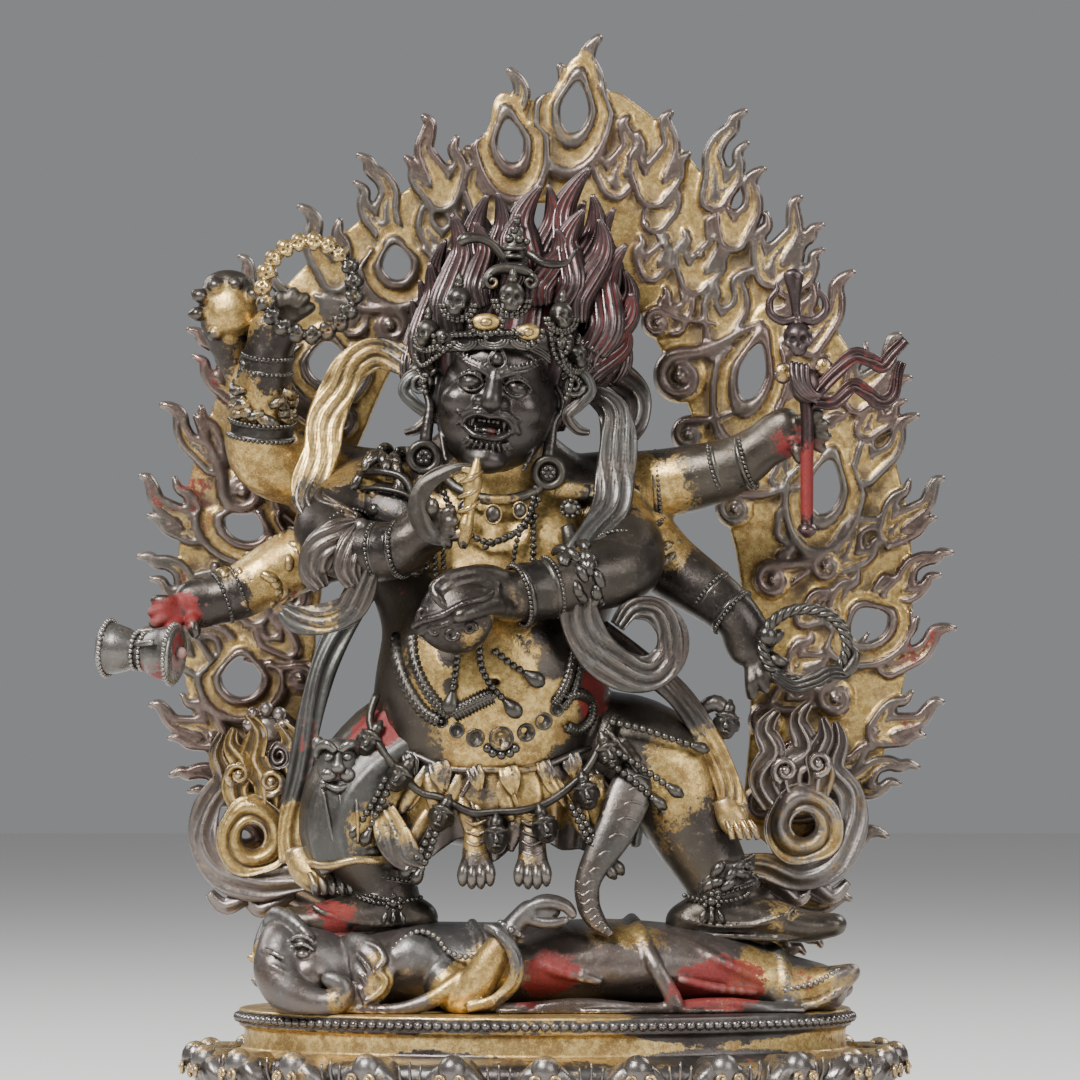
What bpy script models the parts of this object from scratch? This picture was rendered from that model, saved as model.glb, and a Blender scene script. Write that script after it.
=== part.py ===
"""A gilt bronze six-armed guardian on a lotus plinth, before an aureole of flames.

Run with: blender --background --python part.py, or from the text editor.
Lengths in the design are millimetres, turned into metres as each vertex is made.
The front faces -Y, +Z is up, and the origin is the middle of the plinth's underside.
A station is (x, y, z, across, deep): a point on a form's axis and the half sizes there.
"""

import math

import bmesh
import bpy
from mathutils import Matrix, Vector

MM = 0.001
FRONT = Vector((0.0, -1.0, 0.0))
GAP = 0.35

# How strongly thinning spares a fine place
FINE_WEIGHT = 0.12

# Plinth: heights, half sizes of its top, and petals in each of its two rows
PLINTH_TOP = 58.0
PLINTH_RIM = (91.0, 55.0)
PLINTH_PETALS = 22

# Aureole: the plane it stands in, its middle, its opening and its two feet
AUREOLE_Y = 27.0
AUREOLE_PLATE = 1.8
AUREOLE_CENTRE = (0.0, 168.0)
OPENING_CENTRE = (-4.0, 150.0)
OPENING_HALF = (66.0, 152.0)
AUREOLE_FEET = (62.0, 10.0)

# Guardian: its head, and rows of hair as (locks, root height, length, depth)
HEAD = (-14.4, -16.0, 239.0)
HEAD_SIZE = (17.6, 17.0, 19.5)
HAIR_ROWS = [(8, 268.0, 40.0, 0.0), (7, 262.0, 36.0, -6.0), (6, 256.0, 30.0, -11.0)]


def clear_scene():
    for old in list(bpy.data.objects):
        bpy.data.objects.remove(old, do_unlink=True)


def collection(name, shown=True):
    made = bpy.data.collections.new(name)
    bpy.context.scene.collection.children.link(made)
    made.hide_render = not shown
    return made


def bronze(name, colour, roughness=0.42, metallic=0.85):
    material = bpy.data.materials.new(name)
    material.use_nodes = True
    shader = material.node_tree.nodes["Principled BSDF"]
    shader.inputs["Base Color"].default_value = (*colour, 1.0)
    shader.inputs["Roughness"].default_value = roughness
    shader.inputs["Metallic"].default_value = metallic
    return material


def smoothed(stations, per_span, closed=False):
    """Points on a Catmull-Rom curve through the stations, every number of a station alike."""
    count = len(stations)
    spans = count if closed else count - 1
    rows = []
    for span in range(spans):
        picks = [span - 1, span, span + 1, span + 2]
        if closed:
            picks = [k % count for k in picks]
        else:
            picks = [min(max(k, 0), count - 1) for k in picks]
        a, b, c, d = (stations[k] for k in picks)
        for step in range(per_span):
            t = step / per_span
            rows.append(tuple(
                0.5 * (2 * q + (r - p) * t + (2 * p - 5 * q + 4 * r - s) * t * t
                       + (3 * q - p - 3 * r + s) * t ** 3)
                for p, q, r, s in zip(a, b, c, d)
            ))
    if not closed:
        rows.append(tuple(stations[-1]))
    return rows


class Clay:
    """Forms pressed together in one mesh, which is then fused into one cast surface."""

    def __init__(self):
        self.mesh = bmesh.new()

    def loft(self, stations, sides=8, per_span=3, closed=False, facing=FRONT):
        """A limb, lock or ribbon: elliptic rings along the stations."""
        rows = smoothed(stations, per_span, closed)
        centres = [Vector(row[:3]) for row in rows]
        rings = []
        across = None
        for i, row in enumerate(rows):
            if closed:
                ahead, behind = centres[(i + 1) % len(rows)], centres[i - 1]
            else:
                ahead, behind = centres[min(i + 1, len(rows) - 1)], centres[max(i - 1, 0)]
            tangent = (ahead - behind).normalized()
            turned = tangent.cross(facing)
            if turned.length > 0.2 or across is None:
                across = turned.normalized()
            deep = across.cross(tangent).normalized()
            ring = []
            for k in range(sides):
                angle = 2 * math.pi * k / sides
                offset = across * (row[3] * math.cos(angle)) + deep * (row[4] * math.sin(angle))
                ring.append(self.mesh.verts.new((centres[i] + offset) * MM))
            rings.append(ring)
        self.skin(rings, closed)

    def skin(self, rings, closed=False):
        """Faces between rings of like count, with a cap at each end unless it is closed."""
        pairs = list(zip(rings, rings[1:]))
        if closed:
            pairs.append((rings[-1], rings[0]))
        faces = []
        sides = len(rings[0])
        for near, far in pairs:
            for k in range(sides):
                j = (k + 1) % sides
                faces.append(self.mesh.faces.new((near[k], near[j], far[j], far[k])))
        if not closed:
            faces.append(self.mesh.faces.new(rings[0][::-1]))
            faces.append(self.mesh.faces.new(rings[-1]))
        bmesh.ops.recalc_face_normals(self.mesh, faces=faces)

    def ball(self, centre, radii, turn=0.0, detail=2):
        """An ellipsoid, turned about Y by so many degrees."""
        if isinstance(radii, (int, float)):
            radii = (radii,) * 3
        place = (
            Matrix.Translation(Vector(centre) * MM)
            @ Matrix.Rotation(math.radians(turn), 4, "Y")
            @ Matrix.Diagonal((*(Vector(radii) * MM), 1.0))
        )
        bmesh.ops.create_icosphere(self.mesh, subdivisions=detail, radius=1.0, matrix=place)

    def plate(self, outline, front, back):
        """A flat form: an outline of (x, z) points, filled between two depths."""
        near = [self.mesh.verts.new(Vector((x, front, z)) * MM) for x, z in outline]
        far = [self.mesh.verts.new(Vector((x, back, z)) * MM) for x, z in outline]
        faces = [self.mesh.faces.new(near), self.mesh.faces.new(far[::-1])]
        count = len(outline)
        for k in range(count):
            j = (k + 1) % count
            faces.append(self.mesh.faces.new((near[k], far[k], far[j], near[j])))
        bmesh.ops.recalc_face_normals(self.mesh, faces=faces)

    def spiral(self, centre, size, turns, start, hand, thick, depth=None):
        """A scroll that winds in, in the plane of the figure's front."""
        stations = []
        steps = max(6, int(7 * turns))
        for k in range(steps + 1):
            share = k / steps
            angle = math.radians(start) + hand * 2 * math.pi * turns * share
            reach = size * (1 - 0.7 * share)
            girth = thick * (1 - 0.3 * share)
            x = centre[0] + reach * math.sin(angle)
            z = centre[2] + reach * math.cos(angle)
            stations.append((x, centre[1], z, girth, depth or girth))
        self.loft(stations, sides=6, per_span=1)

    def plain(self, name, place, material):
        """The forms as they are, as one object."""
        data = bpy.data.meshes.new(name)
        self.mesh.to_mesh(data)
        self.mesh.free()
        made = bpy.data.objects.new(name, data)
        place.objects.link(made)
        data.materials.append(material)
        return made

    def cast(self, name, place, voxel, triangles, material, soften=2, fine=None):
        """One closed object: fused at the voxel size in millimetres, softened and thinned out.

        fine is the middle and reach of a place that keeps more of its facets than the rest.
        """
        raw = self.plain(name + "_raw", place, material)
        fused = raw.modifiers.new("fused", "REMESH")
        fused.mode = "VOXEL"
        fused.voxel_size = voxel * MM
        if soften:
            soft = raw.modifiers.new("softened", "SMOOTH")
            soft.factor = 0.5
            soft.iterations = soften
        bpy.context.view_layer.update()
        seen = raw.evaluated_get(bpy.context.evaluated_depsgraph_get())
        data = bpy.data.meshes.new_from_object(seen)
        bpy.data.objects.remove(raw, do_unlink=True)
        made = bpy.data.objects.new(name, data)
        place.objects.link(made)
        counted = sum(len(p.vertices) - 2 for p in data.polygons)
        thin = made.modifiers.new("thinned", "DECIMATE")
        thin.ratio = min(1.0, triangles / counted)
        if fine:
            group = made.vertex_groups.new(name="fine")
            middle, reach = Vector(fine[0]) * MM, fine[1] * MM
            near = [v.index for v in data.vertices if (v.co - middle).length < reach]
            group.add(near, 0.9, "REPLACE")
            thin.vertex_group = group.name
            thin.invert_vertex_group = True
            thin.vertex_group_factor = FINE_WEIGHT
        settle(made)
        return made


def settle(made):
    """Applies the object's modifiers and drops flakes that thinning left beside its one body."""
    bpy.context.view_layer.update()
    seen = made.evaluated_get(bpy.context.evaluated_depsgraph_get())
    data = bpy.data.meshes.new_from_object(seen)
    made.modifiers.clear()
    made.vertex_groups.clear()
    mesh = bmesh.new()
    mesh.from_mesh(data)
    bodies = []
    known = set()
    for vertex in mesh.verts:
        if vertex in known:
            continue
        body = [vertex]
        known.add(vertex)
        for spot in body:
            for edge in spot.link_edges:
                other = edge.other_vert(spot)
                if other not in known:
                    known.add(other)
                    body.append(other)
        bodies.append(body)
    bodies.sort(key=len)
    for body in bodies[:-1]:
        bmesh.ops.delete(mesh, geom=body, context="VERTS")
    mesh.to_mesh(data)
    mesh.free()
    made.data = data


def hide(made):
    made.hide_render = True
    made.display_type = "WIRE"
    return made


def swelled(source, place, swell=GAP):
    """A cutter: the object's finished mesh, swelled along its normals by so many millimetres."""
    bpy.context.view_layer.update()
    seen = source.evaluated_get(bpy.context.evaluated_depsgraph_get())
    data = bpy.data.meshes.new_from_object(seen)
    normals = [v.normal.copy() for v in data.vertices]
    for vertex, normal in zip(data.vertices, normals):
        vertex.co += normal * swell * MM
    made = bpy.data.objects.new(source.name + "_swelled", data)
    place.objects.link(made)
    return hide(made)


def cut(target, cutter):
    """Takes the cutter out of the target."""
    away = target.modifiers.new("less_" + cutter.name, "BOOLEAN")
    away.operation = "DIFFERENCE"
    away.solver = "EXACT"
    away.object = cutter


def slab(place, name, low, high):
    """A box cutter between two corners."""
    low, high = Vector(low) * MM, Vector(high) * MM
    clay = Clay()
    size = Matrix.Diagonal((*(high - low), 1.0))
    bmesh.ops.create_cube(clay.mesh, size=1.0, matrix=Matrix.Translation((low + high) / 2) @ size)
    return hide(clay.plain(name, place, None))


# Plinth


def petal_swell(angle, sharp):
    """How far a row of petals bulges at an angle about the plinth: 0 between petals, 1 on a petal."""
    return abs(math.cos(PLINTH_PETALS / 2 * angle)) ** sharp


def build_plinth(place, material):
    # (height, half width, petal bulge, sharpness)
    profile = [
        (0.0, 104.0, 0.0, 1), (6.0, 103.0, 0.0, 1), (8.5, 105.0, 4.5, 0.5),
        (16.0, 105.0, 5.5, 0.5), (26.0, 94.0, 0.5, 1), (29.0, 93.0, 0.5, 1), (37.0, 105.5, 5.5, 0.5),
        (43.0, 103.5, 6.5, 0.5), (46.0, 91.5, 0.0, 1), (51.5, 90.5, 0.0, 1),
        (54.0, 93.4, 0.0, 1), (PLINTH_TOP, 91.0, 0.0, 1),
    ]
    clay = Clay()
    steps = PLINTH_PETALS * 3
    inward = PLINTH_RIM[0] - PLINTH_RIM[1]
    rings = []
    for height, reach, bulge, sharp in profile:
        ring = []
        for k in range(steps):
            angle = 2 * math.pi * k / steps
            out = reach + bulge * petal_swell(angle, sharp)
            x = out * math.cos(angle)
            y = (out - inward) * math.sin(angle)
            ring.append(clay.mesh.verts.new(Vector((x, y, height)) * MM))
        rings.append(ring)
    clay.skin(rings)
    return clay.plain("lotus_plinth", place["parts"], material)


# Aureole


def aureole_reach(angle):
    """Distance from the aureole's centre to its flame tips, at an angle in degrees from straight up."""
    return 122.0 + 37.0 * math.exp(-(angle / 60) ** 2) + 25 * math.exp(-((angle - 5) / 13) ** 2)


def opening_edge(height):
    """Half width of the opening at a height."""
    share = (height - OPENING_CENTRE[1]) / OPENING_HALF[1]
    return OPENING_HALF[0] * max(0.0, 1 - share * share) ** 0.8


def opening_reach(angle):
    """Distance from the aureole's centre to the opening's edge, found by stepping outwards."""
    turn = math.radians(angle)
    reach = 0.0
    inside = True
    while inside:
        reach += 0.5
        x = AUREOLE_CENTRE[0] + reach * math.sin(turn)
        z = AUREOLE_CENTRE[1] + reach * math.cos(turn)
        inside = abs(x - OPENING_CENTRE[0]) < opening_edge(z)
    return reach


def aureole_point(angle, share):
    """A point (x, z) at an angle from straight up, share 0 at the opening and 1 at the flame tips."""
    reach = opening_reach(angle) * (1 - share) + aureole_reach(angle) * share
    turn = math.radians(angle)
    return (AUREOLE_CENTRE[0] + reach * math.sin(turn), AUREOLE_CENTRE[1] + reach * math.cos(turn))


def aureole_band():
    """The band's outline: round the outside, one foot, round the opening, and the other foot."""
    foot, half = AUREOLE_FEET
    base = PLINTH_TOP + GAP
    outer = [aureole_point(angle, 0.7) for angle in range(-126, 127, 9)]
    inner = [aureole_point(angle, 0.0) for angle in range(134, -135, -8)]
    right = [(foot + half + 8, 84.0), (foot + half + 2, 70.0), (foot + half, base),
             (foot - half, base), (foot - half + 2, 66.0)]
    left = [(-x, z) for x, z in right[::-1]]
    return outer + right + inner + left


# Flames: outlines from one side of the base to the tips and back, in widths and lengths.
FORKED = [
    (-0.3, 0.0), (-0.42, 0.2), (-0.36, 0.4), (-0.2, 0.52), (-0.17, 0.66), (-0.27, 0.82), (-0.2, 0.97),
    (0.04, 1.13), (0.1, 1.09), (0.0, 0.94), (0.09, 0.76), (0.13, 0.6), (0.07, 0.46), (0.13, 0.38), (0.22, 0.46),
    (0.2, 0.6), (0.4, 0.76), (0.36, 0.6), (0.46, 0.42), (0.4, 0.18), (0.28, 0.0),
]
SINGLE = [
    (-0.28, 0.0), (-0.36, 0.2), (-0.28, 0.42), (-0.12, 0.58), (-0.14, 0.74), (-0.24, 0.9),
    (0.04, 1.13), (0.11, 1.09), (0.02, 0.9), (0.14, 0.72), (0.18, 0.56), (0.14, 0.4), (0.28, 0.2), (0.26, 0.0),
]


def flame(clay, shape, base, lean, length, width, hand, front, back):
    """A flame of flat relief: the shape's outline set at a base, leaning, between two depths."""
    side = Vector((lean.y, -lean.x)) * hand
    outline = []
    for u, v in shape:
        spot = Vector(base) + side * (u * width) + lean * (v * length)
        outline.append((spot.x, spot.y))
    clay.plate(outline, front, back)


# Openings between the flames: (x, z, half width, half height, lean in degrees)
FLAME_HOLES = [
    (9.0, 329.0, 4.2, 7.5, 8), (-10.5, 319.0, 3.8, 6.5, -8), (-45.0, 282.0, 4.2, 5.0, -8),
    (-66.0, 252.0, 5.6, 6.0, 0), (-91.0, 202.5, 6.0, 4.5, 20), (-92.0, 156.5, 6.0, 6.0, 0),
    (63.0, 249.0, 4.0, 8.5, 14), (85.0, 214.0, 4.6, 8.0, 10), (98.0, 172.5, 6.0, 5.0, -30),
]

# Scrolls along the opening: (x, z, size, start in degrees, handedness)
SCROLLS = [
    (43.0, 243.0, 8.0, 60, 1), (45.0, 222.0, 5.5, 60, 1), (56.0, 204.0, 6.0, 120, 1),
    (70.0, 188.0, 6.0, 60, -1), (82.0, 188.0, 5.0, 60, 1), (90.0, 150.0, 6.0, 200, -1),
    (-91.0, 214.0, 8.5, 240, -1), (-44.0, 262.0, 6.0, 300, -1), (-78.0, 180.0, 6.0, 240, -1),
    (27.0, 272.0, 6.5, 90, 1), (66.0, 135.0, 6.0, 90, 1), (-76.0, 128.0, 6.0, 240, 1),
]


def teardrop(x, z, wide, tall, lean, grow=0.0, steps=10):
    """The outline of an opening, round below and drawn to a point above."""
    turn = math.radians(lean)
    points = []
    for k in range(steps):
        angle = 2 * math.pi * k / steps
        pinch = 1 - 0.35 * max(0.0, math.cos(angle))
        u = (wide + grow) * math.sin(angle) * pinch
        v = (tall + grow) * math.cos(angle)
        points.append((x + u * math.cos(turn) + v * math.sin(turn),
                       z - u * math.sin(turn) + v * math.cos(turn)))
    return points


def flame_row(clay, angles, root, tip, width, height, shapes):
    """A row of flames between two shares of the ring, height proud of the plate, mirrored."""
    for k, angle in enumerate(angles):
        hand = 1 if angle >= 0 else -1
        base = Vector(aureole_point(angle, root))
        top = Vector(aureole_point(angle, tip))
        out = Vector((math.sin(math.radians(angle)), math.cos(math.radians(angle))))
        lean = (out + Vector((0.0, 0.7))).normalized()
        length = (top - base).length * (1.0 + 0.06 * ((k * 7) % 5 - 2))
        front = AUREOLE_Y - AUREOLE_PLATE - height - 0.5 * (k % 2)
        flame(clay, shapes[k % len(shapes)], base, lean, length, width, hand, front,
              AUREOLE_Y + AUREOLE_PLATE - 0.2)


def build_aureole(place, material):
    front = AUREOLE_Y - AUREOLE_PLATE
    clay = Clay()
    clay.plate(aureole_band(), front, AUREOLE_Y + AUREOLE_PLATE)
    outer = [-131, -119, -107, -95, -84, -73, -62, -51, -41, -31, -22, -13, -4,
             5, 14, 23, 32, 42, 52, 63, 74, 85, 96, 108, 120, 132]
    flame_row(clay, outer, 0.42, 1.0, 24.0, 0.2, [FORKED, FORKED, SINGLE])
    inner = [a for a in range(-117, 118, 18)]
    flame_row(clay, inner, 0.12, 0.62, 20.0, 1.5, [FORKED, SINGLE])
    for x, z, wide, tall, lean in FLAME_HOLES:
        clay.plate(teardrop(x, z, wide, tall, lean, 3.6), front - 1.6, AUREOLE_Y + AUREOLE_PLATE)
    for x, z, size, start, hand in SCROLLS:
        disc = teardrop(x, z, size, size, 0)
        clay.plate(disc, front - 0.8, AUREOLE_Y + AUREOLE_PLATE)
        clay.spiral((x, front - 1.2, z), size, 1.1, start, hand, 2.2)
    made = clay.cast("flame_aureole", place["parts"], 0.9, 2150, material)
    for k, (x, z, wide, tall, lean) in enumerate(FLAME_HOLES):
        drill = Clay()
        drill.plate(teardrop(x, z, wide, tall, lean), AUREOLE_Y - 12, AUREOLE_Y + 12)
        cut(made, hide(drill.plain(f"opening_{k}", place["cutters"], None)))
    return made


# Figure lying on the plinth


def build_prone(place, material):
    clay = Clay()
    # trunk, hips and the legs laid one on the other
    clay.loft([(-62, -13, 69, 11, 18), (-40, -12, 71, 12, 20), (-10, -12, 71, 12, 21),
               (20, -12, 72, 12, 21), (48, -13, 70, 11, 17), (68, -15, 66, 8.5, 12),
               (84, -16, 64, 6, 8)], sides=12)
    # head, ears and curling trunk
    clay.ball((-69, -18, 72), (14, 16, 13))
    clay.ball((-78, -24, 76), (8, 9, 9))
    clay.loft([(-78, -30, 76, 6, 6), (-83, -33, 67, 5, 5), (-77, -36, 62, 4, 4),
               (-66, -37, 62, 3.4, 3.4), (-60, -36, 67, 2.8, 2.8), (-65, -36, 70, 2.2, 2.2)])
    clay.loft([(-52, -28, 78, 3, 3), (-42, -33, 72, 9, 3), (-38, -34, 65, 7, 3),
               (-40, -33, 61, 3, 2.5)], sides=6)
    clay.loft([(-84, -12, 72, 3, 3), (-85, -5, 69, 8, 3), (-82, 1, 66, 6, 2.5)], sides=6)
    # the arm raised with a bowl, and the other arm along the side
    clay.loft([(-30, -30, 68, 6, 6), (-20, -36, 62.5, 5.5, 5), (-15, -38, 68, 5.5, 5),
               (-12, -38, 79, 5, 5), (-6, -37, 87, 4.6, 4.6), (1, -37, 88, 4.6, 4.6)])
    clay.loft([(-2, -38, 87, 3, 4), (4, -38, 88.5, 4.5, 5), (9, -38, 88, 3, 5)], sides=8)
    clay.loft([(22, -30, 76, 5, 5), (30, -33, 68, 5, 5), (36, -32, 61, 4.5, 5)])
    # folds of the cloth, sash and feet
    for k in range(4):
        x = 6 + 14 * k
        clay.loft([(x, -24, 80, 1.8, 1.8), (x + 7, -31, 73, 2, 2), (x + 8, -33, 63, 2, 2)], sides=6)
    clay.loft([(26, -8, 84, 3, 2), (29, -24, 80, 3, 2), (30, -33, 72, 3, 2),
               (29, -34, 61, 3, 2)], sides=6)
    clay.loft([(76, -18, 66, 6, 7), (88, -20, 66.5, 4.5, 6), (92, -22, 67, 2, 4)])
    clay.loft([(74, -8, 63, 5, 6), (86, -7, 63, 4, 5), (90, -8, 63, 2, 4)])
    made = clay.cast("prone_elephant_figure", place["parts"], 0.9, 700, material)
    base = slab(place["cutters"], "plinth_face", (-110, -80, 30), (110, 80, PLINTH_TOP + GAP))
    cut(made, base)
    return made


# Guardian


def hand(clay, wrist, palm, tips, girth=2.1):
    """A palm with fingers that curl from it to their tips."""
    wrist, palm = Vector(wrist), Vector(palm)
    clay.loft([(*wrist, 6.2, 5.6), (*((wrist + palm) / 2), 7.2, 5.2), (*palm, 7.0, 5.0)])
    for tip in tips:
        tip = Vector(tip)
        knuckle = palm + (tip - palm) * 0.35
        clay.loft([(*palm, girth * 1.2, girth * 1.2), (*knuckle, girth * 1.1, girth * 1.1),
                   (*((knuckle + tip) / 2 + Vector((0, -1.2, 0))), girth, girth),
                   (*tip, girth * 0.8, girth * 0.8)], sides=6)


def cuff(clay, centre, along, radius, width=3.0, rise=1.4):
    """A bracelet: a short ring round a limb."""
    centre, along = Vector(centre), Vector(along).normalized()
    rows = []
    for share in (-1, -0.5, 0.5, 1):
        swell = radius + rise if abs(share) < 1 else radius
        spot = centre + along * (width * share)
        rows.append((*spot, swell, swell))
    clay.loft(rows, sides=10, per_span=1)


def limbs(clay):
    """The six arms: upper, middle and main on each side."""
    clay.loft([(-44, 4, 213, 11, 10), (-66, 6, 217, 10, 10), (-83, 3, 222, 10, 9.5),
               (-86, -1, 233, 9.4, 9), (-84, -4, 246, 7.8, 7.6), (-82.5, -6, 256, 7, 6.6)])
    cuff(clay, (-84.5, -3, 240), (0.1, -0.2, 1), 8.6, 4)
    hand(clay, (-82.5, -6, 256), (-80, -8, 265), [(-78, -12, 272), (-72, -10, 267), (-84, -12, 274)])
    clay.loft([(-44, 0, 200, 11, 10), (-62, -2, 196, 10, 9), (-78, -6, 190, 9, 8.6),
               (-90, -9, 183, 7.8, 7.4), (-97, -11, 180, 7, 6.5)])
    cuff(clay, (-88, -8.5, 184), (-1, -0.2, -0.5), 8.2, 4)
    hand(clay, (-97, -11, 180), (-107, -13, 179), [(-114, -17, 178), (-114, -18, 174), (-108, -19, 169)])
    clay.loft([(-44, -2, 212, 12, 11), (-58, -8, 208, 11, 11), (-64, -17, 200, 10, 10),
               (-56, -27, 195, 9, 9), (-44, -34, 195, 8, 8), (-38, -37, 199, 7, 7)])
    cuff(clay, (-45, -33.5, 195), (1, -0.5, 0.1), 8.0, 3.4)
    hand(clay, (-38, -37, 199), (-33, -40, 202), [(-27, -43, 206), (-27, -43, 201), (-28, -42, 197)])
    clay.loft([(14, 4, 212, 12, 10), (30, 3, 214, 10, 9.6), (46, 0, 217, 9, 8.6),
               (57, -3, 220.5, 7.8, 7.4), (65, -5, 226, 6.6, 6)])
    cuff(clay, (29, 3, 214), (1, 0, 0.08), 9.8, 4)
    cuff(clay, (56, -3, 220), (1, -0.2, 0.3), 7.8, 4.4)
    hand(clay, (65, -5, 226), (74, -8, 232), [(81, -13, 236), (83, -12, 232), (83, -11, 228), (79, -9, 222)])
    clay.loft([(14, 2, 203, 12, 10), (28, 1, 199, 9.6, 9), (36, -1, 191, 9, 8.6),
               (46, -5, 184, 8, 7.6), (54, -8, 178, 7, 6.6), (59, -9, 173, 6.4, 6)])
    cuff(clay, (31, 0, 194.5), (0.6, -0.1, -0.8), 9.2, 4)
    cuff(clay, (53, -7.5, 179), (0.7, -0.2, -0.6), 7.4, 3.6)
    hand(clay, (59, -9, 173), (62, -11, 164), [(61, -13, 152), (67, -14, 155), (71, -14, 160), (70, -13, 169)])
    clay.loft([(12, -2, 208, 13, 12), (22, -12, 198, 11.5, 11), (23, -23, 190, 10.5, 10),
               (10, -32, 186, 9, 9), (-3, -37, 182.5, 8, 8), (-12, -39, 181, 7, 7)])
    cuff(clay, (-4, -37, 182.5), (-1, -0.2, -0.2), 8.2, 4)
    hand(clay, (-12, -39, 181), (-20, -43, 181), [(-28, -46, 184), (-29, -47, 180), (-27, -47, 176)])


def head(clay):
    x, y, z = HEAD
    clay.ball(HEAD, HEAD_SIZE)
    clay.ball((x, y - 3, z - 9), (14.5, 13.5, 11))
    clay.ball((x, y - 15.5, z + 13), (2.6, 2.6, 3.4), detail=1)
    clay.ball((x, y - 15.0, z - 1.5), (3.4, 4.5, 4.2))
    for side in (-1, 1):
        clay.loft([(x + side * 1.5, y - 16, z + 7.5, 1.4, 1.6), (x + side * 7, y - 15.8, z + 8.5, 1.7, 1.8),
                   (x + side * 13, y - 11.5, z + 12, 1.2, 1.4)], sides=6)
        clay.ball((x + side * 7.4, y - 13.8, z + 3.8), (4.2, 3.2, 3.0))
        clay.ball((x + side * 8.5, y - 11.5, z - 5), (5.5, 5, 5))
        clay.loft([(x + side * 1, y - 17.2, z - 6.5, 1.3, 1.6), (x + side * 6, y - 16, z - 8, 1.4, 1.6),
                   (x + side * 9.5, y - 12.5, z - 11.5, 1.0, 1.2)], sides=6)
        clay.ball((x + side * 18.5, y + 3, z + 1), (3, 4, 7))
        clay.spiral((x + side * 18.3, y - 4, z - 18.5), 4.0, 1.0, 0, side, 1.8)
        clay.loft([(x + side * 18.5, y + 2, z - 3, 2.4, 2.4), (x + side * 18.3, y - 1, z - 10, 2.2, 2.2),
                   (x + side * 18.3, y - 3.5, z - 15, 2.2, 2.2)], sides=6)
        clay.loft([(x + side * 20, y + 1, z + 6, 2, 2), (x + side * 26, y, z + 2, 2.2, 2),
                   (x + side * 24, y - 1, z - 5, 2, 2), (x + side * 21, y - 1, z - 9, 1.6, 1.6)], sides=6)
    clay.loft([(x - 6.5, y - 14.5, z - 14, 1.6, 2), (x, y - 16.5, z - 15.2, 1.8, 2.2),
               (x + 6.5, y - 14.5, z - 14, 1.6, 2)], sides=6)
    clay.ball((x, y - 10, z - 18), (7, 6, 4.5))
    # crown of five skulls
    for turn in (-74, -38, 0, 38, 74):
        angle = math.radians(turn)
        spot = (x + 19 * math.sin(angle), y + 2 - 17 * math.cos(angle), z + 20 + 8 * math.cos(angle) - 1.5)
        clay.ball(spot, (4.2, 4.0, 4.6), detail=2)
        clay.ball((spot[0], spot[1], spot[2] + 6.2), (1.8, 1.8, 2.6), detail=1)
        clay.ball((spot[0], spot[1] - 0.4, spot[2] - 5), (3.2, 3.0, 3.2), detail=1)
    clay.loft([(x + 17 * math.sin(math.radians(a)), y + 1 - 15.5 * math.cos(math.radians(a)), z + 15.5, 3.6, 2.6)
               for a in range(0, 360, 30)], per_span=1, closed=True, sides=6)
    # knot of snakes over the crown
    clay.ball((x + 4.4, y - 3, z + 42), (6, 6, 5))
    clay.loft([(x + 4.4, y - 3, z + 42, 4, 4), (x + 4.4, y + 12, z + 36, 4, 4)], sides=6)
    clay.loft([(x + 2, y - 5, z + 44, 2.2, 2.2), (x - 5, y - 7, z + 48, 2.4, 2.4),
               (x - 11, y - 7, z + 49.5, 2.8, 2.6)], sides=6)
    clay.loft([(x + 6, y - 5, z + 45, 2.2, 2.2), (x + 13, y - 7, z + 43, 2.2, 2.2),
               (x + 20, y - 7, z + 40.5, 2, 2)], sides=6)


def hair(clay):
    """Hair that stands up like fire: a core, and locks that sway to their points."""
    clay.loft([(-14, 0, 246, 24, 15), (-12, 2, 262, 27, 16), (-9, 4, 276, 25, 12),
               (-4, 6, 288, 15, 8)], sides=12)
    for row, (count, root, rise, depth) in enumerate(HAIR_ROWS):
        for k in range(count):
            share = 2 * k / (count - 1) - 1
            x = -12 + 25 * share
            foot = root - 10 * abs(share)
            length = rise * (1 - 0.22 * share * share) + 3 * ((k * 5 + row) % 3 - 1)
            sway = 2.2 if (k + row) % 2 else -2.2
            lean = 8 * share + 8
            clay.loft([(x, depth + 4, foot, 5.0, 4.4),
                       (x + lean * 0.2 - sway, depth, foot + length * 0.35, 5.2, 4.6),
                       (x + lean * 0.6 + sway, depth + 2, foot + length * 0.72, 3.4, 3.4),
                       (x + lean * 1.1, depth + 4, foot + length, 0.9, 1.0)], sides=6)


def trunk(clay):
    clay.loft([(-13, 2, 118, 30, 20), (-16, -4, 138, 37, 27), (-17, -7, 155, 37, 29),
               (-16, -5, 172, 34, 25), (-15, 0, 190, 38, 21), (-15, 2, 206, 39, 18),
               (-15, 1, 216, 26, 15), (-14.5, -5, 228, 13, 12)], sides=16)
    for side in (-1, 1):
        clay.ball((-15 + side * 15, -13, 196), (13, 9, 11))
    # girdle of discs and the snake band
    clay.loft([(-40, -22, 156, 2.4, 2.4), (-35, -30, 146, 2.6, 2.6), (-22, -36, 139, 3, 2.6),
               (-13, -37, 137.5, 3.4, 3), (-2, -36, 140, 3, 2.6), (9, -30, 147, 2.6, 2.6),
               (14, -24, 154, 2.2, 2.2)], sides=6)
    clay.loft([(-46, -12, 168, 3, 3), (-42, -22, 160, 3.2, 3), (-33, -32, 147, 3, 3)], sides=6)


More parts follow.
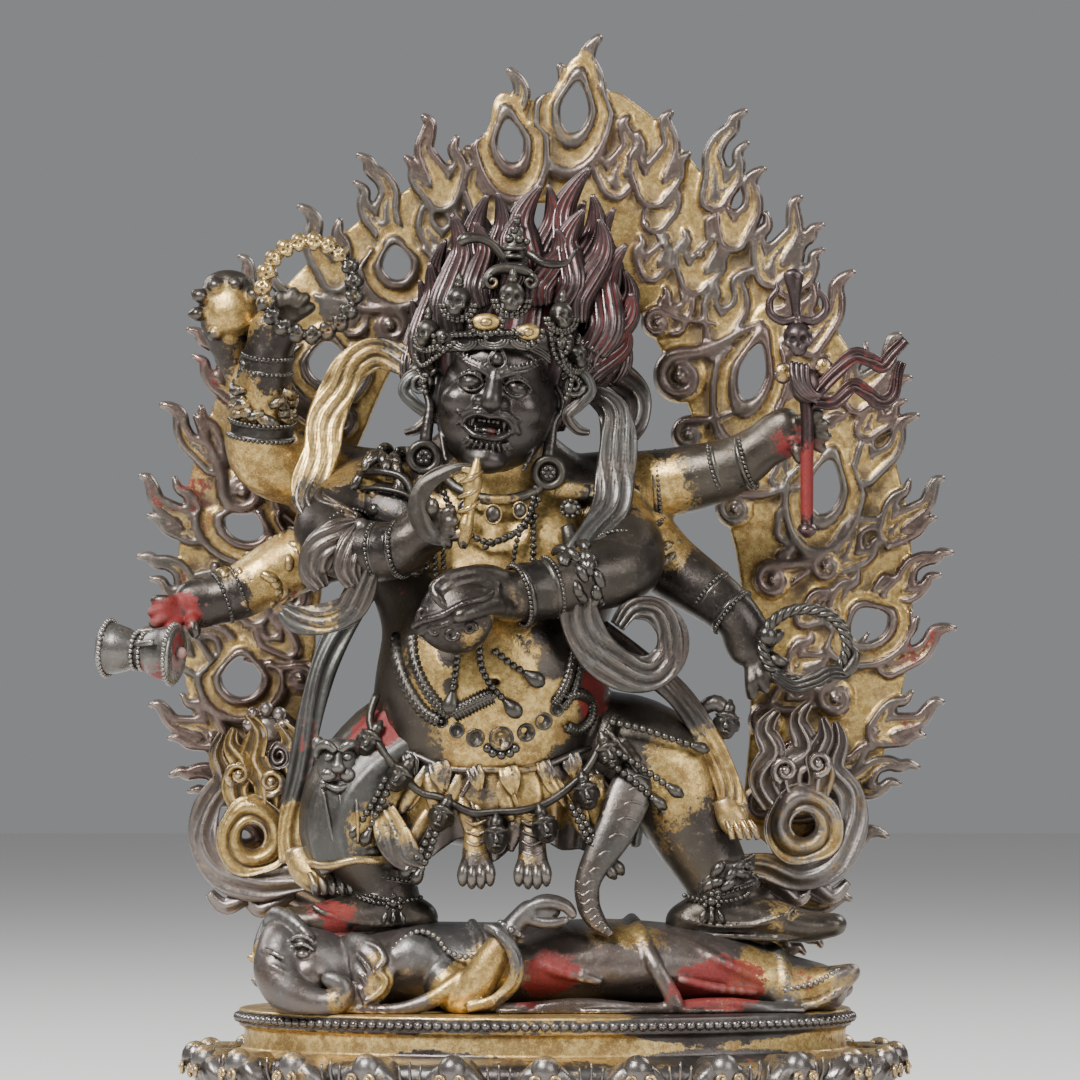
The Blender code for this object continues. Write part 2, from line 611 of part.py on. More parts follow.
def skirt(clay):
    """Tiger hide round the hips, with its paws, tail and mask, and the garland of heads."""
    clay.loft([(-15, -2, 142, 36, 26), (-15, -3, 132, 42, 27), (-16, -3, 120, 45, 26),
               (-17, -4, 110, 42, 24), (-18, -5, 106, 34, 19)], sides=18)
    for k in range(9):
        angle = math.radians(-80 + 20 * k)
        x = -16 + 42 * math.sin(angle)
        y = -3 - 24 * math.cos(angle)
        clay.loft([(x * 0.96, y, 128, 3, 2.4), (x, y - 1.5, 116, 3.4, 2.8), (x, y - 1, 106, 2.8, 2.4)], sides=6)
    for x in (-19.5, -4.5):
        clay.loft([(x, -29, 112, 4.5, 3), (x, -30, 104, 4.6, 3.4), (x, -31, 98.5, 5.4, 4),
                   (x, -31, 95.5, 4, 3)], sides=8)
    clay.loft([(12, -28, 112, 4.5, 3), (12, -31, 104, 4.2, 3), (11, -32, 96, 3.8, 3), (15, -32, 88, 3.4, 2.8),
               (20, -32, 82, 2.0, 2)], sides=6)
    clay.ball((-61, -17, 129), (9, 8, 9))
    heads = [(-51, -23, 139.5), (-48, -27, 127.5), (-31.5, -31, 118.5), (-14.5, -33, 112.5),
             (0, -33, 115.5), (12, -30, 123), (18, -26, 136.5), (54.0, -12, 144)]
    for x, y, z in heads:
        clay.ball((x, y, z), (4.6, 4.6, 5.2), detail=2)
    # the cord the heads hang from
    clay.loft([(-50, -20, 150, 1.8, 1.8), (-52, -23, 138, 1.8, 1.8), (-46, -28, 124, 1.8, 1.8),
               (-30, -31, 115, 1.8, 1.8), (-8, -32, 110, 1.8, 1.8), (10, -31, 119, 1.8, 1.8),
               (20, -27, 132, 1.8, 1.8), (28, -20, 146, 1.8, 1.8)], sides=6)


def legs(clay):
    clay.loft([(-32, -2, 130, 17, 17), (-50, -10, 126, 16, 15), (-59, -14, 117, 13, 12),
               (-55, -14, 105, 10, 10), (-49, -14, 96, 8.5, 8.5), (-46, -13, 90, 8, 9)], sides=10)
    clay.loft([(-37, -12, 85, 5, 6), (-47, -14, 86, 6, 8), (-58, -17, 86, 5.4, 8.4),
               (-68, -19, 85, 4.4, 8), (-76, -20, 85, 2.6, 5)], sides=8)
    cuff(clay, (-48, -14, 94), (0.2, 0, 1), 8.8, 3)
    clay.loft([(4, -2, 132, 18, 17), (24, -8, 134, 17, 16), (37, -12, 127, 14.5, 13),
               (43, -13, 113, 11.5, 11), (50, -13, 100, 9, 9), (54, -13, 91, 8.5, 9)], sides=10)
    cuff(clay, (52.5, -13, 95), (0.3, 0, -1), 9.4, 3)
    clay.loft([(41, -13, 84, 5, 6), (52, -14, 86, 6.6, 8), (66, -15, 85, 5.4, 8.6),
               (78, -16, 83, 4, 8), (86, -17, 82, 2.4, 5)], sides=8)


def cloth(clay):
    """Scarves and the animal hide that fall round the figure."""
    # scarf from the viewer's left shoulder to the bow at the elbow
    clay.loft([(-38, -4, 250, 4, 2), (-52, -2, 252, 6, 2), (-61, -3, 244, 7, 2.2), (-66, -5, 233, 6.5, 2.2),
               (-67, -9, 222, 6.5, 2.2), (-70, -14, 212, 6, 2.2), (-64, -21, 205, 5, 2.4),
               (-55, -28, 202, 4, 3)], sides=6)
    clay.loft([(-55, -29, 202, 3, 3), (-61, -31, 196, 6, 3.4), (-66, -31, 189, 6.4, 3.4), (-62, -31, 184, 3, 2)], sides=8)
    clay.loft([(-54, -30, 202, 3, 3), (-55, -33, 192, 4.4, 3), (-56, -33, 184, 4.4, 2.4), (-64, -30, 178, 5, 2.2),
               (-75, -27, 174, 6, 2), (-79, -25, 178, 3, 1.6)], sides=6)
    # scarf over the viewer's right shoulder and forearm, to its loop
    clay.loft([(4, 2, 250, 4, 2), (18, 6, 246, 5, 2.4), (28, 4, 240, 4.5, 2.4), (24, -4, 228, 5.5, 2.4),
               (22, -12, 216, 6.5, 2.4), (20, -17, 206, 6, 2.4), (10, -26, 197, 5, 2.4),
               (8, -34, 190, 6, 2.4), (11, -36, 179, 6, 2.4), (15, -32, 167, 6.5, 2.4),
               (24, -28, 158, 6.5, 2.4), (35, -26, 162, 6, 2.4), (36, -26, 173, 5, 2.4),
               (29, -26, 182, 3, 2)], sides=6)
    # lower scarf: a scroll on each side, joined behind the legs
    clay.spiral((-90, 13, 109.5), 12, 1.15, 60, -1, 3.8, 3.4)
    clay.spiral((-88, 13, 129), 7.5, 0.9, 200, 1, 3.0, 3.0)
    clay.loft([(-80, 13, 134, 3, 2.4), (-92, 13, 137, 4, 2.4), (-86, 13, 124, 4, 2.4)], sides=6)
    clay.spiral((76.5, 13, 111), 14, 1.15, -60, 1, 4.2, 3.4)
    clay.spiral((75, 13, 134), 9, 0.9, 160, -1, 3.4, 3.0)
    clay.loft([(-86, 12, 97, 5, 2.6), (-62, 12, 90, 5, 2.6), (-30, 12.4, 86.5, 4, 2.4), (4, 12.4, 85, 4, 2.4),
               (36, 12.4, 88, 4, 2.4), (60, 12, 94, 5, 2.6), (74, 12, 96, 5, 2.6)], sides=6)
    clay.loft([(-50, 6, 94, 4, 4), (-50, 10, 92, 5, 3.6), (-52, 13, 92, 4, 2.4)], sides=6)
    clay.loft([(52, 0, 96, 4, 4), (54, 6, 95, 5, 4), (55, 12, 94, 4, 2.4)], sides=6)
    clay.loft([(-50, -8, 97, 5, 5), (-50, 2, 95, 4, 4), (-50, 9, 93, 4, 3)], sides=6)
    clay.loft([(52, -8, 97, 5, 5), (53, 2, 96, 4, 4), (54, 9, 95, 4, 3)], sides=6)
    # hide: foreleg raised beside the upper hand, hind legs down each side
    clay.loft([(-84, 4, 240, 4, 3), (-92, 4, 250, 5, 3), (-95, 0, 260, 7, 4), (-95, -2, 268, 8.5, 5),
               (-95, -2, 275, 7, 4)], sides=8)
    for k in range(5):
        angle = math.radians(-100 + 38 * k)
        clay.ball((-95 + 8 * math.sin(angle), -4, 269 + 8 * math.cos(angle)), 2.4, detail=1)
    clay.loft([(-52, 4, 186, 5, 3), (-62, -2, 172, 4.5, 2.4), (-69, -5, 150, 4, 2.4), (-73, -7, 128, 4, 2.4),
               (-76, -8, 108, 4.4, 2.6), (-75, -10, 98, 4.4, 3), (-68, -13, 96, 4, 4), (-62, -14, 99, 4, 4)], sides=6)
    clay.loft([(20, -4, 166, 5, 3), (33, -10, 155, 4, 2.4), (46, -15, 138, 4, 2.4), (54, -18, 124, 4.4, 2.6),
               (58, -19, 116, 5, 3.4), (62, -20, 114, 3, 2.6)], sides=6)
    clay.loft([(44, -10, 136, 4, 4), (49, -13, 134, 4, 4), (51, -15, 131, 3, 3)], sides=6)
    clay.loft([(46, -14, 139, 2.4, 2.4), (53, -12, 143, 2.4, 2.4)], sides=6, per_span=1)


def build_guardian(place, material):
    clay = Clay()
    trunk(clay)
    skirt(clay)
    legs(clay)
    limbs(clay)
    head(clay)
    hair(clay)
    cloth(clay)
    return clay.cast("mahakala_figure", place["parts"], 0.9, 3500, material,
                     fine=((HEAD[0], HEAD[1] - 12, HEAD[2]), 21))


# What the hands hold


def build_trident(place, material):
    x, y = 78.0, -17.5
    clay = Clay()
    clay.loft([(x, y, 199, 1.2, 1.2), (x, y, 201, 3.2, 3.2), (x, y, 204, 2.1, 2.1), (x, y, 236, 2.1, 2.1),
               (x - 1.5, y, 250, 2.4, 2.4), (x - 2.5, y, 262, 2.6, 2.4), (x - 3.4, y, 266, 1.8, 1.8),
               (x - 3.6, y, 271, 2, 2), (x - 4, y, 277, 3.2, 2), (x - 4, y, 279, 1.2, 1.0)], per_span=1)
    clay.ball((x - 2.7, y - 0.6, 257.5), (4.0, 3.8, 5.4))
    for side in (-1, 1):
        clay.loft([(x - 2.6, y, 264, 1.5, 1.5), (x - 2.6 + side * 5, y, 263.5, 1.5, 1.5),
                   (x - 2.6 + side * 8.2, y, 267, 1.3, 1.3), (x - 2.6 + side * 5.6, y, 273.5, 0.8, 0.8)], sides=6)
    clay.ball((x - 0.5, y - 0.5, 243), (5.5, 4, 6))
    clay.ball((x - 7, y, 247.5), (3.6, 2.6, 4))
    clay.ball((x + 4.4, y, 249.5), (3.4, 2.6, 3.6))
    clay.loft([(x + 2, y, 243, 2.4, 2), (x + 9, y, 249, 2.8, 1.8), (x + 17, y + 1, 252, 2.8, 1.8),
               (x + 24, y + 2, 250, 2.6, 1.8), (x + 29, y + 2, 256, 2, 1.6)], sides=6)
    clay.loft([(x + 2, y, 240, 2.4, 2), (x + 10, y, 239, 2.8, 1.8), (x + 17, y + 1, 244, 2.8, 1.8),
               (x + 24, y + 2, 239.5, 2.8, 1.8), (x + 28, y + 2, 247, 2.2, 1.6)], sides=6)
    return clay.cast("trident", place["parts"], 0.7, 300, material, 1)


def ring_stations(centre, wide, tall, girth, tilt=0.0, steps=16):
    """A closed ring of stations in the plane of the front, leaning back by so much at the top."""
    rows = []
    for k in range(steps):
        angle = 2 * math.pi * k / steps
        rows.append((centre[0] + wide * math.sin(angle), centre[1] + tilt * math.cos(angle),
                     centre[2] + tall * math.cos(angle), girth, girth))
    return rows


def build_rosary(place, material):
    clay = Clay()
    rows = ring_stations((-70.2, -16.5, 273), 13.6, 14.0, 2.7, 2.0, 16)
    rows = [(*row[:3], row[3] * (1.08 if k % 2 else 0.86), row[4] * (1.08 if k % 2 else 0.86))
            for k, row in enumerate(rows)]
    clay.loft(rows, sides=6, per_span=1, closed=True)
    return clay.plain("skull_rosary", place["parts"], material)


def build_noose(place, material):
    clay = Clay()
    clay.loft(ring_stations((77.4, -17.5, 166.5), 12.6, 11.0, 1.9, -1.0, 14), sides=6, per_span=1, closed=True)
    return clay.plain("noose", place["parts"], material)


def build_drum(place, material):
    clay = Clay()
    start, end = Vector((-131.5, -19.5, 166)), Vector((-109, -26.5, 164))
    profile = [(0.0, 7.4), (0.04, 8.2), (0.22, 8.2), (0.42, 5.6), (0.5, 5.2), (0.58, 6.2), (0.74, 8.6),
               (0.96, 8.8), (1.0, 8.0)]
    rows = [(*(start + (end - start) * share), radius, radius) for share, radius in profile]
    clay.loft(rows, sides=10, per_span=1)
    return clay.plain("hand_drum", place["parts"], material)


def build_knife(place, material):
    y = -45.5
    clay = Clay()
    blade = [(-30, 196), (-36, 199), (-39.5, 206), (-38.5, 213), (-34, 218), (-27, 220.5), (-20.5, 220),
             (-26.5, 217.5), (-31.5, 213.5), (-33.5, 207), (-31, 202), (-26, 200)]
    clay.plate(blade, y - 0.9, y + 0.9)
    clay.loft([(-24, y, 197, 1.8, 1.8), (-23, y, 202, 2.6, 2.6), (-22, y, 210, 2.0, 2.0), (-21, y, 216, 2.8, 2.6),
               (-20, y, 222, 1.2, 1.2)], sides=6)
    clay.loft([(-29, y, 199, 1.6, 1.6), (-25, y, 200, 2.2, 2.2), (-22, y, 203, 1.6, 1.6)], sides=6)
    clay.loft([(-24, y, 219, 1.5, 1.5), (-20, y, 218, 1.5, 1.5)], sides=6)
    return clay.cast("curved_knife", place["parts"], 0.5, 170, material, 1)


def build_cup(place, material):
    clay = Clay()
    x, y, z = -28.0, -51.5, 178.5
    profile = [(-9.0, 2.5), (-7.5, 5.8), (-3.5, 9.2), (1.5, 10.6), (3.4, 10.9), (4.2, 9.6), (6.4, 6.0), (7.6, 2.0)]
    rows = [(x, y, z + height, radius, radius * 0.62) for height, radius in profile]
    clay.loft(rows, sides=10, per_span=1)
    return clay.plain("skull_cup", place["parts"], material)


def main():
    clear_scene()
    place = {"parts": collection("mahakala_on_lotus_plinth"), "cutters": collection("cutters", False)}
    gilt = bronze("worn_gilt_bronze", (0.45, 0.33, 0.16))
    dark = bronze("dark_bronze", (0.09, 0.075, 0.07))
    build_plinth(place, gilt)
    build_aureole(place, gilt)
    guardian = build_guardian(place, dark)
    held = [
        build_trident(place, bronze("red_bronze", (0.12, 0.05, 0.04))),
        build_rosary(place, gilt),
        build_noose(place, dark),
        build_drum(place, bronze("painted_bronze", (0.3, 0.08, 0.06), 0.5, 0.6)),
        build_knife(place, dark),
        build_cup(place, dark),
    ]
    prone = build_prone(place, dark)
    cutters = [swelled(piece, place["cutters"]) for piece in held]
    for cutter in cutters:
        cut(guardian, cutter)
    cut(prone, swelled(guardian, place["cutters"]))


main()
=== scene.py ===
import math

import bmesh
import bpy
import numpy as np
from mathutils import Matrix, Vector


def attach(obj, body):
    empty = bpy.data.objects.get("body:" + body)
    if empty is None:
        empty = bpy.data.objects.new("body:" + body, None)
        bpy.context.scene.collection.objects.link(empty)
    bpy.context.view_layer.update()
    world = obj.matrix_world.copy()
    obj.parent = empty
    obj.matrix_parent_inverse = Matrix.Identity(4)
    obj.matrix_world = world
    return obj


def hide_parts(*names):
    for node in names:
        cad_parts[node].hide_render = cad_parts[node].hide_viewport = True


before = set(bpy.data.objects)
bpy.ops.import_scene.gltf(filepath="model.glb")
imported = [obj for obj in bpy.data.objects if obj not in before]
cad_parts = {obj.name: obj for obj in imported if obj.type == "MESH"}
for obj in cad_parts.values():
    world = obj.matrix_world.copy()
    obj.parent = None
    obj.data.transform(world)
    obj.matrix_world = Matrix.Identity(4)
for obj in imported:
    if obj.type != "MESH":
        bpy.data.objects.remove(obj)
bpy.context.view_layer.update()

# The look of a gilt bronze guardian on a lotus plinth, before an aureole of flames.
#
# Forms are worked out in millimetres and turned into metres as each mesh is made.
# A station is (x, y, z, across, deep): a point on a form's axis and the half sizes there.

MM = 0.001
FRONT = np.array((0.0, -1.0, 0.0))
SCENE = bpy.context.scene
# triangles of each piece that is thinned after it is cut from its field
FACES = {"flame_aureole_relief": 155000,
         "mahakala_body": 118000,
         "mahakala_head": 74000,
         "prone_elephant_relief": 72000,
         "skull_cup_relief": 14000}


# ---- forms as signed distances


def smoothed(stations, per_span, closed=False):
    """Points on a Catmull-Rom curve through the stations, every number of a station alike."""
    rows = np.array(stations, float)
    count = len(rows)
    spans = count if closed else count - 1
    out = []
    for span in range(spans):
        picks = [span - 1, span, span + 1, span + 2]
        picks = [k % count if closed else min(max(k, 0), count - 1) for k in picks]
        p, q, r, s = rows[picks]
        for step in range(per_span):
            t = step / per_span
            out.append(0.5 * (2 * q + (r - p) * t + (2 * p - 5 * q + 4 * r - s) * t * t
                              + (3 * q - p - 3 * r + s) * t ** 3))
    if not closed:
        out.append(rows[-1])
    return np.array(out)


def unit(v):
    v = np.asarray(v, float)
    return v / max(np.linalg.norm(v), 1e-9)


def frames(centres, closed=False, facing=FRONT):
    """For each centre on a path: the way along it, the way across, and the deep way."""
    n = len(centres)
    out = []
    across = None
    for i in range(n):
        if closed:
            ahead, behind = centres[(i + 1) % n], centres[i - 1]
        else:
            ahead, behind = centres[min(i + 1, n - 1)], centres[max(i - 1, 0)]
        tangent = unit(ahead - behind)
        turned = np.cross(tangent, facing)
        if np.linalg.norm(turned) > 0.2 or across is None:
            across = unit(turned)
        deep = unit(np.cross(across, tangent))
        out.append((tangent, unit(np.cross(tangent, deep)), deep))
    return out


class Field:
    """Signed distances on a grid, in millimetres, that forms are blended into."""

    def __init__(self, low, high, step):
        self.low = np.array(low, float)
        self.step = step
        self.shape = tuple(int(math.ceil((h - l) / step)) + 1 for l, h in zip(low, high))
        self.value = np.full(self.shape, 9.0, np.float32)

    def window(self, low, high):
        a = np.floor((np.asarray(low) - self.low) / self.step).astype(int)
        b = np.ceil((np.asarray(high) - self.low) / self.step).astype(int) + 1
        return tuple(slice(int(max(i, 0)), int(max(min(j, n), 0))) for i, j, n in zip(a, b, self.shape))

    def grid(self, window):
        axes = [self.low[k] + self.step * np.arange(w.start, w.stop, dtype=np.float32)
                for k, w in enumerate(window)]
        return np.meshgrid(*axes, indexing="ij", sparse=True)

    def blend(self, window, distance, soft=0.0, carve=False):
        old = self.value[window]
        if carve:
            if soft:
                h = np.clip(0.5 - 0.5 * (old + distance) / soft, 0, 1)
                self.value[window] = old * (1 - h) - distance * h + soft * h * (1 - h)
            else:
                self.value[window] = np.maximum(old, -distance)
        elif soft:
            h = np.clip(0.5 + 0.5 * (old - distance) / soft, 0, 1)
            self.value[window] = old * (1 - h) + distance * h - soft * h * (1 - h)
        else:
            self.value[window] = np.minimum(old, distance)

    def loft(self, stations, soft=1.5, per_span=3, closed=False, carve=False, facing=FRONT):
        """A limb, lock or band with elliptic sections."""
        rows = smoothed(stations, per_span, closed)
        centres = rows[:, :3]
        way = frames(centres, closed, facing)
        n = len(rows)
        for i in range(n if closed else n - 1):
            j = (i + 1) % n
            a, b = centres[i], centres[j]
            size = np.maximum(rows[i, 3:5], rows[j, 3:5]).max() + soft + 2 * self.step
            w = self.window(np.minimum(a, b) - size, np.maximum(a, b) + size)
            if any(s.stop <= s.start for s in w):
                continue
            x, y, z = self.grid(w)
            ab = b - a
            length = max(float(ab @ ab), 1e-6)
            t = np.clip(((x - a[0]) * ab[0] + (y - a[1]) * ab[1] + (z - a[2]) * ab[2]) / length, 0, 1)
            rx = x - a[0] - t * ab[0]
            ry = y - a[1] - t * ab[1]
            rz = z - a[2] - t * ab[2]
            tangent, across, deep = (unit(p + q if p @ q > 0 else p - q) for p, q in zip(way[i], way[j]))
            wide = rows[i, 3] + t * (rows[j, 3] - rows[i, 3])
            thick = rows[i, 4] + t * (rows[j, 4] - rows[i, 4])
            u = (rx * across[0] + ry * across[1] + rz * across[2]) / wide
            v = (rx * deep[0] + ry * deep[1] + rz * deep[2]) / thick
            s = (rx * tangent[0] + ry * tangent[1] + rz * tangent[2]) / np.minimum(wide, thick)
            k0 = np.sqrt(u * u + v * v + s * s) + 1e-6
            k1 = np.sqrt((u / wide) ** 2 + (v / thick) ** 2 + (s / np.minimum(wide, thick)) ** 2) + 1e-6
            self.blend(w, (k0 * (k0 - 1) / k1).astype(np.float32), soft, carve)

    def ball(self, centre, radii, soft=1.5, turn=0.0, tip=0.0, carve=False):
        """An ellipsoid, turned about Y and tipped about X by so many degrees."""
        radii = np.broadcast_to(np.asarray(radii, float), (3,))
        reach = radii.max() + soft + 2 * self.step
        c = np.asarray(centre, float)
        w = self.window(c - reach, c + reach)
        if any(s.stop <= s.start for s in w):
            return
        x, y, z = self.grid(w)
        x, y, z = x - c[0], y - c[1], z - c[2]
        if turn:
            a = math.radians(turn)
            x, z = x * math.cos(a) - z * math.sin(a), x * math.sin(a) + z * math.cos(a)
        if tip:
            a = math.radians(tip)
            y, z = y * math.cos(a) - z * math.sin(a), y * math.sin(a) + z * math.cos(a)
        k0 = np.sqrt((x / radii[0]) ** 2 + (y / radii[1]) ** 2 + (z / radii[2]) ** 2) + 1e-6
        k1 = np.sqrt((x / radii[0] ** 2) ** 2 + (y / radii[1] ** 2) ** 2 + (z / radii[2] ** 2) ** 2) + 1e-6
        self.blend(w, (k0 * (k0 - 1) / k1).astype(np.float32), soft, carve)

    def above(self, height):
        """Keeps what is over a height."""
        z = self.low[2] + self.step * np.arange(self.shape[2], dtype=np.float32)
        self.value = np.maximum(self.value, (height - z)[None, None, :])

    def skin(self):
        """The surface where the distance is nought: points in millimetres and four-cornered faces."""
        v = self.value
        v[0], v[-1], v[:, 0], v[:, -1], v[:, :, 0], v[:, :, -1] = 9, 9, 9, 9, 9, 9
        inside = v < 0
        n = [s - 1 for s in v.shape]
        count = np.zeros(n, np.int8)
        corners = [(i, j, k) for i in (0, 1) for j in (0, 1) for k in (0, 1)]
        for i, j, k in corners:
            count += inside[i:n[0] + i, j:n[1] + j, k:n[2] + k]
        cells = np.argwhere((count > 0) & (count < 8))
        index = np.full(n, -1, np.int32)
        index[tuple(cells.T)] = np.arange(len(cells))
        at = {c: v[tuple((cells + c).T)] for c in corners}
        total = np.zeros((len(cells), 3))
        hits = np.zeros(len(cells))
        for c in corners:
            for axis in range(3):
                if c[axis]:
                    continue
                d = tuple(1 if m == axis else c[m] for m in range(3))
                cross = (at[c] < 0) != (at[d] < 0)
                t = np.where(cross, at[c] / np.where(cross, at[c] - at[d], 1), 0)
                point = np.tile(np.array(c, float), (len(cells), 1))
                point[:, axis] = t
                total += point * cross[:, None]
                hits += cross
        verts = self.low + self.step * (cells + total / hits[:, None])
        faces = []
        for axis in range(3):
            a, b = [m for m in range(3) if m != axis]
            low = [slice(None)] * 3
            high = [slice(None)] * 3
            low[axis], high[axis] = slice(0, n[axis]), slice(1, n[axis] + 1)
            first, second = inside[tuple(low)], inside[tuple(high)]
            edge = np.argwhere(first != second)
            edge = edge[(edge[:, a] > 0) & (edge[:, b] > 0) & (edge[:, a] < n[a]) & (edge[:, b] < n[b])]
            quad = []
            for da, db in ((1, 1), (0, 1), (0, 0), (1, 0)):
                cell = edge.copy()
                cell[:, a] -= da
                cell[:, b] -= db
                quad.append(index[tuple(cell.T)])
            quad = np.stack(quad, 1)
            flip = first[tuple(edge.T)]
            if axis == 1:
                flip = ~flip
            quad[~flip] = quad[~flip][:, ::-1]
            faces.append(quad)
        return verts, np.concatenate(faces)


# ---- meshes


def mesh_object(name, verts, faces, triangles=None, smooth=True):
    """An object from points in millimetres and an array of faces, thinned to so many triangles."""
    faces = np.asarray(faces, np.int32)
    data = bpy.data.meshes.new(name)
    data.vertices.add(len(verts))
    data.vertices.foreach_set("co", (np.asarray(verts, np.float32) * MM).ravel())
    sides = faces.shape[1]
    data.loops.add(faces.size)
    data.loops.foreach_set("vertex_index", faces.ravel())
    data.polygons.add(len(faces))
    data.polygons.foreach_set("loop_start", np.arange(0, faces.size, sides, dtype=np.int32))
    data.update(calc_edges=True)
    data.validate()
    made = bpy.data.objects.new(name, data)
    SCENE.collection.objects.link(made)
    if triangles and len(faces) * (sides - 2) > triangles:
        thin = made.modifiers.new("thin", "DECIMATE")
        thin.ratio = triangles / (len(faces) * (sides - 2))
        settle(made)
    if smooth:
        made.data.shade_smooth()
    return made


def settle(made):
    """Makes the evaluated mesh the object's own, with no modifiers left."""
    bpy.context.view_layer.update()
    seen = made.evaluated_get(bpy.context.evaluated_depsgraph_get())
    data = bpy.data.meshes.new_from_object(seen)
    old = made.data
    made.modifiers.clear()
    made.data = data
    data.name = made.name
    if old.users == 0:
        bpy.data.meshes.remove(old)
    return made


def read(mesh, what, count, width=3):
    out = np.zeros(count * width, np.float32 if width == 3 else np.int32)
    getattr(mesh, what).foreach_get("co" if what == "vertices" else "vertices", out)
    return out.reshape(-1, width)


def attribute(made, name, values):
    layer = made.data.attributes.get(name) or made.data.attributes.new(name, "FLOAT", "POINT")
    layer.data.foreach_set("value", np.asarray(values, np.float32))


def cavity(made, rounds=3, gain=1.0):
    """Stores how hollow (+) or proud (-) the surface is at each point, as an attribute."""
    mesh = made.data
    n = len(mesh.vertices)
    co = read(mesh, "vertices", n)
    edges = read(mesh, "edges", len(mesh.edges), 2)
    normal = np.zeros(n * 3, np.float32)
    mesh.vertex_normals.foreach_get("vector", normal)
    normal = normal.reshape(-1, 3)
    a, b = edges[:, 0], edges[:, 1]
    degree = np.maximum(np.bincount(a, minlength=n) + np.bincount(b, minlength=n), 1)
    around = np.stack([np.bincount(a, co[b, k], n) + np.bincount(b, co[a, k], n) for k in range(3)], 1)
    length = np.linalg.norm(co[a] - co[b], axis=1)
    reach = (np.bincount(a, length, n) + np.bincount(b, length, n)) / degree + 1e-9
    hollow = ((around / degree[:, None] - co) * normal).sum(1) / reach
    for _ in range(rounds):
        hollow = 0.4 * hollow + 0.6 * (np.bincount(a, hollow[b], n) + np.bincount(b, hollow[a], n)) / degree
    attribute(made, "cavity", np.clip(hollow * 5 * gain, -1, 1))
    return co * 1000, normal


def tube(stations, sides=12, per_span=4, closed=False, section=None, facing=FRONT):
    """Points and faces of a loft. section gives each angle's share of the half sizes."""
    rows = smoothed(stations, per_span, closed)
    way = frames(rows[:, :3], closed, facing)
    turn = np.arange(sides) * 2 * math.pi / sides
    shape = np.ones(sides) if section is None else np.array([section(a) for a in turn])
    rings = []
    for row, (_, across, deep) in zip(rows, way):
        rings.append(row[:3] + np.outer(np.cos(turn) * shape * row[3], across)
                     + np.outer(np.sin(turn) * shape * row[4], deep))
    n = len(rings)
    verts = np.concatenate(rings)
    k = np.arange(sides)
    j = (k + 1) % sides
    faces = []
    for i in range(n if closed else n - 1):
        near, far = i * sides, ((i + 1) % n) * sides
        faces.append(np.stack([near + k, near + j, far + j, far + k], 1))
    if not closed:
        verts = np.concatenate([verts, rows[:1, :3], rows[-1:, :3]])
        base, top = n * sides, n * sides + 1
        faces.append(np.stack([np.full(sides, base), j, k, np.full(sides, base)], 1))
        last = (n - 1) * sides
        faces.append(np.stack([np.full(sides, top), last + k, last + j, np.full(sides, top)], 1))
    return verts, np.concatenate(faces)


class Heap:
    """Points and faces of many small forms, gathered into one object."""

    def __init__(self):
        self.verts, self.faces, self.tags, self.count = [], [], [], 0

    def add(self, verts, faces, tag=0.0):
        faces = np.asarray(faces)
        a, b, c, d = (verts[faces[:, k]] for k in range(4))
        if (a * np.cross(b, c)).sum() + (a * np.cross(c, d)).sum() < 0:
            faces = np.where((faces[:, 3] == faces[:, 0])[:, None], faces[:, [0, 2, 1, 0]], faces[:, ::-1])
        self.verts.append(verts)
        self.faces.append(faces + self.count)
        self.tags.append(np.full(len(verts), tag))
        self.count += len(verts)

    def loft(self, stations, tag=0.0, **options):
        self.add(*tube(stations, **options), tag)

    def ball(self, centre, radii, tag=0.0, rings=6, steps=10):
        radii = np.broadcast_to(np.asarray(radii, float), (3,))
        polar = np.linspace(0, math.pi, rings + 1)[1:-1]
        turn = np.arange(steps) * 2 * math.pi / steps
        body = np.array([(math.sin(p) * math.cos(t), math.sin(p) * math.sin(t), math.cos(p))
                         for p in polar for t in turn])
        verts = np.concatenate([body, [(0, 0, 1), (0, 0, -1)]]) * radii + np.asarray(centre)
        k = np.arange(steps)
        j = (k + 1) % steps
        faces = [np.stack([i * steps + k, (i + 1) * steps + k, (i + 1) * steps + j, i * steps + j], 1)
                 for i in range(rings - 2)]
        top, base = (rings - 1) * steps, (rings - 1) * steps + 1
        last = (rings - 2) * steps
        faces.append(np.stack([np.full(steps, top), k, j, np.full(steps, top)], 1))
        faces.append(np.stack([np.full(steps, base), last + j, last + k, np.full(steps, base)], 1))
        self.add(verts, np.concatenate(faces), tag)

    def make(self, name):
        verts, faces = np.concatenate(self.verts), np.concatenate(self.faces)
        closing = faces[:, 3] == faces[:, 0]
        bm_faces = [tuple(f[:3]) if c else tuple(f) for f, c in zip(faces.tolist(), closing)]
        data = bpy.data.meshes.new(name)
        data.from_pydata((verts * MM).tolist(), [], bm_faces)
        data.update()
        made = bpy.data.objects.new(name, data)
        SCENE.collection.objects.link(made)
        data.shade_smooth()
        attribute(made, "tag", np.concatenate(self.tags))
        return made


def joined(name, pieces):
    """Several meshes as one object."""
    bm = bmesh.new()
    for piece in pieces:
        bm.from_mesh(piece.data)
        bpy.data.objects.remove(piece, do_unlink=True)
    data = bpy.data.meshes.new(name)
    bm.to_mesh(data)
    bm.free()
    made = bpy.data.objects.new(name, data)
    SCENE.collection.objects.link(made)
    return made


def dress(made, slot, material, *nodes):
    """Sets the material, lets the piece ride on the figure, and hides the imported solids that it stands for."""
    made.data.materials.clear()
    made.data.materials.append(material)
    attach(made, "root")
    if nodes:
        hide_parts(*nodes)
    return made


# ---- materials


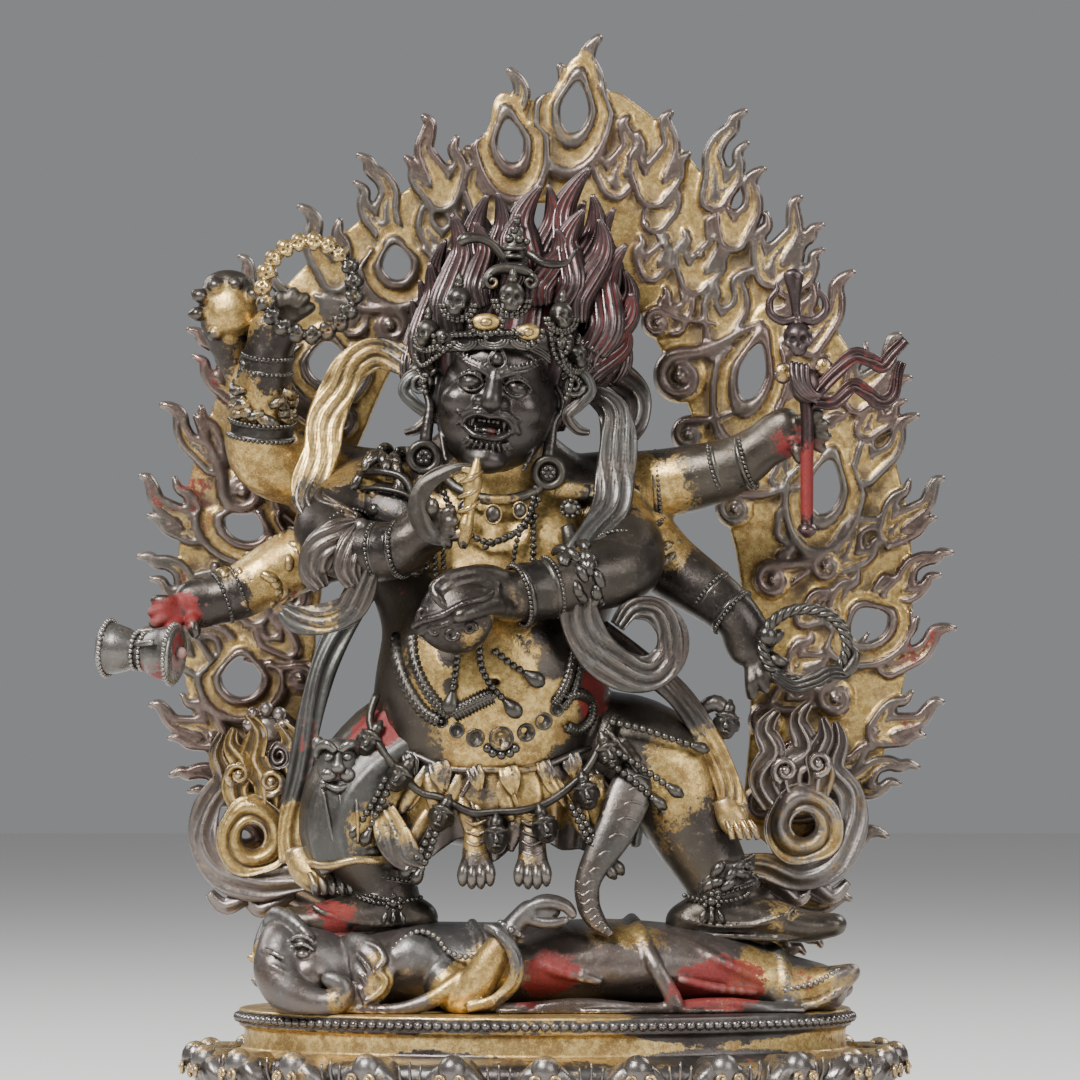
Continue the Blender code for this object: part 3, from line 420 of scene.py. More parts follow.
class Sum:
    """A socket in a shader, so that its maths reads as an expression."""

    def __init__(self, tree, socket):
        self.tree, self.socket = tree, socket

    def node(self, kind, inputs=(), output=0, **settings):
        node = self.tree.nodes.new(kind)
        for key, value in settings.items():
            setattr(node, key, value)
        for key, value in dict(inputs).items():
            if isinstance(value, Sum):
                self.tree.links.new(value.socket, node.inputs[key])
            elif value is not None:
                node.inputs[key].default_value = value
        return Sum(self.tree, node.outputs[output])

    def math(self, operation, *values):
        return self.node("ShaderNodeMath", dict(enumerate(values)), operation=operation)

    def __add__(self, other):
        return self.math("ADD", self, other)

    def __sub__(self, other):
        return self.math("SUBTRACT", self, other)

    def __rsub__(self, other):
        return self.math("SUBTRACT", other, self)

    def __mul__(self, other):
        return self.math("MULTIPLY", self, other)

    __radd__ = __add__
    __rmul__ = __mul__

    def ramp(self, low, high):
        """0 below low, 1 above high, smooth between."""
        return self.node("ShaderNodeMapRange", {0: self, 1: low, 2: high, 3: 0.0, 4: 1.0},
                         interpolation_type="SMOOTHSTEP", clamp=True)

    def colours(self, first, second):
        """From the first colour to the second as this goes from 0 to 1."""
        node = self.tree.nodes.new("ShaderNodeMix")
        node.data_type = "RGBA"
        self.tree.links.new(self.socket, node.inputs[0])
        for value, place in ((first, 6), (second, 7)):
            if isinstance(value, Sum):
                self.tree.links.new(value.socket, node.inputs[place])
            else:
                node.inputs[place].default_value = (*value, 1.0)
        return Sum(self.tree, node.outputs[2])


def patina(name, dark, tint=None, gold=(0.58, 0.42, 0.165), red=(0.2, 0.008, 0.006), cover=0.5, rough=0.36,
           grey=(0.085, 0.08, 0.074), metal=0.8, bump=0.35, edge=0.13, sunk=0.3):
    """Bronze with rubbed gilding where "gilt" says, pigment where "red" says, hollows dulled by dirt and darkened with
    painted shade, and proud edges lightened with a painted highlight.
    """
    material = bpy.data.materials.new(name)
    material.use_nodes = True
    tree = material.node_tree
    shader = tree.nodes["Principled BSDF"]
    start = Sum(tree, None)
    place = start.node("ShaderNodeTexCoord", output="Object")

    def noise(scale, detail=4.0, lacy=0.6):
        return start.node("ShaderNodeTexNoise", {"Vector": place, "Scale": scale, "Detail": detail,
                                                 "Roughness": lacy}, "Fac")

    def stored(key):
        return start.node("ShaderNodeAttribute", output="Fac", attribute_name=key)

    def shade(colour, *parts):
        return tuple(c * p for c, p in zip(colour, parts if len(parts) == 3 else parts * 3))

    gilt, pigment, hollow = stored("gilt"), stored("red"), stored("cavity")
    broad, mid, fine, speck = noise(24.0, 3.0), noise(120.0, 5.0, 0.65), noise(620.0, 4.0, 0.7), noise(2100.0, 2.0)
    base = (broad * 0.8 + mid * 0.2).ramp(0.4, 0.6).colours(dark, tint or shade(dark, 0.55))
    base = ((mid * 0.5 + fine * 0.5).ramp(0.5, 0.7) * 0.5).colours(base, grey)
    # gilding survives in flakes, most of it where gilt is near 1, and wears off first where the form stands proud
    flakes = gilt * 1.45 + (mid - 0.5) * 1.3 + (fine - 0.5) * 0.9 + (broad - 0.5) * 0.9 + hollow * 0.12 - (1.0 - cover)
    worn = flakes.ramp(0.46 - edge, 0.46 + edge)
    tone = fine.ramp(0.36, 0.64).colours(gold, shade(gold, 0.6, 0.52, 0.42))
    tone = ((mid * 0.7 + speck * 0.3).ramp(0.46, 0.62) * 0.85).colours(tone, shade(gold, 0.3, 0.24, 0.2))
    colour = worn.colours(base, tone)
    broken = pigment * 1.25 + (mid - 0.5) * 1.5 + (fine - 0.5) * 1.1 + hollow * sunk
    paint = broken.ramp(0.5, 0.72) * 0.92
    colour = paint.colours(colour, speck.ramp(0.35, 0.7).colours(red, shade(red, 0.45)))
    # dirt in the hollows makes them rougher and less metallic, and their colour is darkened towards deep bronze as
    # painted shade
    grime_and_painted_shade = (hollow * 1.1 + (mid - 0.5) * 0.5).ramp(0.1, 0.62)
    colour = (grime_and_painted_shade * 0.8).colours(colour, shade(dark, 0.26))
    # proud edges are a little smoother where rubbed, and their colour is lightened towards pale grey as a painted
    # highlight
    rubbed_edge_painted_highlight = ((0.0 - hollow) + (fine - 0.5) * 0.35).ramp(0.25, 0.95)
    colour = (rubbed_edge_painted_highlight * 0.3).colours(colour, shade(grey, 2.0, 1.95, 1.85))
    dusty = (speck * 0.55 + fine * 0.45).ramp(0.56, 0.7) * 0.3
    colour = dusty.colours(colour, shade(grey, 1.7, 1.6, 1.4))
    tree.links.new(colour.socket, shader.inputs["Base Color"])
    roughness = rough + (mid - 0.5) * 0.5 + (broad - 0.5) * 0.3 + paint * 0.3 + grime_and_painted_shade * 0.35 - rubbed_edge_painted_highlight * 0.1 + dusty * 0.3
    tree.links.new(roughness.socket, shader.inputs["Roughness"])
    metallic = metal - paint * 0.65 - grime_and_painted_shade * 0.4 - dusty * 0.9
    tree.links.new(metallic.socket, shader.inputs["Metallic"])
    relief = fine * 0.6 + mid * 0.5 + worn * 0.3 + speck * 0.15
    bumped = start.node("ShaderNodeBump", {"Strength": bump, "Distance": 0.0006, "Height": relief}, "Normal")
    tree.links.new(bumped.socket, shader.inputs["Normal"])
    return material


# ---- aureole

AUREOLE_Y = 27.0
AUREOLE_CENTRE = (0.0, 168.0)
OPENING_CENTRE = (-4.0, 150.0)
OPENING_HALF = (66.0, 152.0)
AUREOLE_FEET = (62.0, 10.0)
PLINTH_TOP = 58.0
GAP = 0.35

# Openings between the flames: (x, z, half width, half height, lean in degrees)
FLAME_HOLES = [
    (9.0, 329.0, 4.2, 7.5, 8), (-10.5, 319.0, 3.8, 6.5, -8), (-45.0, 282.0, 4.2, 5.0, -8),
    (-66.0, 252.0, 5.6, 6.0, 0), (-91.0, 202.5, 6.0, 4.5, 20), (-92.0, 156.5, 6.0, 6.0, 0),
    (63.0, 249.0, 4.0, 8.5, 14), (85.0, 214.0, 4.6, 8.0, 10), (98.0, 172.5, 6.0, 5.0, -30),
]

# Comma scrolls: (x, z, size, angle at which the tail comes in, handedness)
SCROLLS = [
    (41.0, 247.6, 8.6, 0, -1), (43.5, 230.0, 5.6, 10, -1), (34.0, 264.0, 5.2, 35, -1), (57.5, 207.5, 6.2, 15, -1),
    (69.0, 186.0, 6.2, 10, -1), (85.0, 190.0, 5.0, 330, -1), (88.0, 150.0, 6.4, 330, -1), (67.0, 143.0, 5.8, 20, -1),
    (-91.5, 213.0, 7.8, 270, -1), (-47.0, 263.0, 6.6, 350, 1), (-62.0, 234.0, 5.6, 345, 1),
    (-77.0, 181.0, 6.4, 340, 1),
    (-75.0, 130.0, 6.2, 340, 1), (-74.0, 156.0, 5.2, 345, 1), (66.0, 118.0, 5.8, 20, -1),
]

# Studs on the plate: (x, z, radius)
STUDS = [(36.3, 287.7, 1.7), (46.8, 284.7, 1.6), (51.5, 289.5, 1.3), (54.0, 285.0, 1.2), (30.5, 293.5, 1.5),
         (-33.0, 286.0, 1.4),
         (-100.0, 190.0, 1.5), (104.0, 196.0, 1.5), (100.0, 140.0, 1.4), (-101.0, 138.0, 1.4)]

# Flames: strokes as (u, v, half width) from root to tip, across in widths and up in lengths
FLAMES = [
    [[(0.02, 0.14, 0.28), (0.1, 0.32, 0.27), (0.2, 0.5, 0.22), (0.16, 0.66, 0.185), (0.04, 0.8, 0.155),
      (0.1, 0.92, 0.115),
      (0.22, 1.0, 0.075)],
     [(-0.04, 0.14, 0.28), (-0.2, 0.3, 0.24), (-0.33, 0.46, 0.17), (-0.3, 0.6, 0.13), (-0.4, 0.73, 0.07)]],
    [[(0.0, 0.14, 0.3), (-0.02, 0.32, 0.26), (0.1, 0.5, 0.22), (0.18, 0.66, 0.18), (0.08, 0.82, 0.15),
      (0.02, 0.93, 0.11),
      (0.1, 1.0, 0.07)],
     [(-0.12, 0.16, 0.24), (-0.3, 0.32, 0.2), (-0.4, 0.48, 0.14), (-0.32, 0.62, 0.11), (-0.4, 0.74, 0.06)],
     [(0.18, 0.2, 0.2), (0.38, 0.36, 0.14), (0.4, 0.5, 0.1), (0.5, 0.6, 0.06)]],
    [[(0.04, 0.14, 0.28), (0.0, 0.34, 0.25), (-0.12, 0.52, 0.2), (-0.06, 0.68, 0.17), (0.1, 0.8, 0.145),
      (0.12, 0.9, 0.11),
      (0.26, 0.98, 0.07)],
     [(0.1, 0.16, 0.24), (0.3, 0.32, 0.19), (0.36, 0.48, 0.13), (0.3, 0.6, 0.1), (0.42, 0.7, 0.06)]],
]

# Flame tips round the outside: (angle from straight up, distance from the aureole's centre, length)
TIPS = [
    (5.1, 183, 34), (13.4, 164, 29), (20.7, 171, 33), (24.9, 157, 26), (30, 154.5, 29), (33.8, 151, 25),
    (40, 145, 29),
    (49.3, 141.5, 28), (54.4, 136, 24), (59, 131.5, 27), (68, 130, 27), (78, 126, 26), (88.5, 124, 26), (99, 122, 25),
    (109, 119.5, 25), (120, 119.5, 25), (130.5, 121.5, 24), (138, 125, 18), (-3.5, 172.5, 34), (-13, 162.5, 29),
    (-21, 157, 28),
    (-29.5, 150.6, 28), (-38.5, 148, 29), (-49, 143, 28), (-58.5, 136, 27), (-68, 132, 27), (-78.5, 125.5, 26),
    (-89, 123, 25), (-99.5, 121, 25), (-110, 120.5, 25), (-120.5, 119.5, 25), (-131, 121.5, 24), (-139, 125.5, 18),
]


def aureole_reach(angle):
    """Distance from the aureole's centre to its flame tips, at an angle in degrees from straight up."""
    return 122.0 + 37.0 * math.exp(-(angle / 60) ** 2) + 25 * math.exp(-((angle - 5) / 13) ** 2)


def opening_edge(height):
    share = (height - OPENING_CENTRE[1]) / OPENING_HALF[1]
    return OPENING_HALF[0] * max(0.0, 1 - share * share) ** 0.8


def opening_reach(angle):
    turn = math.radians(angle)
    reach = 0.0
    inside = True
    while inside:
        reach += 0.5
        x = AUREOLE_CENTRE[0] + reach * math.sin(turn)
        z = AUREOLE_CENTRE[1] + reach * math.cos(turn)
        inside = abs(x - OPENING_CENTRE[0]) < opening_edge(z)
    return reach


def aureole_point(angle, share):
    reach = opening_reach(angle) * (1 - share) + aureole_reach(angle) * share
    turn = math.radians(angle)
    return np.array((AUREOLE_CENTRE[0] + reach * math.sin(turn), AUREOLE_CENTRE[1] + reach * math.cos(turn)))


class Relief:
    """A flat work seen from the front: distances to its outline, heights, and how gilt it is."""

    def __init__(self, low, high, step):
        self.low, self.step = np.array(low, float), step
        self.shape = tuple(int((h - l) / step) + 1 for l, h in zip(low, high))
        self.outline = np.full(self.shape, 9.0)
        self.height = np.zeros(self.shape)
        self.gilt = np.ones(self.shape)

    def window(self, low, high):
        a = np.maximum(np.floor((np.asarray(low) - self.low) / self.step).astype(int), 0)
        b = np.minimum(np.ceil((np.asarray(high) - self.low) / self.step).astype(int) + 1, self.shape)
        w = tuple(slice(i, max(j, i)) for i, j in zip(a, b))
        axes = [self.low[k] + self.step * np.arange(s.start, s.stop) for k, s in enumerate(w)]
        return w, np.meshgrid(*axes, indexing="ij", sparse=True)

    def stroke(self, rows, x, z):
        """Distance to a stroke whose width changes along it, and its half width there."""
        best = np.full(np.broadcast_shapes(x.shape, z.shape), 99.0)
        girth = np.ones_like(best)
        for a, b in zip(rows, rows[1:]):
            ab = b[:2] - a[:2]
            t = np.clip(((x - a[0]) * ab[0] + (z - a[1]) * ab[1]) / max(ab @ ab, 1e-9), 0, 1)
            half = a[2] + t * (b[2] - a[2])
            d = np.hypot(x - a[0] - t * ab[0], z - a[1] - t * ab[1]) - half
            girth = np.where(d < best, half, girth)
            best = np.minimum(best, d)
        return best, girth

    def set(self, w, where, height, gilt):
        self.height[w] = np.where(where, height, self.height[w])
        self.gilt[w] = np.where(where, gilt, self.gilt[w])

    def leaf(self, strokes, level, rim=1.3, inner=False):
        """Strokes joined into one leaf with a round rim about a hollow, painted over what lies below."""
        rows = [smoothed(s, 5) for s in strokes]
        every = np.concatenate(rows)
        w, (x, z) = self.window(every[:, :2].min(0) - 9, every[:, :2].max(0) + 9)
        d = None
        for r in rows:
            e = self.stroke(r, x, z)[0]
            if d is None:
                d = e
            else:
                h = np.clip(0.5 + 0.5 * (d - e) / 1.6, 0, 1)
                d = d * (1 - h) + e * h - 1.6 * h * (1 - h)
        self.outline[w] = np.minimum(self.outline[w], d)
        deep = np.maximum(-d, 0)
        lift = rim * np.sqrt(np.clip(1 - ((deep - rim) / rim) ** 2, 0, 1))
        hollow = np.clip((deep - 1.6 * rim) / (0.5 * rim), 0, 1)
        if inner:
            line = np.clip(1 - ((deep - 4.1) / 0.8) ** 2, 0, 1)
            lift = np.maximum(lift, 0.9 * np.sqrt(line))
            hollow = hollow * (1 - 0.8 * (line > 0))
        self.set(w, d < 0, level + lift, hollow)

    def cord(self, rows, level, gilt=0.0):
        """A round ridge along rows of (x, z, half width)."""
        w, (x, z) = self.window(rows[:, :2].min(0) - 4, rows[:, :2].max(0) + 4)
        d, girth = self.stroke(rows, x, z)
        height = np.where(d < 0, level + 0.85 * girth * np.sqrt(np.clip(1 - ((d + girth) / girth) ** 2, 0, 1)), -9)
        self.set(w, height > self.height[w], height, gilt)
        self.outline[w] = np.minimum(self.outline[w], d)

    def stud(self, x0, z0, radius, level, gilt=0.0):
        w, (x, z) = self.window((x0 - radius, z0 - radius), (x0 + radius, z0 + radius))
        away = np.hypot(x - x0, z - z0)
        self.set(w, away < radius, level + np.sqrt(np.clip(radius ** 2 - away ** 2, 0, None)), gilt)


def teardrop_distance(x, z, cx, cz, wide, tall, lean):
    """About the distance to an opening that is round below and drawn to a point above."""
    turn = math.radians(lean)
    u = (x - cx) * math.cos(turn) - (z - cz) * math.sin(turn)
    v = (x - cx) * math.sin(turn) + (z - cz) * math.cos(turn)
    pinch = 1 - 0.35 * np.clip(v / tall, 0, 1)
    k = np.hypot(u / (wide * pinch), v / tall)
    return (k - 1) * min(wide, tall)


def set_flame(relief, tip, angle, length, width, level, kind, inner=False):
    """A flame whose tip is at a point (x, z), leaning out and up."""
    out = np.array((math.sin(math.radians(angle)), math.cos(math.radians(angle))))
    lean = unit(out + np.array((0.0, 0.75)))
    side = np.array((lean[1], -lean[0])) * (1 if angle >= 0 else -1)
    strokes = FLAMES[kind]
    u, v, _ = strokes[0][-1]
    base = np.asarray(tip) - side * (u * width) - lean * (v * length)
    relief.leaf([[(*(base + side * (u * width) + lean * (v * length)), h * width) for u, v, h in stroke]
                 for stroke in strokes], level, inner=inner)


def along_ring(share, pitch, first):
    """Angles on both sides of the top at which places on the aureole are a pitch apart."""
    out = []
    for hand in (-1, 1):
        angle = first
        while angle < 127:
            out.append(hand * angle)
            angle += math.degrees(pitch / np.linalg.norm(aureole_point(hand * angle, share) - AUREOLE_CENTRE))
    return sorted(out, key=abs)


def comma(relief, cx, cz, size, start, hand):
    """A fat cord that comes in by a tail and rolls up round a ball."""
    rows = []
    a = math.radians(start)
    first = np.array((cx + size * 0.78 * math.sin(a), cz + size * 0.78 * math.cos(a)))
    back = -hand * np.array((math.cos(a), -math.sin(a)))
    out = np.array((math.sin(a), math.cos(a)))
    for far, lift, girth in ((2.9, 1.1, 0.1), (2.1, 0.75, 0.17), (1.4, 0.35, 0.22), (0.7, 0.08, 0.27)):
        rows.append((*(first + back * size * far + out * size * lift), size * girth))
    for k in range(16):
        share = k / 15
        b = a + hand * 2 * math.pi * 1.02 * share
        reach = size * (0.78 - 0.4 * share)
        rows.append((cx + reach * math.sin(b), cz + reach * math.cos(b), size * (0.29 - 0.1 * share)))
    w, (x, z) = relief.window((cx - 12, cz - 12), (cx + 12, cz + 12))
    disc = np.hypot(x - cx, z - cz) - size * 0.95
    relief.outline[w] = np.minimum(relief.outline[w], disc)
    relief.set(w, disc < 0, 1.2, 0.9)
    relief.cord(smoothed(rows, 3), 1.3)
    relief.stud(cx, cz, size * 0.3, 1.7)


def build_aureole(quick):
    step = 0.9 if quick else 0.52
    relief = Relief((-129, 57), (129, 356), step)
    w, (x, z) = relief.window(relief.low, (129, 356))
    # the plate behind the flames, with its two feet
    turn = np.degrees(np.arctan2(x - AUREOLE_CENTRE[0], z - AUREOLE_CENTRE[1]))
    reach = np.hypot(x - AUREOLE_CENTRE[0], z - AUREOLE_CENTRE[1])
    angles = np.arange(-180, 181, 4)
    inner = np.interp(turn, angles, [opening_reach(a) for a in angles])
    outer = np.interp(turn, angles, [aureole_reach(a) for a in angles])
    plate = np.maximum(inner - reach, reach - (outer - 15.0))
    plate = np.where(np.abs(turn) > 133, 9.0, plate)
    for hand in (-1, 1):
        foot, half = AUREOLE_FEET
        leg = np.abs(x - hand * (foot + (z - 60) * 0.12)) - half - 0.05 * (z - 60)
        plate = np.minimum(plate, np.maximum(leg, z - 92))
    relief.outline = np.minimum(relief.outline, plate)
    relief.height += 0.55 * np.sin(x / 5.5 + 1.4 * np.sin(z / 9.0)) * np.cos(z / 6.5 + np.sin(x / 8.0))
    centre = np.array(AUREOLE_CENTRE)
    for share, pitch, first, length, width in ((0.42, 15.0, 16.0, 17.0, 13.0), (0.68, 17.5, 9.0, 24.0, 16.5)):
        for k, angle in enumerate(along_ring(share, pitch, first)):
            tip = aureole_point(angle, share + 0.04 * (k % 3 - 1))
            middle = tip - unit(tip - centre) * length * 0.55
            crowded = [math.hypot(middle[0] - f[0], middle[1] - f[1]) < 10.5 for f in FLAME_HOLES]
            crowded += [math.hypot(middle[0] - f[0], middle[1] - f[1]) < f[2] + 1.0 for f in SCROLLS]
            if not any(crowded):
                set_flame(relief, tip, angle, length, width, 0.45 + 0.25 * (k % 2), k % 3, k % 2 == 1)
    for k in sorted(range(len(TIPS)), key=lambda k: -abs(TIPS[k][0] - 3)):
        angle, reach, length = TIPS[k]
        a = math.radians(angle)
        width = 14.6 + 3.5 * math.exp(-(angle / 35) ** 2)
        set_flame(relief, centre + reach * np.array((math.sin(a), math.cos(a))), angle, length, width,
                  0.7 + 0.35 * (k % 2), k % 3, k % 2 == 0)
    for cx, cz, wide, tall, lean in FLAME_HOLES:
        w, (x, z) = relief.window((cx - 20, cz - 22), (cx + 20, cz + 22))
        d = teardrop_distance(x, z, cx, cz, wide, tall, lean)
        for low, girth, base, gilt in ((5.8, 1.3, 1.3, 0.1), (0.0, 1.5, 1.4, 0.15)):
            ring = girth * np.sqrt(np.clip(1 - ((d - low - girth) / girth) ** 2, 0, 1))
            open_top = (z < cz + tall * 0.9) | (low == 0.0)
            relief.set(w, (d >= low) & (d < low + 2 * girth) & open_top, base + ring, gilt)
        relief.set(w, (d >= 3.0) & (d < 5.8), 0.9, 1.0)
        relief.outline[w] = np.maximum(np.minimum(relief.outline[w], d - 5.0), -d)
    for scroll in SCROLLS:
        comma(relief, *scroll)
    for x0, z0, radius in STUDS:
        relief.stud(x0, z0, radius, 1.0)
    height = relief.height
    for _ in range(2 if step < 0.7 else 1):
        pad = np.pad(height, 1, mode="edge")
        height = (pad[:-2, 1:-1] + pad[2:, 1:-1] + pad[1:-1, :-2] + pad[1:-1, 2:] + 2 * height) / 6
    field = Field((-129, AUREOLE_Y - 8.0, 57), (129, AUREOLE_Y + 3.0, 356), step)
    y = (field.low[1] + step * np.arange(field.shape[1], dtype=np.float32))[None, :, None]
    n0, n2 = min(field.shape[0], height.shape[0]), min(field.shape[2], height.shape[1])
    front = (AUREOLE_Y - 1.2 - height[:n0, :n2])[:, None, :].astype(np.float32) - y
    back = y - AUREOLE_Y - 1.8
    flat = relief.outline[:n0, :n2][:, None, :].astype(np.float32)
    block = np.maximum(np.maximum(front, back), flat)
    # edges rounded a little
    solid = np.maximum(block, (np.maximum(front, flat) + 0.9 + np.minimum(front, flat)) * 0.5)
    field.value[:n0, :, :n2] = np.maximum(solid, 0) + np.minimum(block, 0)
    field.above(PLINTH_TOP + GAP)
    verts, faces = field.skin()
    made = mesh_object("flame_aureole_relief", verts, faces, FACES["flame_aureole_relief"])
    co, normal = cavity(made, 4, 1.3)
    i = np.clip(((co[:, 0] - relief.low[0]) / step).round().astype(int), 0, relief.shape[0] - 1)
    k = np.clip(((co[:, 2] - relief.low[1]) / step).round().astype(int), 0, relief.shape[1] - 1)
    gilt = np.where(normal[:, 1] < -0.2, relief.gilt[i, k], 0.25)
    attribute(made, "gilt", gilt * np.where(co[:, 0] < -30, 0.66, 0.78) + np.where(co[:, 0] < -30, 0.1, 0.22))
    attribute(made, "red", spots(co, [(-114, 25, 216, 16, 0.42), (-106, 25, 254, 16, 0.36), (119, 25, 165, 14, 0.42),
                                      (-116, 25, 176, 14, 0.34), (112, 25, 135, 12, 0.3), (-86, 25, 288, 14, 0.3)],
                                      0.1))
    return made


# ---- helpers for the figures


def spots(co, marks, base=0.0):
    """A value at each point: a base, and more of it round each mark (x, y, z, reach, strength)."""
    value = np.full(len(co), base, float)
    for x, y, z, reach, strength in marks:
        away = ((co - (x, y, z)) ** 2).sum(1) / reach ** 2
        value += strength * np.exp(-away)
    return value


def coloured(made, gilt=(), red=(), gilt_base=0.2, red_base=0.0, rounds=3, gain=1.0):
    """Stores where a piece is gilt and where it is painted red; a form's own tag adds to its gilding."""
    co = cavity(made, rounds, gain)[0]
    own = np.zeros(len(co), np.float32)
    tag = made.data.attributes.get("tag")
    if tag:
        tag.data.foreach_get("value", own)
    attribute(made, "gilt", spots(co, gilt, gilt_base) + 0.55 * own)
    attribute(made, "red", spots(co, red, red_base))
    return made


def spiral_rows(centre, size, turns, start, hand, thick, depth=None, inner=0.3, steps=None, rise=0.0):
    steps = steps or max(8, int(12 * turns))
    rows = []
    for k in range(steps + 1):
        share = k / steps
        a = math.radians(start) + hand * 2 * math.pi * turns * share
        out = size * (1 - (1 - inner) * share)
        girth = thick * (1 - 0.35 * share)
        rows.append((centre[0] + out * math.sin(a), centre[1] - rise * share, centre[2] + out * math.cos(a),
                     girth, (depth or thick) * (1 - 0.2 * share)))
    return rows


def template(field, triangles):
    """A small form as points and four-number faces, for use many times over."""
    verts, faces = field.skin()
    made = mesh_object("template", verts, faces, triangles)
    made.data.calc_loop_triangles()
    n = len(made.data.loop_triangles)
    tri = np.zeros(n * 3, np.int32)
    made.data.loop_triangles.foreach_get("vertices", tri)
    co = read(made.data, "vertices", len(made.data.vertices)) / MM
    tri = tri.reshape(-1, 3)
    bpy.data.objects.remove(made, do_unlink=True)
    return co.astype(float), np.concatenate([tri, tri[:, :1]], 1)


def placed(form, centre, size=1.0, turn=0.0, yaw=0.0, tip=0.0):
    """A form at a centre: turned about Y, yawed about Z and tipped about X, in degrees."""
    verts, faces = form
    a, b, c = math.radians(turn), math.radians(yaw), math.radians(tip)
    about_x = np.array([(1, 0, 0), (0, math.cos(c), -math.sin(c)), (0, math.sin(c), math.cos(c))])
    about_y = np.array([(math.cos(a), 0, math.sin(a)), (0, 1, 0), (-math.sin(a), 0, math.cos(a))])
    about_z = np.array([(math.cos(b), -math.sin(b), 0), (math.sin(b), math.cos(b), 0), (0, 0, 1)])
    return verts * size @ (about_z @ about_y @ about_x).T + np.asarray(centre), faces


def skull_form(triangles):
    """A skull about 10 mm tall that faces the front."""
    f = Field((-6, -6.5, -7), (6, 6.5, 6.5), 0.36)
    f.ball((0, 0.3, 1.2), (4.7, 5.0, 4.6), 0)
    f.ball((0, -2.6, -3.0), (2.8, 2.4, 2.6), 1.6)
    for side in (-1, 1):
        f.ball((side * 3.0, -2.6, -1.2), (1.5, 1.6, 1.3), 1.0)
        f.ball((side * 1.9, -4.7, 0.2), (1.35, 1.7, 1.25), 0.4, carve=True)
    f.ball((0, -5.2, -1.9), (0.65, 1.2, 0.8), 0.3, carve=True)
    f.loft([(-2.4, -4.3, -3.9, 0.3, 0.5), (0, -5.4, -4.0, 0.35, 0.5), (2.4, -4.3, -3.9, 0.3, 0.5)], 0.2, carve=True)
    return template(f, triangles)


def mask_form(triangles):
    """A small head with its hair tied up, eyes closed, about 13 mm tall."""
    f = Field((-6, -6.5, -7.5), (6, 6.5, 9.5), 0.4)
    f.ball((0, 0, 0), (4.3, 4.4, 5.2), 0)
    f.ball((0, -1.2, -3.4), (2.9, 2.9, 2.6), 1.5)
    f.loft([(0, -4.2, 1.2, 0.6, 0.7), (0, -5.4, -1.0, 1.0, 0.9)], 0.7)
    for side in (-1, 1):
        f.ball((side * 1.8, -3.7, 0.8), (1.2, 0.8, 0.75), 0.3)
        f.loft([(side * 0.7, -4.3, 2.2, 0.4, 0.5), (side * 3.0, -3.4, 2.5, 0.35, 0.45)], 0.3)
        f.ball((side * 4.3, 0, -0.4), (0.8, 1.2, 2.0), 0.5)
    f.loft([(-1.5, -4.0, -2.9, 0.45, 0.6), (0, -4.7, -2.7, 0.55, 0.7), (1.5, -4.0, -2.9, 0.45, 0.6)], 0.3)
    f.loft([(-3.9, -2.2, 2.6, 0.6, 0.9), (0, -4.0, 3.6, 0.7, 0.9), (3.9, -2.2, 2.6, 0.6, 0.9)], 0.4)
    f.ball((0, 0.4, 5.6), (2.4, 2.4, 2.2), 0.8)
    f.ball((0, 0.4, 7.6), (1.2, 1.2, 1.4), 0.5)
    return template(f, triangles)


def bead_tree():
    """Geometry Nodes: round beads at even steps along the curves that come in."""
    tree = bpy.data.node_groups.new("beads_on_cords", "GeometryNodeTree")
    tree.interface.new_socket("Cords", in_out="INPUT", socket_type="NodeSocketGeometry")
    for label, value in (("Bead radius", 0.001), ("Bead pitch", 0.002), ("Bead squash", 1.0)):
        socket = tree.interface.new_socket(label, in_out="INPUT", socket_type="NodeSocketFloat")
        socket.default_value = value
    tree.interface.new_socket("Finish", in_out="INPUT", socket_type="NodeSocketMaterial")
    tree.interface.new_socket("Beads", in_out="OUTPUT", socket_type="NodeSocketGeometry")
    nodes, links = tree.nodes, tree.links
    enter, leave = nodes.new("NodeGroupInput"), nodes.new("NodeGroupOutput")
    spots_ = nodes.new("GeometryNodeCurveToPoints")
    spots_.mode = "LENGTH"
    links.new(enter.outputs["Cords"], spots_.inputs["Curve"])
    links.new(enter.outputs["Bead pitch"], spots_.inputs["Length"])
    bead = nodes.new("GeometryNodeMeshUVSphere")
    bead.inputs["Segments"].default_value = 8
    bead.inputs["Rings"].default_value = 4
    links.new(enter.outputs["Bead radius"], bead.inputs["Radius"])
    stretch = nodes.new("ShaderNodeCombineXYZ")
    stretch.inputs["X"].default_value = 1.0
    stretch.inputs["Y"].default_value = 1.0
    links.new(enter.outputs["Bead squash"], stretch.inputs["Z"])
    sow = nodes.new("GeometryNodeInstanceOnPoints")
    links.new(spots_.outputs["Points"], sow.inputs["Points"])
    links.new(bead.outputs["Mesh"], sow.inputs["Instance"])
    links.new(spots_.outputs["Rotation"], sow.inputs["Rotation"])
    links.new(stretch.outputs["Vector"], sow.inputs["Scale"])
    real = nodes.new("GeometryNodeRealizeInstances")
    links.new(sow.outputs["Instances"], real.inputs["Geometry"])
    finish = nodes.new("GeometryNodeSetMaterial")
    links.new(real.outputs["Geometry"], finish.inputs["Geometry"])
    links.new(enter.outputs["Finish"], finish.inputs["Material"])
    links.new(finish.outputs["Geometry"], leave.inputs["Beads"])
    return tree


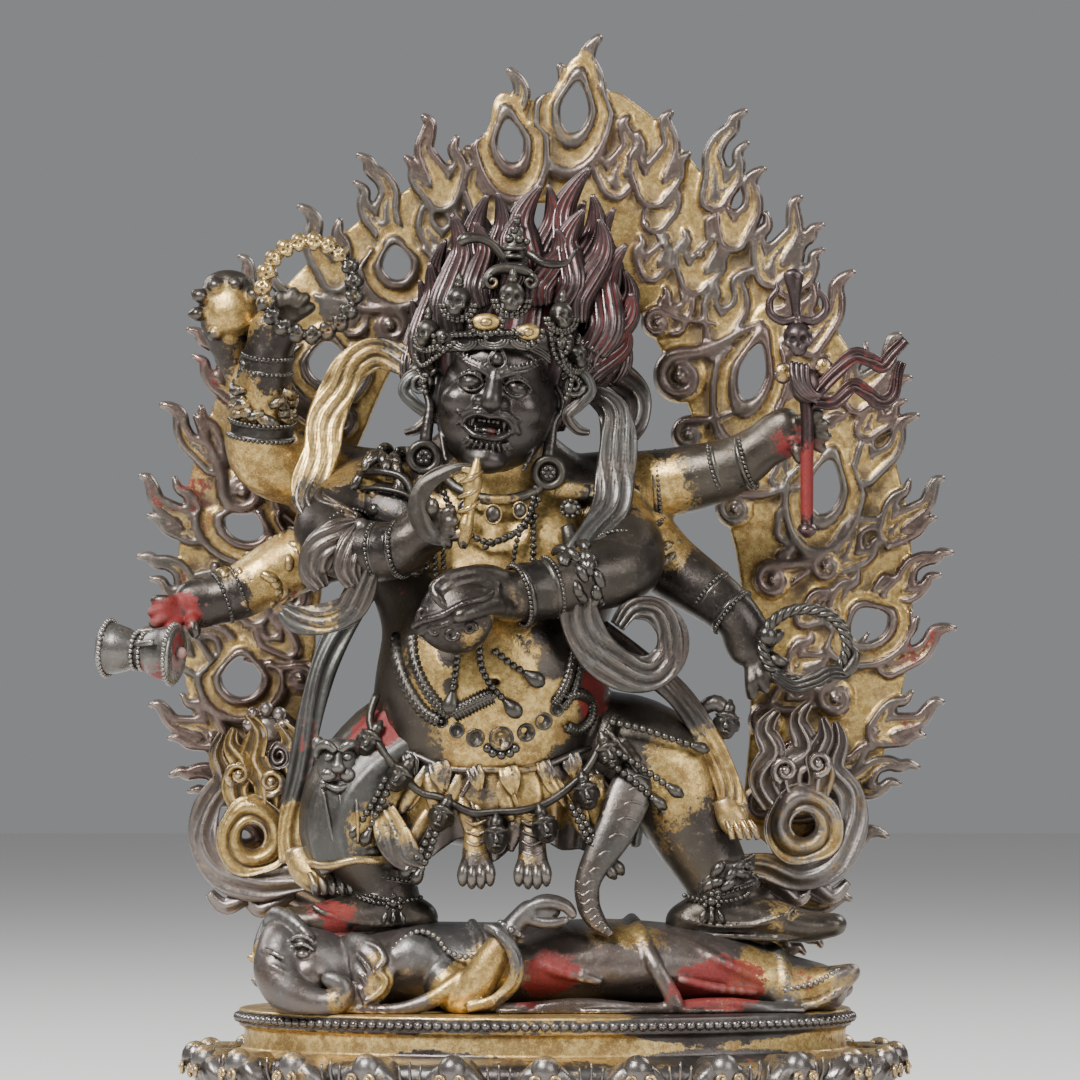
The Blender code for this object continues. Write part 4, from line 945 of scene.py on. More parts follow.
def beads(name, cords, radius, pitch, material, squash=1.0):
    """Beads along cords, each a list of (x, y, z) stations in millimetres, closed if it ends where it began."""
    curve = bpy.data.curves.new(name, "CURVE")
    curve.dimensions = "3D"
    for cord in cords:
        cord = np.asarray(cord, float)
        looped = np.allclose(cord[0], cord[-1])
        rows = smoothed(cord[:-1] if looped else cord, 6, looped)
        spline = curve.splines.new("POLY")
        spline.points.add(len(rows) - 1)
        spline.points.foreach_set("co", np.concatenate([rows * MM, np.ones((len(rows), 1))], 1).ravel())
        spline.use_cyclic_u = looped
    made = bpy.data.objects.new(name, curve)
    SCENE.collection.objects.link(made)
    tree = bpy.data.node_groups.get("beads_on_cords") or bead_tree()
    step = made.modifiers.new("beads", "NODES")
    step.node_group = tree
    inputs = {item.name: item.identifier for item in tree.interface.items_tree if item.in_out == "INPUT"}
    step[inputs["Bead radius"]] = radius * MM
    step[inputs["Bead pitch"]] = pitch * MM
    step[inputs["Bead squash"]] = squash
    step[inputs["Finish"]] = material
    bpy.context.view_layer.update()
    seen = made.evaluated_get(bpy.context.evaluated_depsgraph_get())
    data = bpy.data.meshes.new_from_object(seen)
    bpy.data.objects.remove(made, do_unlink=True)
    plain = bpy.data.objects.new(name, data)
    SCENE.collection.objects.link(plain)
    data.shade_smooth()
    return plain


# ---- guardian: body, arms and legs

HEAD = np.array((-14.4, -16.0, 239.0))
HEAD_SIZE = (17.4, 17.0, 19.5)
HEAD_LEAN = 8.0


def hand(field, wrist, palm, tips, girth=2.0, bend=(0, -1.6, 0)):
    wrist, palm = np.array(wrist, float), np.array(palm, float)
    field.loft([(*wrist, 6.0, 5.4), (*((wrist + palm) / 2), 6.9, 4.8), (*palm, 6.6, 4.4)], 1.5)
    for tip in tips:
        tip = np.array(tip, float)
        knuckle = palm + (tip - palm) * 0.38
        middle = palm + (tip - palm) * 0.72 + np.array(bend)
        field.loft([(*palm, girth * 1.15, girth * 1.15), (*knuckle, girth * 1.12, girth * 1.12),
                    (*middle, girth * 0.98, girth * 0.98), (*tip, girth * 0.78, girth * 0.78)], 0.7)


def limbs(field):
    arms = [
        [(-44, 4, 213, 11, 10), (-66, 6, 217, 10, 10), (-83, 3, 222, 10, 9.5), (-86, -1, 233, 9.0, 8.6),
         (-84, -4, 246, 7.4, 7.2), (-82.5, -6, 256, 6.2, 5.8)],
        [(-44, 0, 200, 11, 10), (-62, -2, 196, 9.6, 9), (-78, -6, 190, 8.6, 8.2), (-90, -9, 183, 7.2, 6.8),
         (-97, -11, 180, 6.2, 5.8)],
        [(-44, -2, 212, 12, 11), (-58, -8, 208, 11, 11), (-64, -17, 200, 10, 10), (-56, -27, 195, 8.6, 8.6),
         (-44, -34, 195, 7.4, 7.4), (-38, -37, 199, 6.2, 6)],
        [(14, 4, 212, 12, 10), (30, 3, 214, 10, 9.6), (46, 0, 217, 9, 8.6), (57, -3, 220.5, 7.4, 7),
         (65, -5, 226, 6, 5.4)],
        [(14, 2, 203, 12, 10), (28, 1, 199, 9.6, 9), (36, -1, 191, 9, 8.6), (46, -5, 184, 7.8, 7.4),
         (54, -8, 178, 6.6, 6.2), (59, -9, 173, 5.8, 5.4)],
        [(12, -2, 208, 13, 12), (22, -12, 198, 11.5, 11), (23, -23, 190, 10.5, 10), (10, -32, 186, 8.6, 8.6),
         (-3, -37, 182.5, 7.4, 7.2), (-12, -39, 181, 6.2, 6)],
    ]
    for arm in arms:
        field.loft(arm, 2.5, 4)
    hand(field, (-82.5, -6, 255), (-80.5, -8, 262.5), [(-70, -11, 267.5), (-71.5, -12.5, 270.5), (-75, -13, 272),
                                                      (-79, -13, 271), (-85.6, -11.5, 273)], 2.1)
    hand(field, (-97, -11, 180), (-106.5, -13, 178.5), [(-116, -18, 180), (-117, -19, 176.5), (-116.5, -20, 173),
                                                       (-113, -20, 169), (-104, -20, 170)])
    hand(field, (-38, -37, 199), (-33, -40, 202.5), [(-27.5, -46, 207), (-26.5, -46.5, 203.5), (-27, -46, 200),
                                                    (-28.5, -45, 196.5), (-33, -46, 209)], 1.8)
    hand(field, (65, -5, 226), (73.5, -8, 231.5), [(81.5, -16, 236), (83.5, -15, 232.5), (84, -14, 229),
                                                  (82.5, -13, 225.5), (76, -14, 222)])
    hand(field, (59, -9, 173), (62, -11, 165), [(61.5, -13, 151.5), (65.5, -14, 153.5), (69, -15, 156.5),
                                               (71.5, -15, 161), (70, -15, 170)])
    # the hand that lies over the cup: back, four fingers that bend over the rim, and the thumb
    field.loft([(-12, -39, 181.5, 6.0, 5.6), (-17, -43, 183.6, 6.4, 5.4), (-22, -46, 184.4, 5.4, 4.6)], 2.0, 5)
    for k in range(4):
        drop = 1.0 * k
        field.loft([(-15, -45 - 1.6 * k, 187.6 - 1.8 * k, 2.1, 2.1),
                    (-21.6, -50 - 1.2 * k, 188.6 - 2.4 * k, 1.9, 1.9),
                    (-28 + drop, -53.6 - 0.9 * k, 187.4 - 2.8 * k, 1.75, 1.75),
                    (-32.6 + 1.6 * drop, -55.2 - 0.6 * k, 184 - 2.8 * k, 1.6, 1.6),
                    (-31.2 + 1.6 * drop, -57.2 - 0.3 * k, 180.8 - 2.0 * k, 1.35, 1.35)], 0.4, 4)
    field.loft([(-10, -42, 178, 3.4, 3.4), (-16, -51, 178.4, 3.0, 2.8), (-21.4, -57.6, 177.0, 2.5, 2.3),
                (-25.2, -59.6, 175.6, 2.0, 1.8)], 0.8, 4)


def belly_y(x, z, proud=0.0, known={}):
    """How far forward the trunk's skin is, less what lies proud of it."""
    if not known:
        known["trunk"] = Field((-60, -52, 110), (30, 4, 216), 1.4)
        torso(known["trunk"])
    trunk = known["trunk"]
    i, k = (int(round((v - low) / 1.4)) for v, low in ((x, -60), (z, 110)))
    column = trunk.value[i, :, k]
    if column.min() >= 0:
        return -4.0 - proud
    j = max(1, int(np.argmax(column < 0)))
    share = column[j - 1] / (column[j - 1] - column[j])
    return -52 + 1.4 * (j - 1 + float(share)) - proud


def torso(field):
    field.loft([(-13, 1, 126, 29, 17), (-16, -4, 137, 34, 27.0), (-16, -7, 154, 33.5, 29), (-15.5, -5, 172, 31.5, 25),
                (-15, 0, 190, 38, 21), (-15, 2, 206, 39, 18), (-15, 1, 216, 26, 15), (-14.5, -5, 228, 13, 12)],
               3, 5)
    for side in (-1, 1):
        field.ball((-15 + side * 15, -13, 196), (13, 9, 11), 4)
    field.ball((-16, -17, 158), (29, 20, 24), 5)
    field.ball((-15, -36.8, 156), (1.6, 1.6, 1.2), 0.6, carve=True)


def legs(field):
    field.loft([(-32, -2, 130, 17, 17), (-50, -10, 126, 16, 15), (-59, -14, 117, 13, 12), (-55, -14, 105, 10, 10),
                (-49, -14, 96, 8.2, 8.2), (-46, -13, 90, 7.6, 8.6)], 3, 5)
    field.loft([(4, -2, 132, 18, 17), (24, -8, 134, 17, 16), (37, -12, 127, 14.5, 13), (43, -13, 113, 11.5, 11),
                (50, -13, 100, 9, 9), (54, -13, 91, 8, 8.6)], 3, 5)
    shoes = [[(-37, -12, 85, 5, 6), (-47, -14, 86.5, 6.4, 8), (-58, -17, 86, 5.6, 8.6), (-68, -19, 84.6, 4.4, 8),
              (-77, -20, 85.2, 2.6, 5)],
             [(41, -13, 84, 5, 6), (52, -14, 86.5, 6.8, 8), (66, -15, 85, 5.6, 8.8), (78, -16, 82.8, 4, 8),
              (87, -17, 83.4, 2.4, 5)]]
    for shoe in shoes:
        field.loft(shoe, 2, 5)
    # piping along each boot, the sole, and heel
    for line in ([(-37, -18.5, 85, 0.8), (-46, -22.4, 83.8, 0.8), (-56, -25.4, 84.4, 0.8), (-65, -27.4, 87.2, 0.8),
                  (-69, -26.0, 89.4, 0.7)],
                 [(41, -19.5, 85, 0.8), (51, -22.6, 83.4, 0.8), (62, -24.0, 83.6, 0.8), (70, -24.4, 86.0, 0.8),
                  (74, -23.0, 88.6, 0.7)],
                 [(-38, -17.5, 80.8, 1.0), (-52, -22, 80.2, 1.0), (-66, -25.6, 80.6, 1.0), (-76, -23.6, 83.0, 0.8)],
                 [(41, -18, 80.6, 1.0), (56, -21.4, 80.2, 1.0), (72, -22.4, 79.6, 1.0), (85, -20.4, 81.6, 0.8)]):
        field.loft([(x, y, z, r, r) for x, y, z, r in line], 0.4, 5)
    for x, y, z in ((-76, -21, 85.4), (86, -18, 83.6)):
        field.ball((x, y, z), (3.6, 5.0, 3.0), 1.5)
    # folds where the trousers meet the boots, and over the knees
    for cx, cz, reach in ((-48, 97, 9.2), (52.6, 99, 9.6)):
        for k in range(3):
            field.loft([(cx - reach, -13, cz + 1.6 * k, 0.8, 0.8),
                        (cx - reach * 0.5, -21.4, cz - 1.0 + 1.9 * k, 1.0, 1.0),
                        (cx + reach * 0.4, -21.6, cz - 0.4 + 1.4 * k, 1.0, 1.0),
                        (cx + reach, -14, cz + 1.4 + 1.8 * k, 0.8, 0.8)], 0.7, 5)
    for k in range(4):
        field.loft([(18 + 6 * k, -27 + 1.2 * k, 142 - 4.5 * k, 0.7, 0.9),
                    (25 + 6 * k, -27.5 + 1.6 * k, 133 - 6 * k, 1.0, 1.2),
                    (31 + 5 * k, -26.5 + 2.2 * k, 122 - 6.5 * k, 0.6, 0.8)], 1.4, 4)


def build_body(quick):
    field = Field((-124, -63, 57), (96, 32, 292), 1.1 if quick else 0.72)
    torso(field)
    legs(field)
    limbs(field)
    # hide's paw beside the raised hand
    field.loft([(-84, 4, 240, 4, 3), (-92, 4, 250, 5, 3), (-95, 0, 260, 7, 4), (-95, -2, 268, 8.5, 5),
                (-95, -2, 275, 7, 4)], 1.5)
    field.ball((-94.2, -5, 266), (7.0, 4.0, 6.2), 1.2, -12)
    for x, z in ((-98.6, 274.0), (-92.6, 274.4), (-103.2, 271.0), (-104.0, 265.6), (-98.8, 259.8), (-87.2, 271.4)):
        field.ball((x, -5.4, z), (2.5, 2.8, 2.3), 0.5)
        field.ball((x + (x + 94.2) * 0.18, -5.8, z + (z - 266) * 0.18), (1.2, 1.4, 1.2), 0.3)
    verts, faces = field.skin()
    made = mesh_object("mahakala_body", verts, faces, FACES["mahakala_body"])
    gilt = [(-14, -34, 134, 16, 0.5), (-14, -24, 204, 24, 1.1), (-78, -4, 214, 14, 0.5), (-66, -8, 206, 12, 0.5),
            (0, -22, 194, 14, 0.6), (-14, -36, 158, 20, 0.7), (-32, -32, 160, 13, 0.5), (-14, -36, 141, 20, 0.4),
            (-88, 0, 246, 10, 0.5), (-80, -2, 226, 12, 0.5), (-70, -4, 218, 12, 0.35),
            (4, -30, 150, 10, 0.5), (39, -23, 128, 12, 1.0), (36, -22, 108, 9, 0.3), (52, -20, 112, 9, 0.35),
            (-86, -4, 234, 16, 0.75),
            (-84, -10, 222, 10, 0.5), (-95, -7, 266, 9, 1.1), (-84, -8, 188, 15, 0.9), (-62, -12, 196, 10, 0.45),
            (-80, -10, 262, 8, 0.35),
            (-50, -12, 214, 12, 0.6), (32, -6, 213, 16, 0.75), (-54, -20, 116, 14, 0.3), (36, -6, 192, 12, 0.6),
            (70, -22, 88, 9, 0.6),
            (52, -22, 93, 9, 0.35), (-60, -24, 88, 10, 0.35), (-44, -22, 92, 8, 0.35), (-28, -34, 163, 3.5, -1.0),
            (-27.6, -35, 155, 3.2, -1.0),
            (2, -35, 160, 4, -0.6), (20, -6, 208, 9, 0.4)]
    red = [(-108, -18, 176, 8, 0.9), (-116, -18, 175, 6, 0.55), (76, -12, 226, 9, 0.75), (-76, -8, 182, 8, 0.5),
           (-40, -14, 186, 9, 0.5), (13, -20, 156, 9, 1.1), (10, -22, 148, 6, 0.5), (-50, -20, 144, 9, 0.6),
           (-60, -24, 85, 10, 0.4),
           (60, -20, 82, 9, 0.3), (-66, -22, 86, 8, 0.5)]
    return coloured(made, gilt, red, 0.14)


# ---- guardian: head, hair and crown


def on_head(u, f, w, *rest):
    """A point given from the middle of the face: across, forward and up."""
    a = math.radians(HEAD_LEAN)
    return (HEAD[0] - 0.6 + u * math.cos(a) + w * math.sin(a), HEAD[1] - f,
            HEAD[2] + 2.6 - u * math.sin(a) + w * math.cos(a), *rest)


def build_head(quick):
    field = Field((-45, -40, 205), (14, 8, 272), 0.8 if quick else 0.42)
    field.ball(HEAD, HEAD_SIZE, 0, HEAD_LEAN)
    field.ball(on_head(0, 2, -11), (14.8, 14, 11.4), 4, HEAD_LEAN)
    field.ball(on_head(0, 12.2, -20), (6.4, 5.2, 4.2), 3, HEAD_LEAN)
    field.loft([(-14.5, -4, 222, 13, 12), (-14.5, -1, 208, 14, 12)], 2)

    def feature(u, f, w, *rest):
        return on_head(u - 0.5, f - (0.06 * w if w > 4 else 0.0), w + (2.0 if w > -7 else 1.4), *rest)

    def line(points, soft=0.7, carve=False, mirror=True):
        for side in ((-1, 1) if mirror else (1,)):
            field.loft([feature(side * p[0], *p[1:]) for p in points], soft, 4, carve=carve)

    # forehead, cheeks, brow and eye hollows
    field.ball(feature(0, 9.6, 7.0), (12.6, 7.2, 6.4), 3, HEAD_LEAN)
    for side in (-1, 1):
        field.ball(feature(side * 9.4, 11.2, -5.6), (5.6, 4.6, 5.0), 3, HEAD_LEAN)
        field.ball(feature(side * 7.0, 18.2, 0.2), (5.0, 3.2, 3.4), 1.6, HEAD_LEAN, carve=True)
        field.ball(feature(side * 6.8, 13.2, 0.2), (3.7, 4.0, 2.7), 0.1, HEAD_LEAN + side * 10)
    for lift, girth in ((0.0, 0.42), (1.0, 0.32)):
        line([(2.8, 15.8, 0.2, girth, 0.5), (4.6, 16.9, 2.0 + lift, girth, 0.6), (7.2, 16.9, 2.8 + lift, girth, 0.6),
              (9.8, 15.6, 1.8 + lift, girth, 0.5), (11.4, 14.0, 0.2, 0.3, 0.4)], 0.2)
    line([(2.8, 15.8, 0.0, 0.35, 0.4), (5.0, 16.5, -1.9, 0.42, 0.5), (8.0, 16.1, -2.2, 0.42, 0.5),
          (11.2, 14.0, -0.2, 0.3, 0.4)], 0.2)
    # flaming brows, two rolls with a row of small tufts
    for k in range(2):
        line([(1.6, 17.6, 3.0 + 0.9 * k, 0.9, 1.0), (4.6, 17.8 - 0.4 * k, 4.3 + 1.1 * k, 0.85, 1.0),
              (9.0, 16.4 - 0.6 * k, 5.8 + 1.3 * k, 0.65, 0.8), (12.6, 13.6 - 0.6 * k, 8.2 + 1.7 * k, 0.3, 0.4)], 0.35)
    for k in range(9):
        for side in (-1, 1):
            t = k / 8
            field.ball(feature(side * (3.2 + 9.2 * t), 18.0 - 4.6 * t * t, 6.0 + 4.2 * t ** 1.4), 0.55 - 0.2 * t,
                       0.15)
    # third eye
    line([(0.0, 17.4, 11.8, 0.5, 0.6), (1.3, 17.8, 10.2, 0.55, 0.7), (2.5, 17.8, 8.0, 0.6, 0.7),
          (2.2, 18.0, 6.0, 0.6, 0.7),
          (0.0, 18.2, 4.6, 0.6, 0.7)], 0.3)
    field.ball(feature(0, 17.6, 8.0), (1.9, 2.2, 2.1), 0.1, HEAD_LEAN)
    for k in range(2):
        line([(0, 17.4, 3.6 - 1.7 * k, 0.5, 0.5), (1.6, 17.6, 4.0 - 1.9 * k, 0.45, 0.5),
              (2.8, 16.9, 3.2 - 1.7 * k, 0.3, 0.4)], 0.3)
    field.ball(feature(0, 17.6, 3.4), (1.4, 1.3, 1.2), 0.5, HEAD_LEAN)
    # nose
    line([(0, 16.6, 3.0, 1.5, 1.6), (0, 18.0, -0.6, 1.9, 2.0), (0, 19.6, -4.2, 2.5, 2.2), (0, 19.2, -5.8, 2.2, 1.8)],
         1.2, mirror=False)
    for side in (-1, 1):
        field.ball(feature(side * 3.3, 17.2, -5.2), (2.2, 2.4, 1.9), 0.9, HEAD_LEAN)
        field.ball(feature(side * 2.3, 19.3, -7.2), (0.9, 1.3, 0.8), 0.3, HEAD_LEAN, carve=True)
    line([(3.6, 17.2, -6.0, 0.5, 0.5), (6.6, 16.4, -8.4, 0.7, 0.7), (9.4, 14.6, -12.2, 0.5, 0.5)], 0.8)
    # open mouth, lips, tongue and teeth
    field.ball(feature(0, 17.4, -11.4), (6.4, 4.2, 2.7), 0.5, HEAD_LEAN, carve=True)
    line([(0, 18.6, -8.5, 0.9, 1.0), (3.4, 18.3, -8.1, 1.0, 1.1), (6.4, 16.6, -9.6, 0.9, 1.0),
          (7.6, 15.0, -12.4, 0.6, 0.8)], 0.3)
    line([(0, 17.4, -14.9, 1.0, 1.2), (3.6, 17.0, -14.6, 1.0, 1.2), (6.6, 15.4, -12.6, 0.7, 0.9)], 0.3)
    field.ball(feature(0, 15.8, -12.8), (3.2, 2.8, 1.0), 0.3, HEAD_LEAN)
    for k in (-2, -1, 0, 1, 2):
        field.ball(feature(k * 1.35, 17.1 - 0.12 * k * k, -9.9), (0.62, 0.6, 0.85), 0.05)
    line([(4.6, 17.0, -9.4, 0.75, 0.75), (4.8, 16.9, -12.2, 0.22, 0.22)], 0.1)
    line([(3.4, 16.6, -14.2, 0.7, 0.7), (3.6, 16.7, -11.4, 0.2, 0.2)], 0.1)
    # moustache, the tuft under the lip and a fringe along the jaw
    line([(1.0, 19.0, -7.0, 0.5, 0.5), (4.8, 18.4, -7.0, 0.65, 0.6), (8.8, 15.8, -8.6, 0.55, 0.5),
          (11.4, 13.4, -6.6, 0.4, 0.4), (12.0, 12.6, -4.4, 0.25, 0.25)], 0.3)
    for k in range(-5, 6):
        a = math.radians(k * 15)
        field.loft([on_head(6.4 * math.sin(a), 15.8 + 1.4 * math.cos(a), -15.4 + 1.6 * (1 - math.cos(a)), 0.5, 0.5),
                    on_head(8.0 * math.sin(a), 14.6 + 1.6 * math.cos(a), -17.4 + 2.2 * (1 - math.cos(a)), 0.4, 0.4)],
                    0.3)
    for k in range(7):
        for side in (-1, 1):
            field.loft([on_head(side * (15.2 - 0.5 * k), 4 + 1.0 * k, -9 - 1.9 * k, 0.7, 0.7),
                        on_head(side * (15.6 - 0.7 * k), 5.0 + 1.1 * k, -11.4 - 1.7 * k, 0.4, 0.4)], 0.4)
    for side in (-1, 1):
        field.ball(on_head(side * 17.6, -2, -2), (2.0, 4.4, 7.2), 1.2, HEAD_LEAN)
        field.loft([on_head(side * 18.4, 1.5, 4.4, 0.8, 0.9), on_head(side * 20.2, 1.2, 1.4, 0.8, 0.9),
                    on_head(side * 20.0, 1.6, -3, 0.8, 0.9), on_head(side * 18.6, 2.4, -6.4, 1.3, 1.3),
                    on_head(side * 18.4, 3.4, -12, 1.7, 1.5), on_head(side * 18.4, 4.0, -17, 1.8, 1.5)], 0.5)
        field.ball(on_head(side * 19.2, 2.4, -0.6), (0.9, 1.4, 2.6), 0.4, carve=True)
    verts, faces = field.skin()
    made = mesh_object("mahakala_head", verts, faces, FACES["mahakala_head"])
    return coloured(made, [(-30, -26, 232, 6, 0.2)], [(-16, -34, 230, 2.5, 0.6)], 0.0, 0.0, 2, 0.8)


# Locks of hair: root (x, z), tip (x, z), half width, depth and sway
LOCKS = [
    (-28.5, 259, -26.7, 295.5, 4.2, -12, 2.0), (-36, 251, -33.9, 281, 3.8, -9, 1.2),
    (-39.5, 244, -39.5, 270, 3.0, -6, 1.0),
    (-22.5, 264, -18, 301.5, 4.0, -9, -1.6), (-16.5, 270, -13.5, 302, 3.4, -6, 1.4),
    (-9, 272, -2.2, 304.5, 4.4, -6, -2.2),
    (-4.5, 270, 2.0, 304.5, 3.4, -3, 1.8), (0, 270, 12.3, 310, 4.4, -2, -2.4), (-1.5, 268, 4.5, 291, 3.8, -14, 1.8),
    (4.5, 268, 10.8, 297, 4.2, -12, -2.0), (6, 266, 15.4, 301.5, 4.2, -4, 2.0), (9, 263, 17.2, 294, 4.2, -11, 2.0),
    (13.5, 260, 19.8, 297.5, 3.8, -2, -1.8), (14, 254, 23.2, 286.5, 4.6, -9, -2.2),
    (12.5, 250, 26.8, 271.8, 4.2, -8, 1.8),
    (11, 245, 25.6, 261, 3.8, -7, 1.4), (-19.5, 267, -20.2, 293, 3.4, -14, 1.6),
    (-10.5, 273, -8.1, 295.5, 3.4, -13, -1.4),
    (-31.5, 254, -30.6, 288, 3.4, -4, -1.6), (11, 240, 18.9, 250.5, 3.0, -6, 0.8),
    (-25, 262, -23.5, 298, 3.6, -2, 1.6),
    (-38, 250, -37, 276, 3.2, 0, 1.2), (20, 256, 24.5, 279, 3.6, 0, 1.6),
    (-30, 254, -29, 286, 4.6, 9, -1.6), (-21, 260, -19, 297, 4.6, 11, 1.8), (-12, 264, -9, 300, 4.6, 12, -1.8),
    (-3, 264, 2, 303, 4.6, 12, 1.8), (6, 260, 11, 300, 4.6, 11, -1.6), (14, 254, 19, 290, 4.6, 9, 1.8),
    (-36, 246, -35, 270, 3.8, 6, 1.4), (19, 246, 25, 270, 3.8, 6, -1.4), (-25, 244, -24, 276, 4.6, 13, 1.4),
    (-14, 246, -12, 284, 5.0, 15, -1.6), (-2, 246, 2, 286, 5.0, 15, 1.6), (9, 244, 13, 276, 4.6, 13, -1.4),
]


def build_hair():
    heap = Heap()

    def ridged(a):
        return 1 + 0.12 * math.cos(12 * a) + 0.05 * math.cos(5 * a + 1)

    def core(a):
        return 1 + 0.05 * math.cos(30 * a)

    heap.loft([(-14, 2, 232, 19, 12), (-13, 1, 246, 24, 14), (-11, 3, 260, 26, 14), (-8, 4, 274, 23, 12),
               (-4, 6, 286, 13, 8)], sides=120, section=core)
    for rx, rz, tx, tz, wide, y, sway in LOCKS:
        rows = []
        for share, size, off in ((0, 0.9, 0), (0.22, 1.1, -0.9), (0.45, 1.05, 0.2), (0.66, 0.85, 1.3),
                                 (0.84, 0.55, 0.7),
                                 (1, 0.14, -0.6)):
            rows.append((rx + (tx - rx) * share + sway * off, y * (1 - 0.25 * share) + (1.5 * off),
                         rz + (tz - rz) * share, wide * size, wide * size * 0.8))
        heap.loft(rows, sides=48, per_span=4, section=ridged)
    made = heap.make("mahakala_hair")
    red = [(-3, -12, 282, 7, 0.45), (23, -6, 256, 8, 0.6), (-2, -14, 270, 7, 0.6), (-22, -12, 270, 6, 0.3),
           (4, -6, 297, 7, 0.35), (22, -8, 270, 9, 0.35), (-36, -8, 258, 8, 0.3), (10, 12, 280, 14, 0.2)]
    return coloured(made, [(14, -4, 300, 5, 0.25)], red, 0.0, 0.1, 1, 1.6)


def crown_y(x, proud=0.0):
    share = min(1.0, abs((x + 13.5) / 25.5))
    return -14.0 - (19.5 + proud) * math.sqrt(1 - share * share) + 3.0 * share


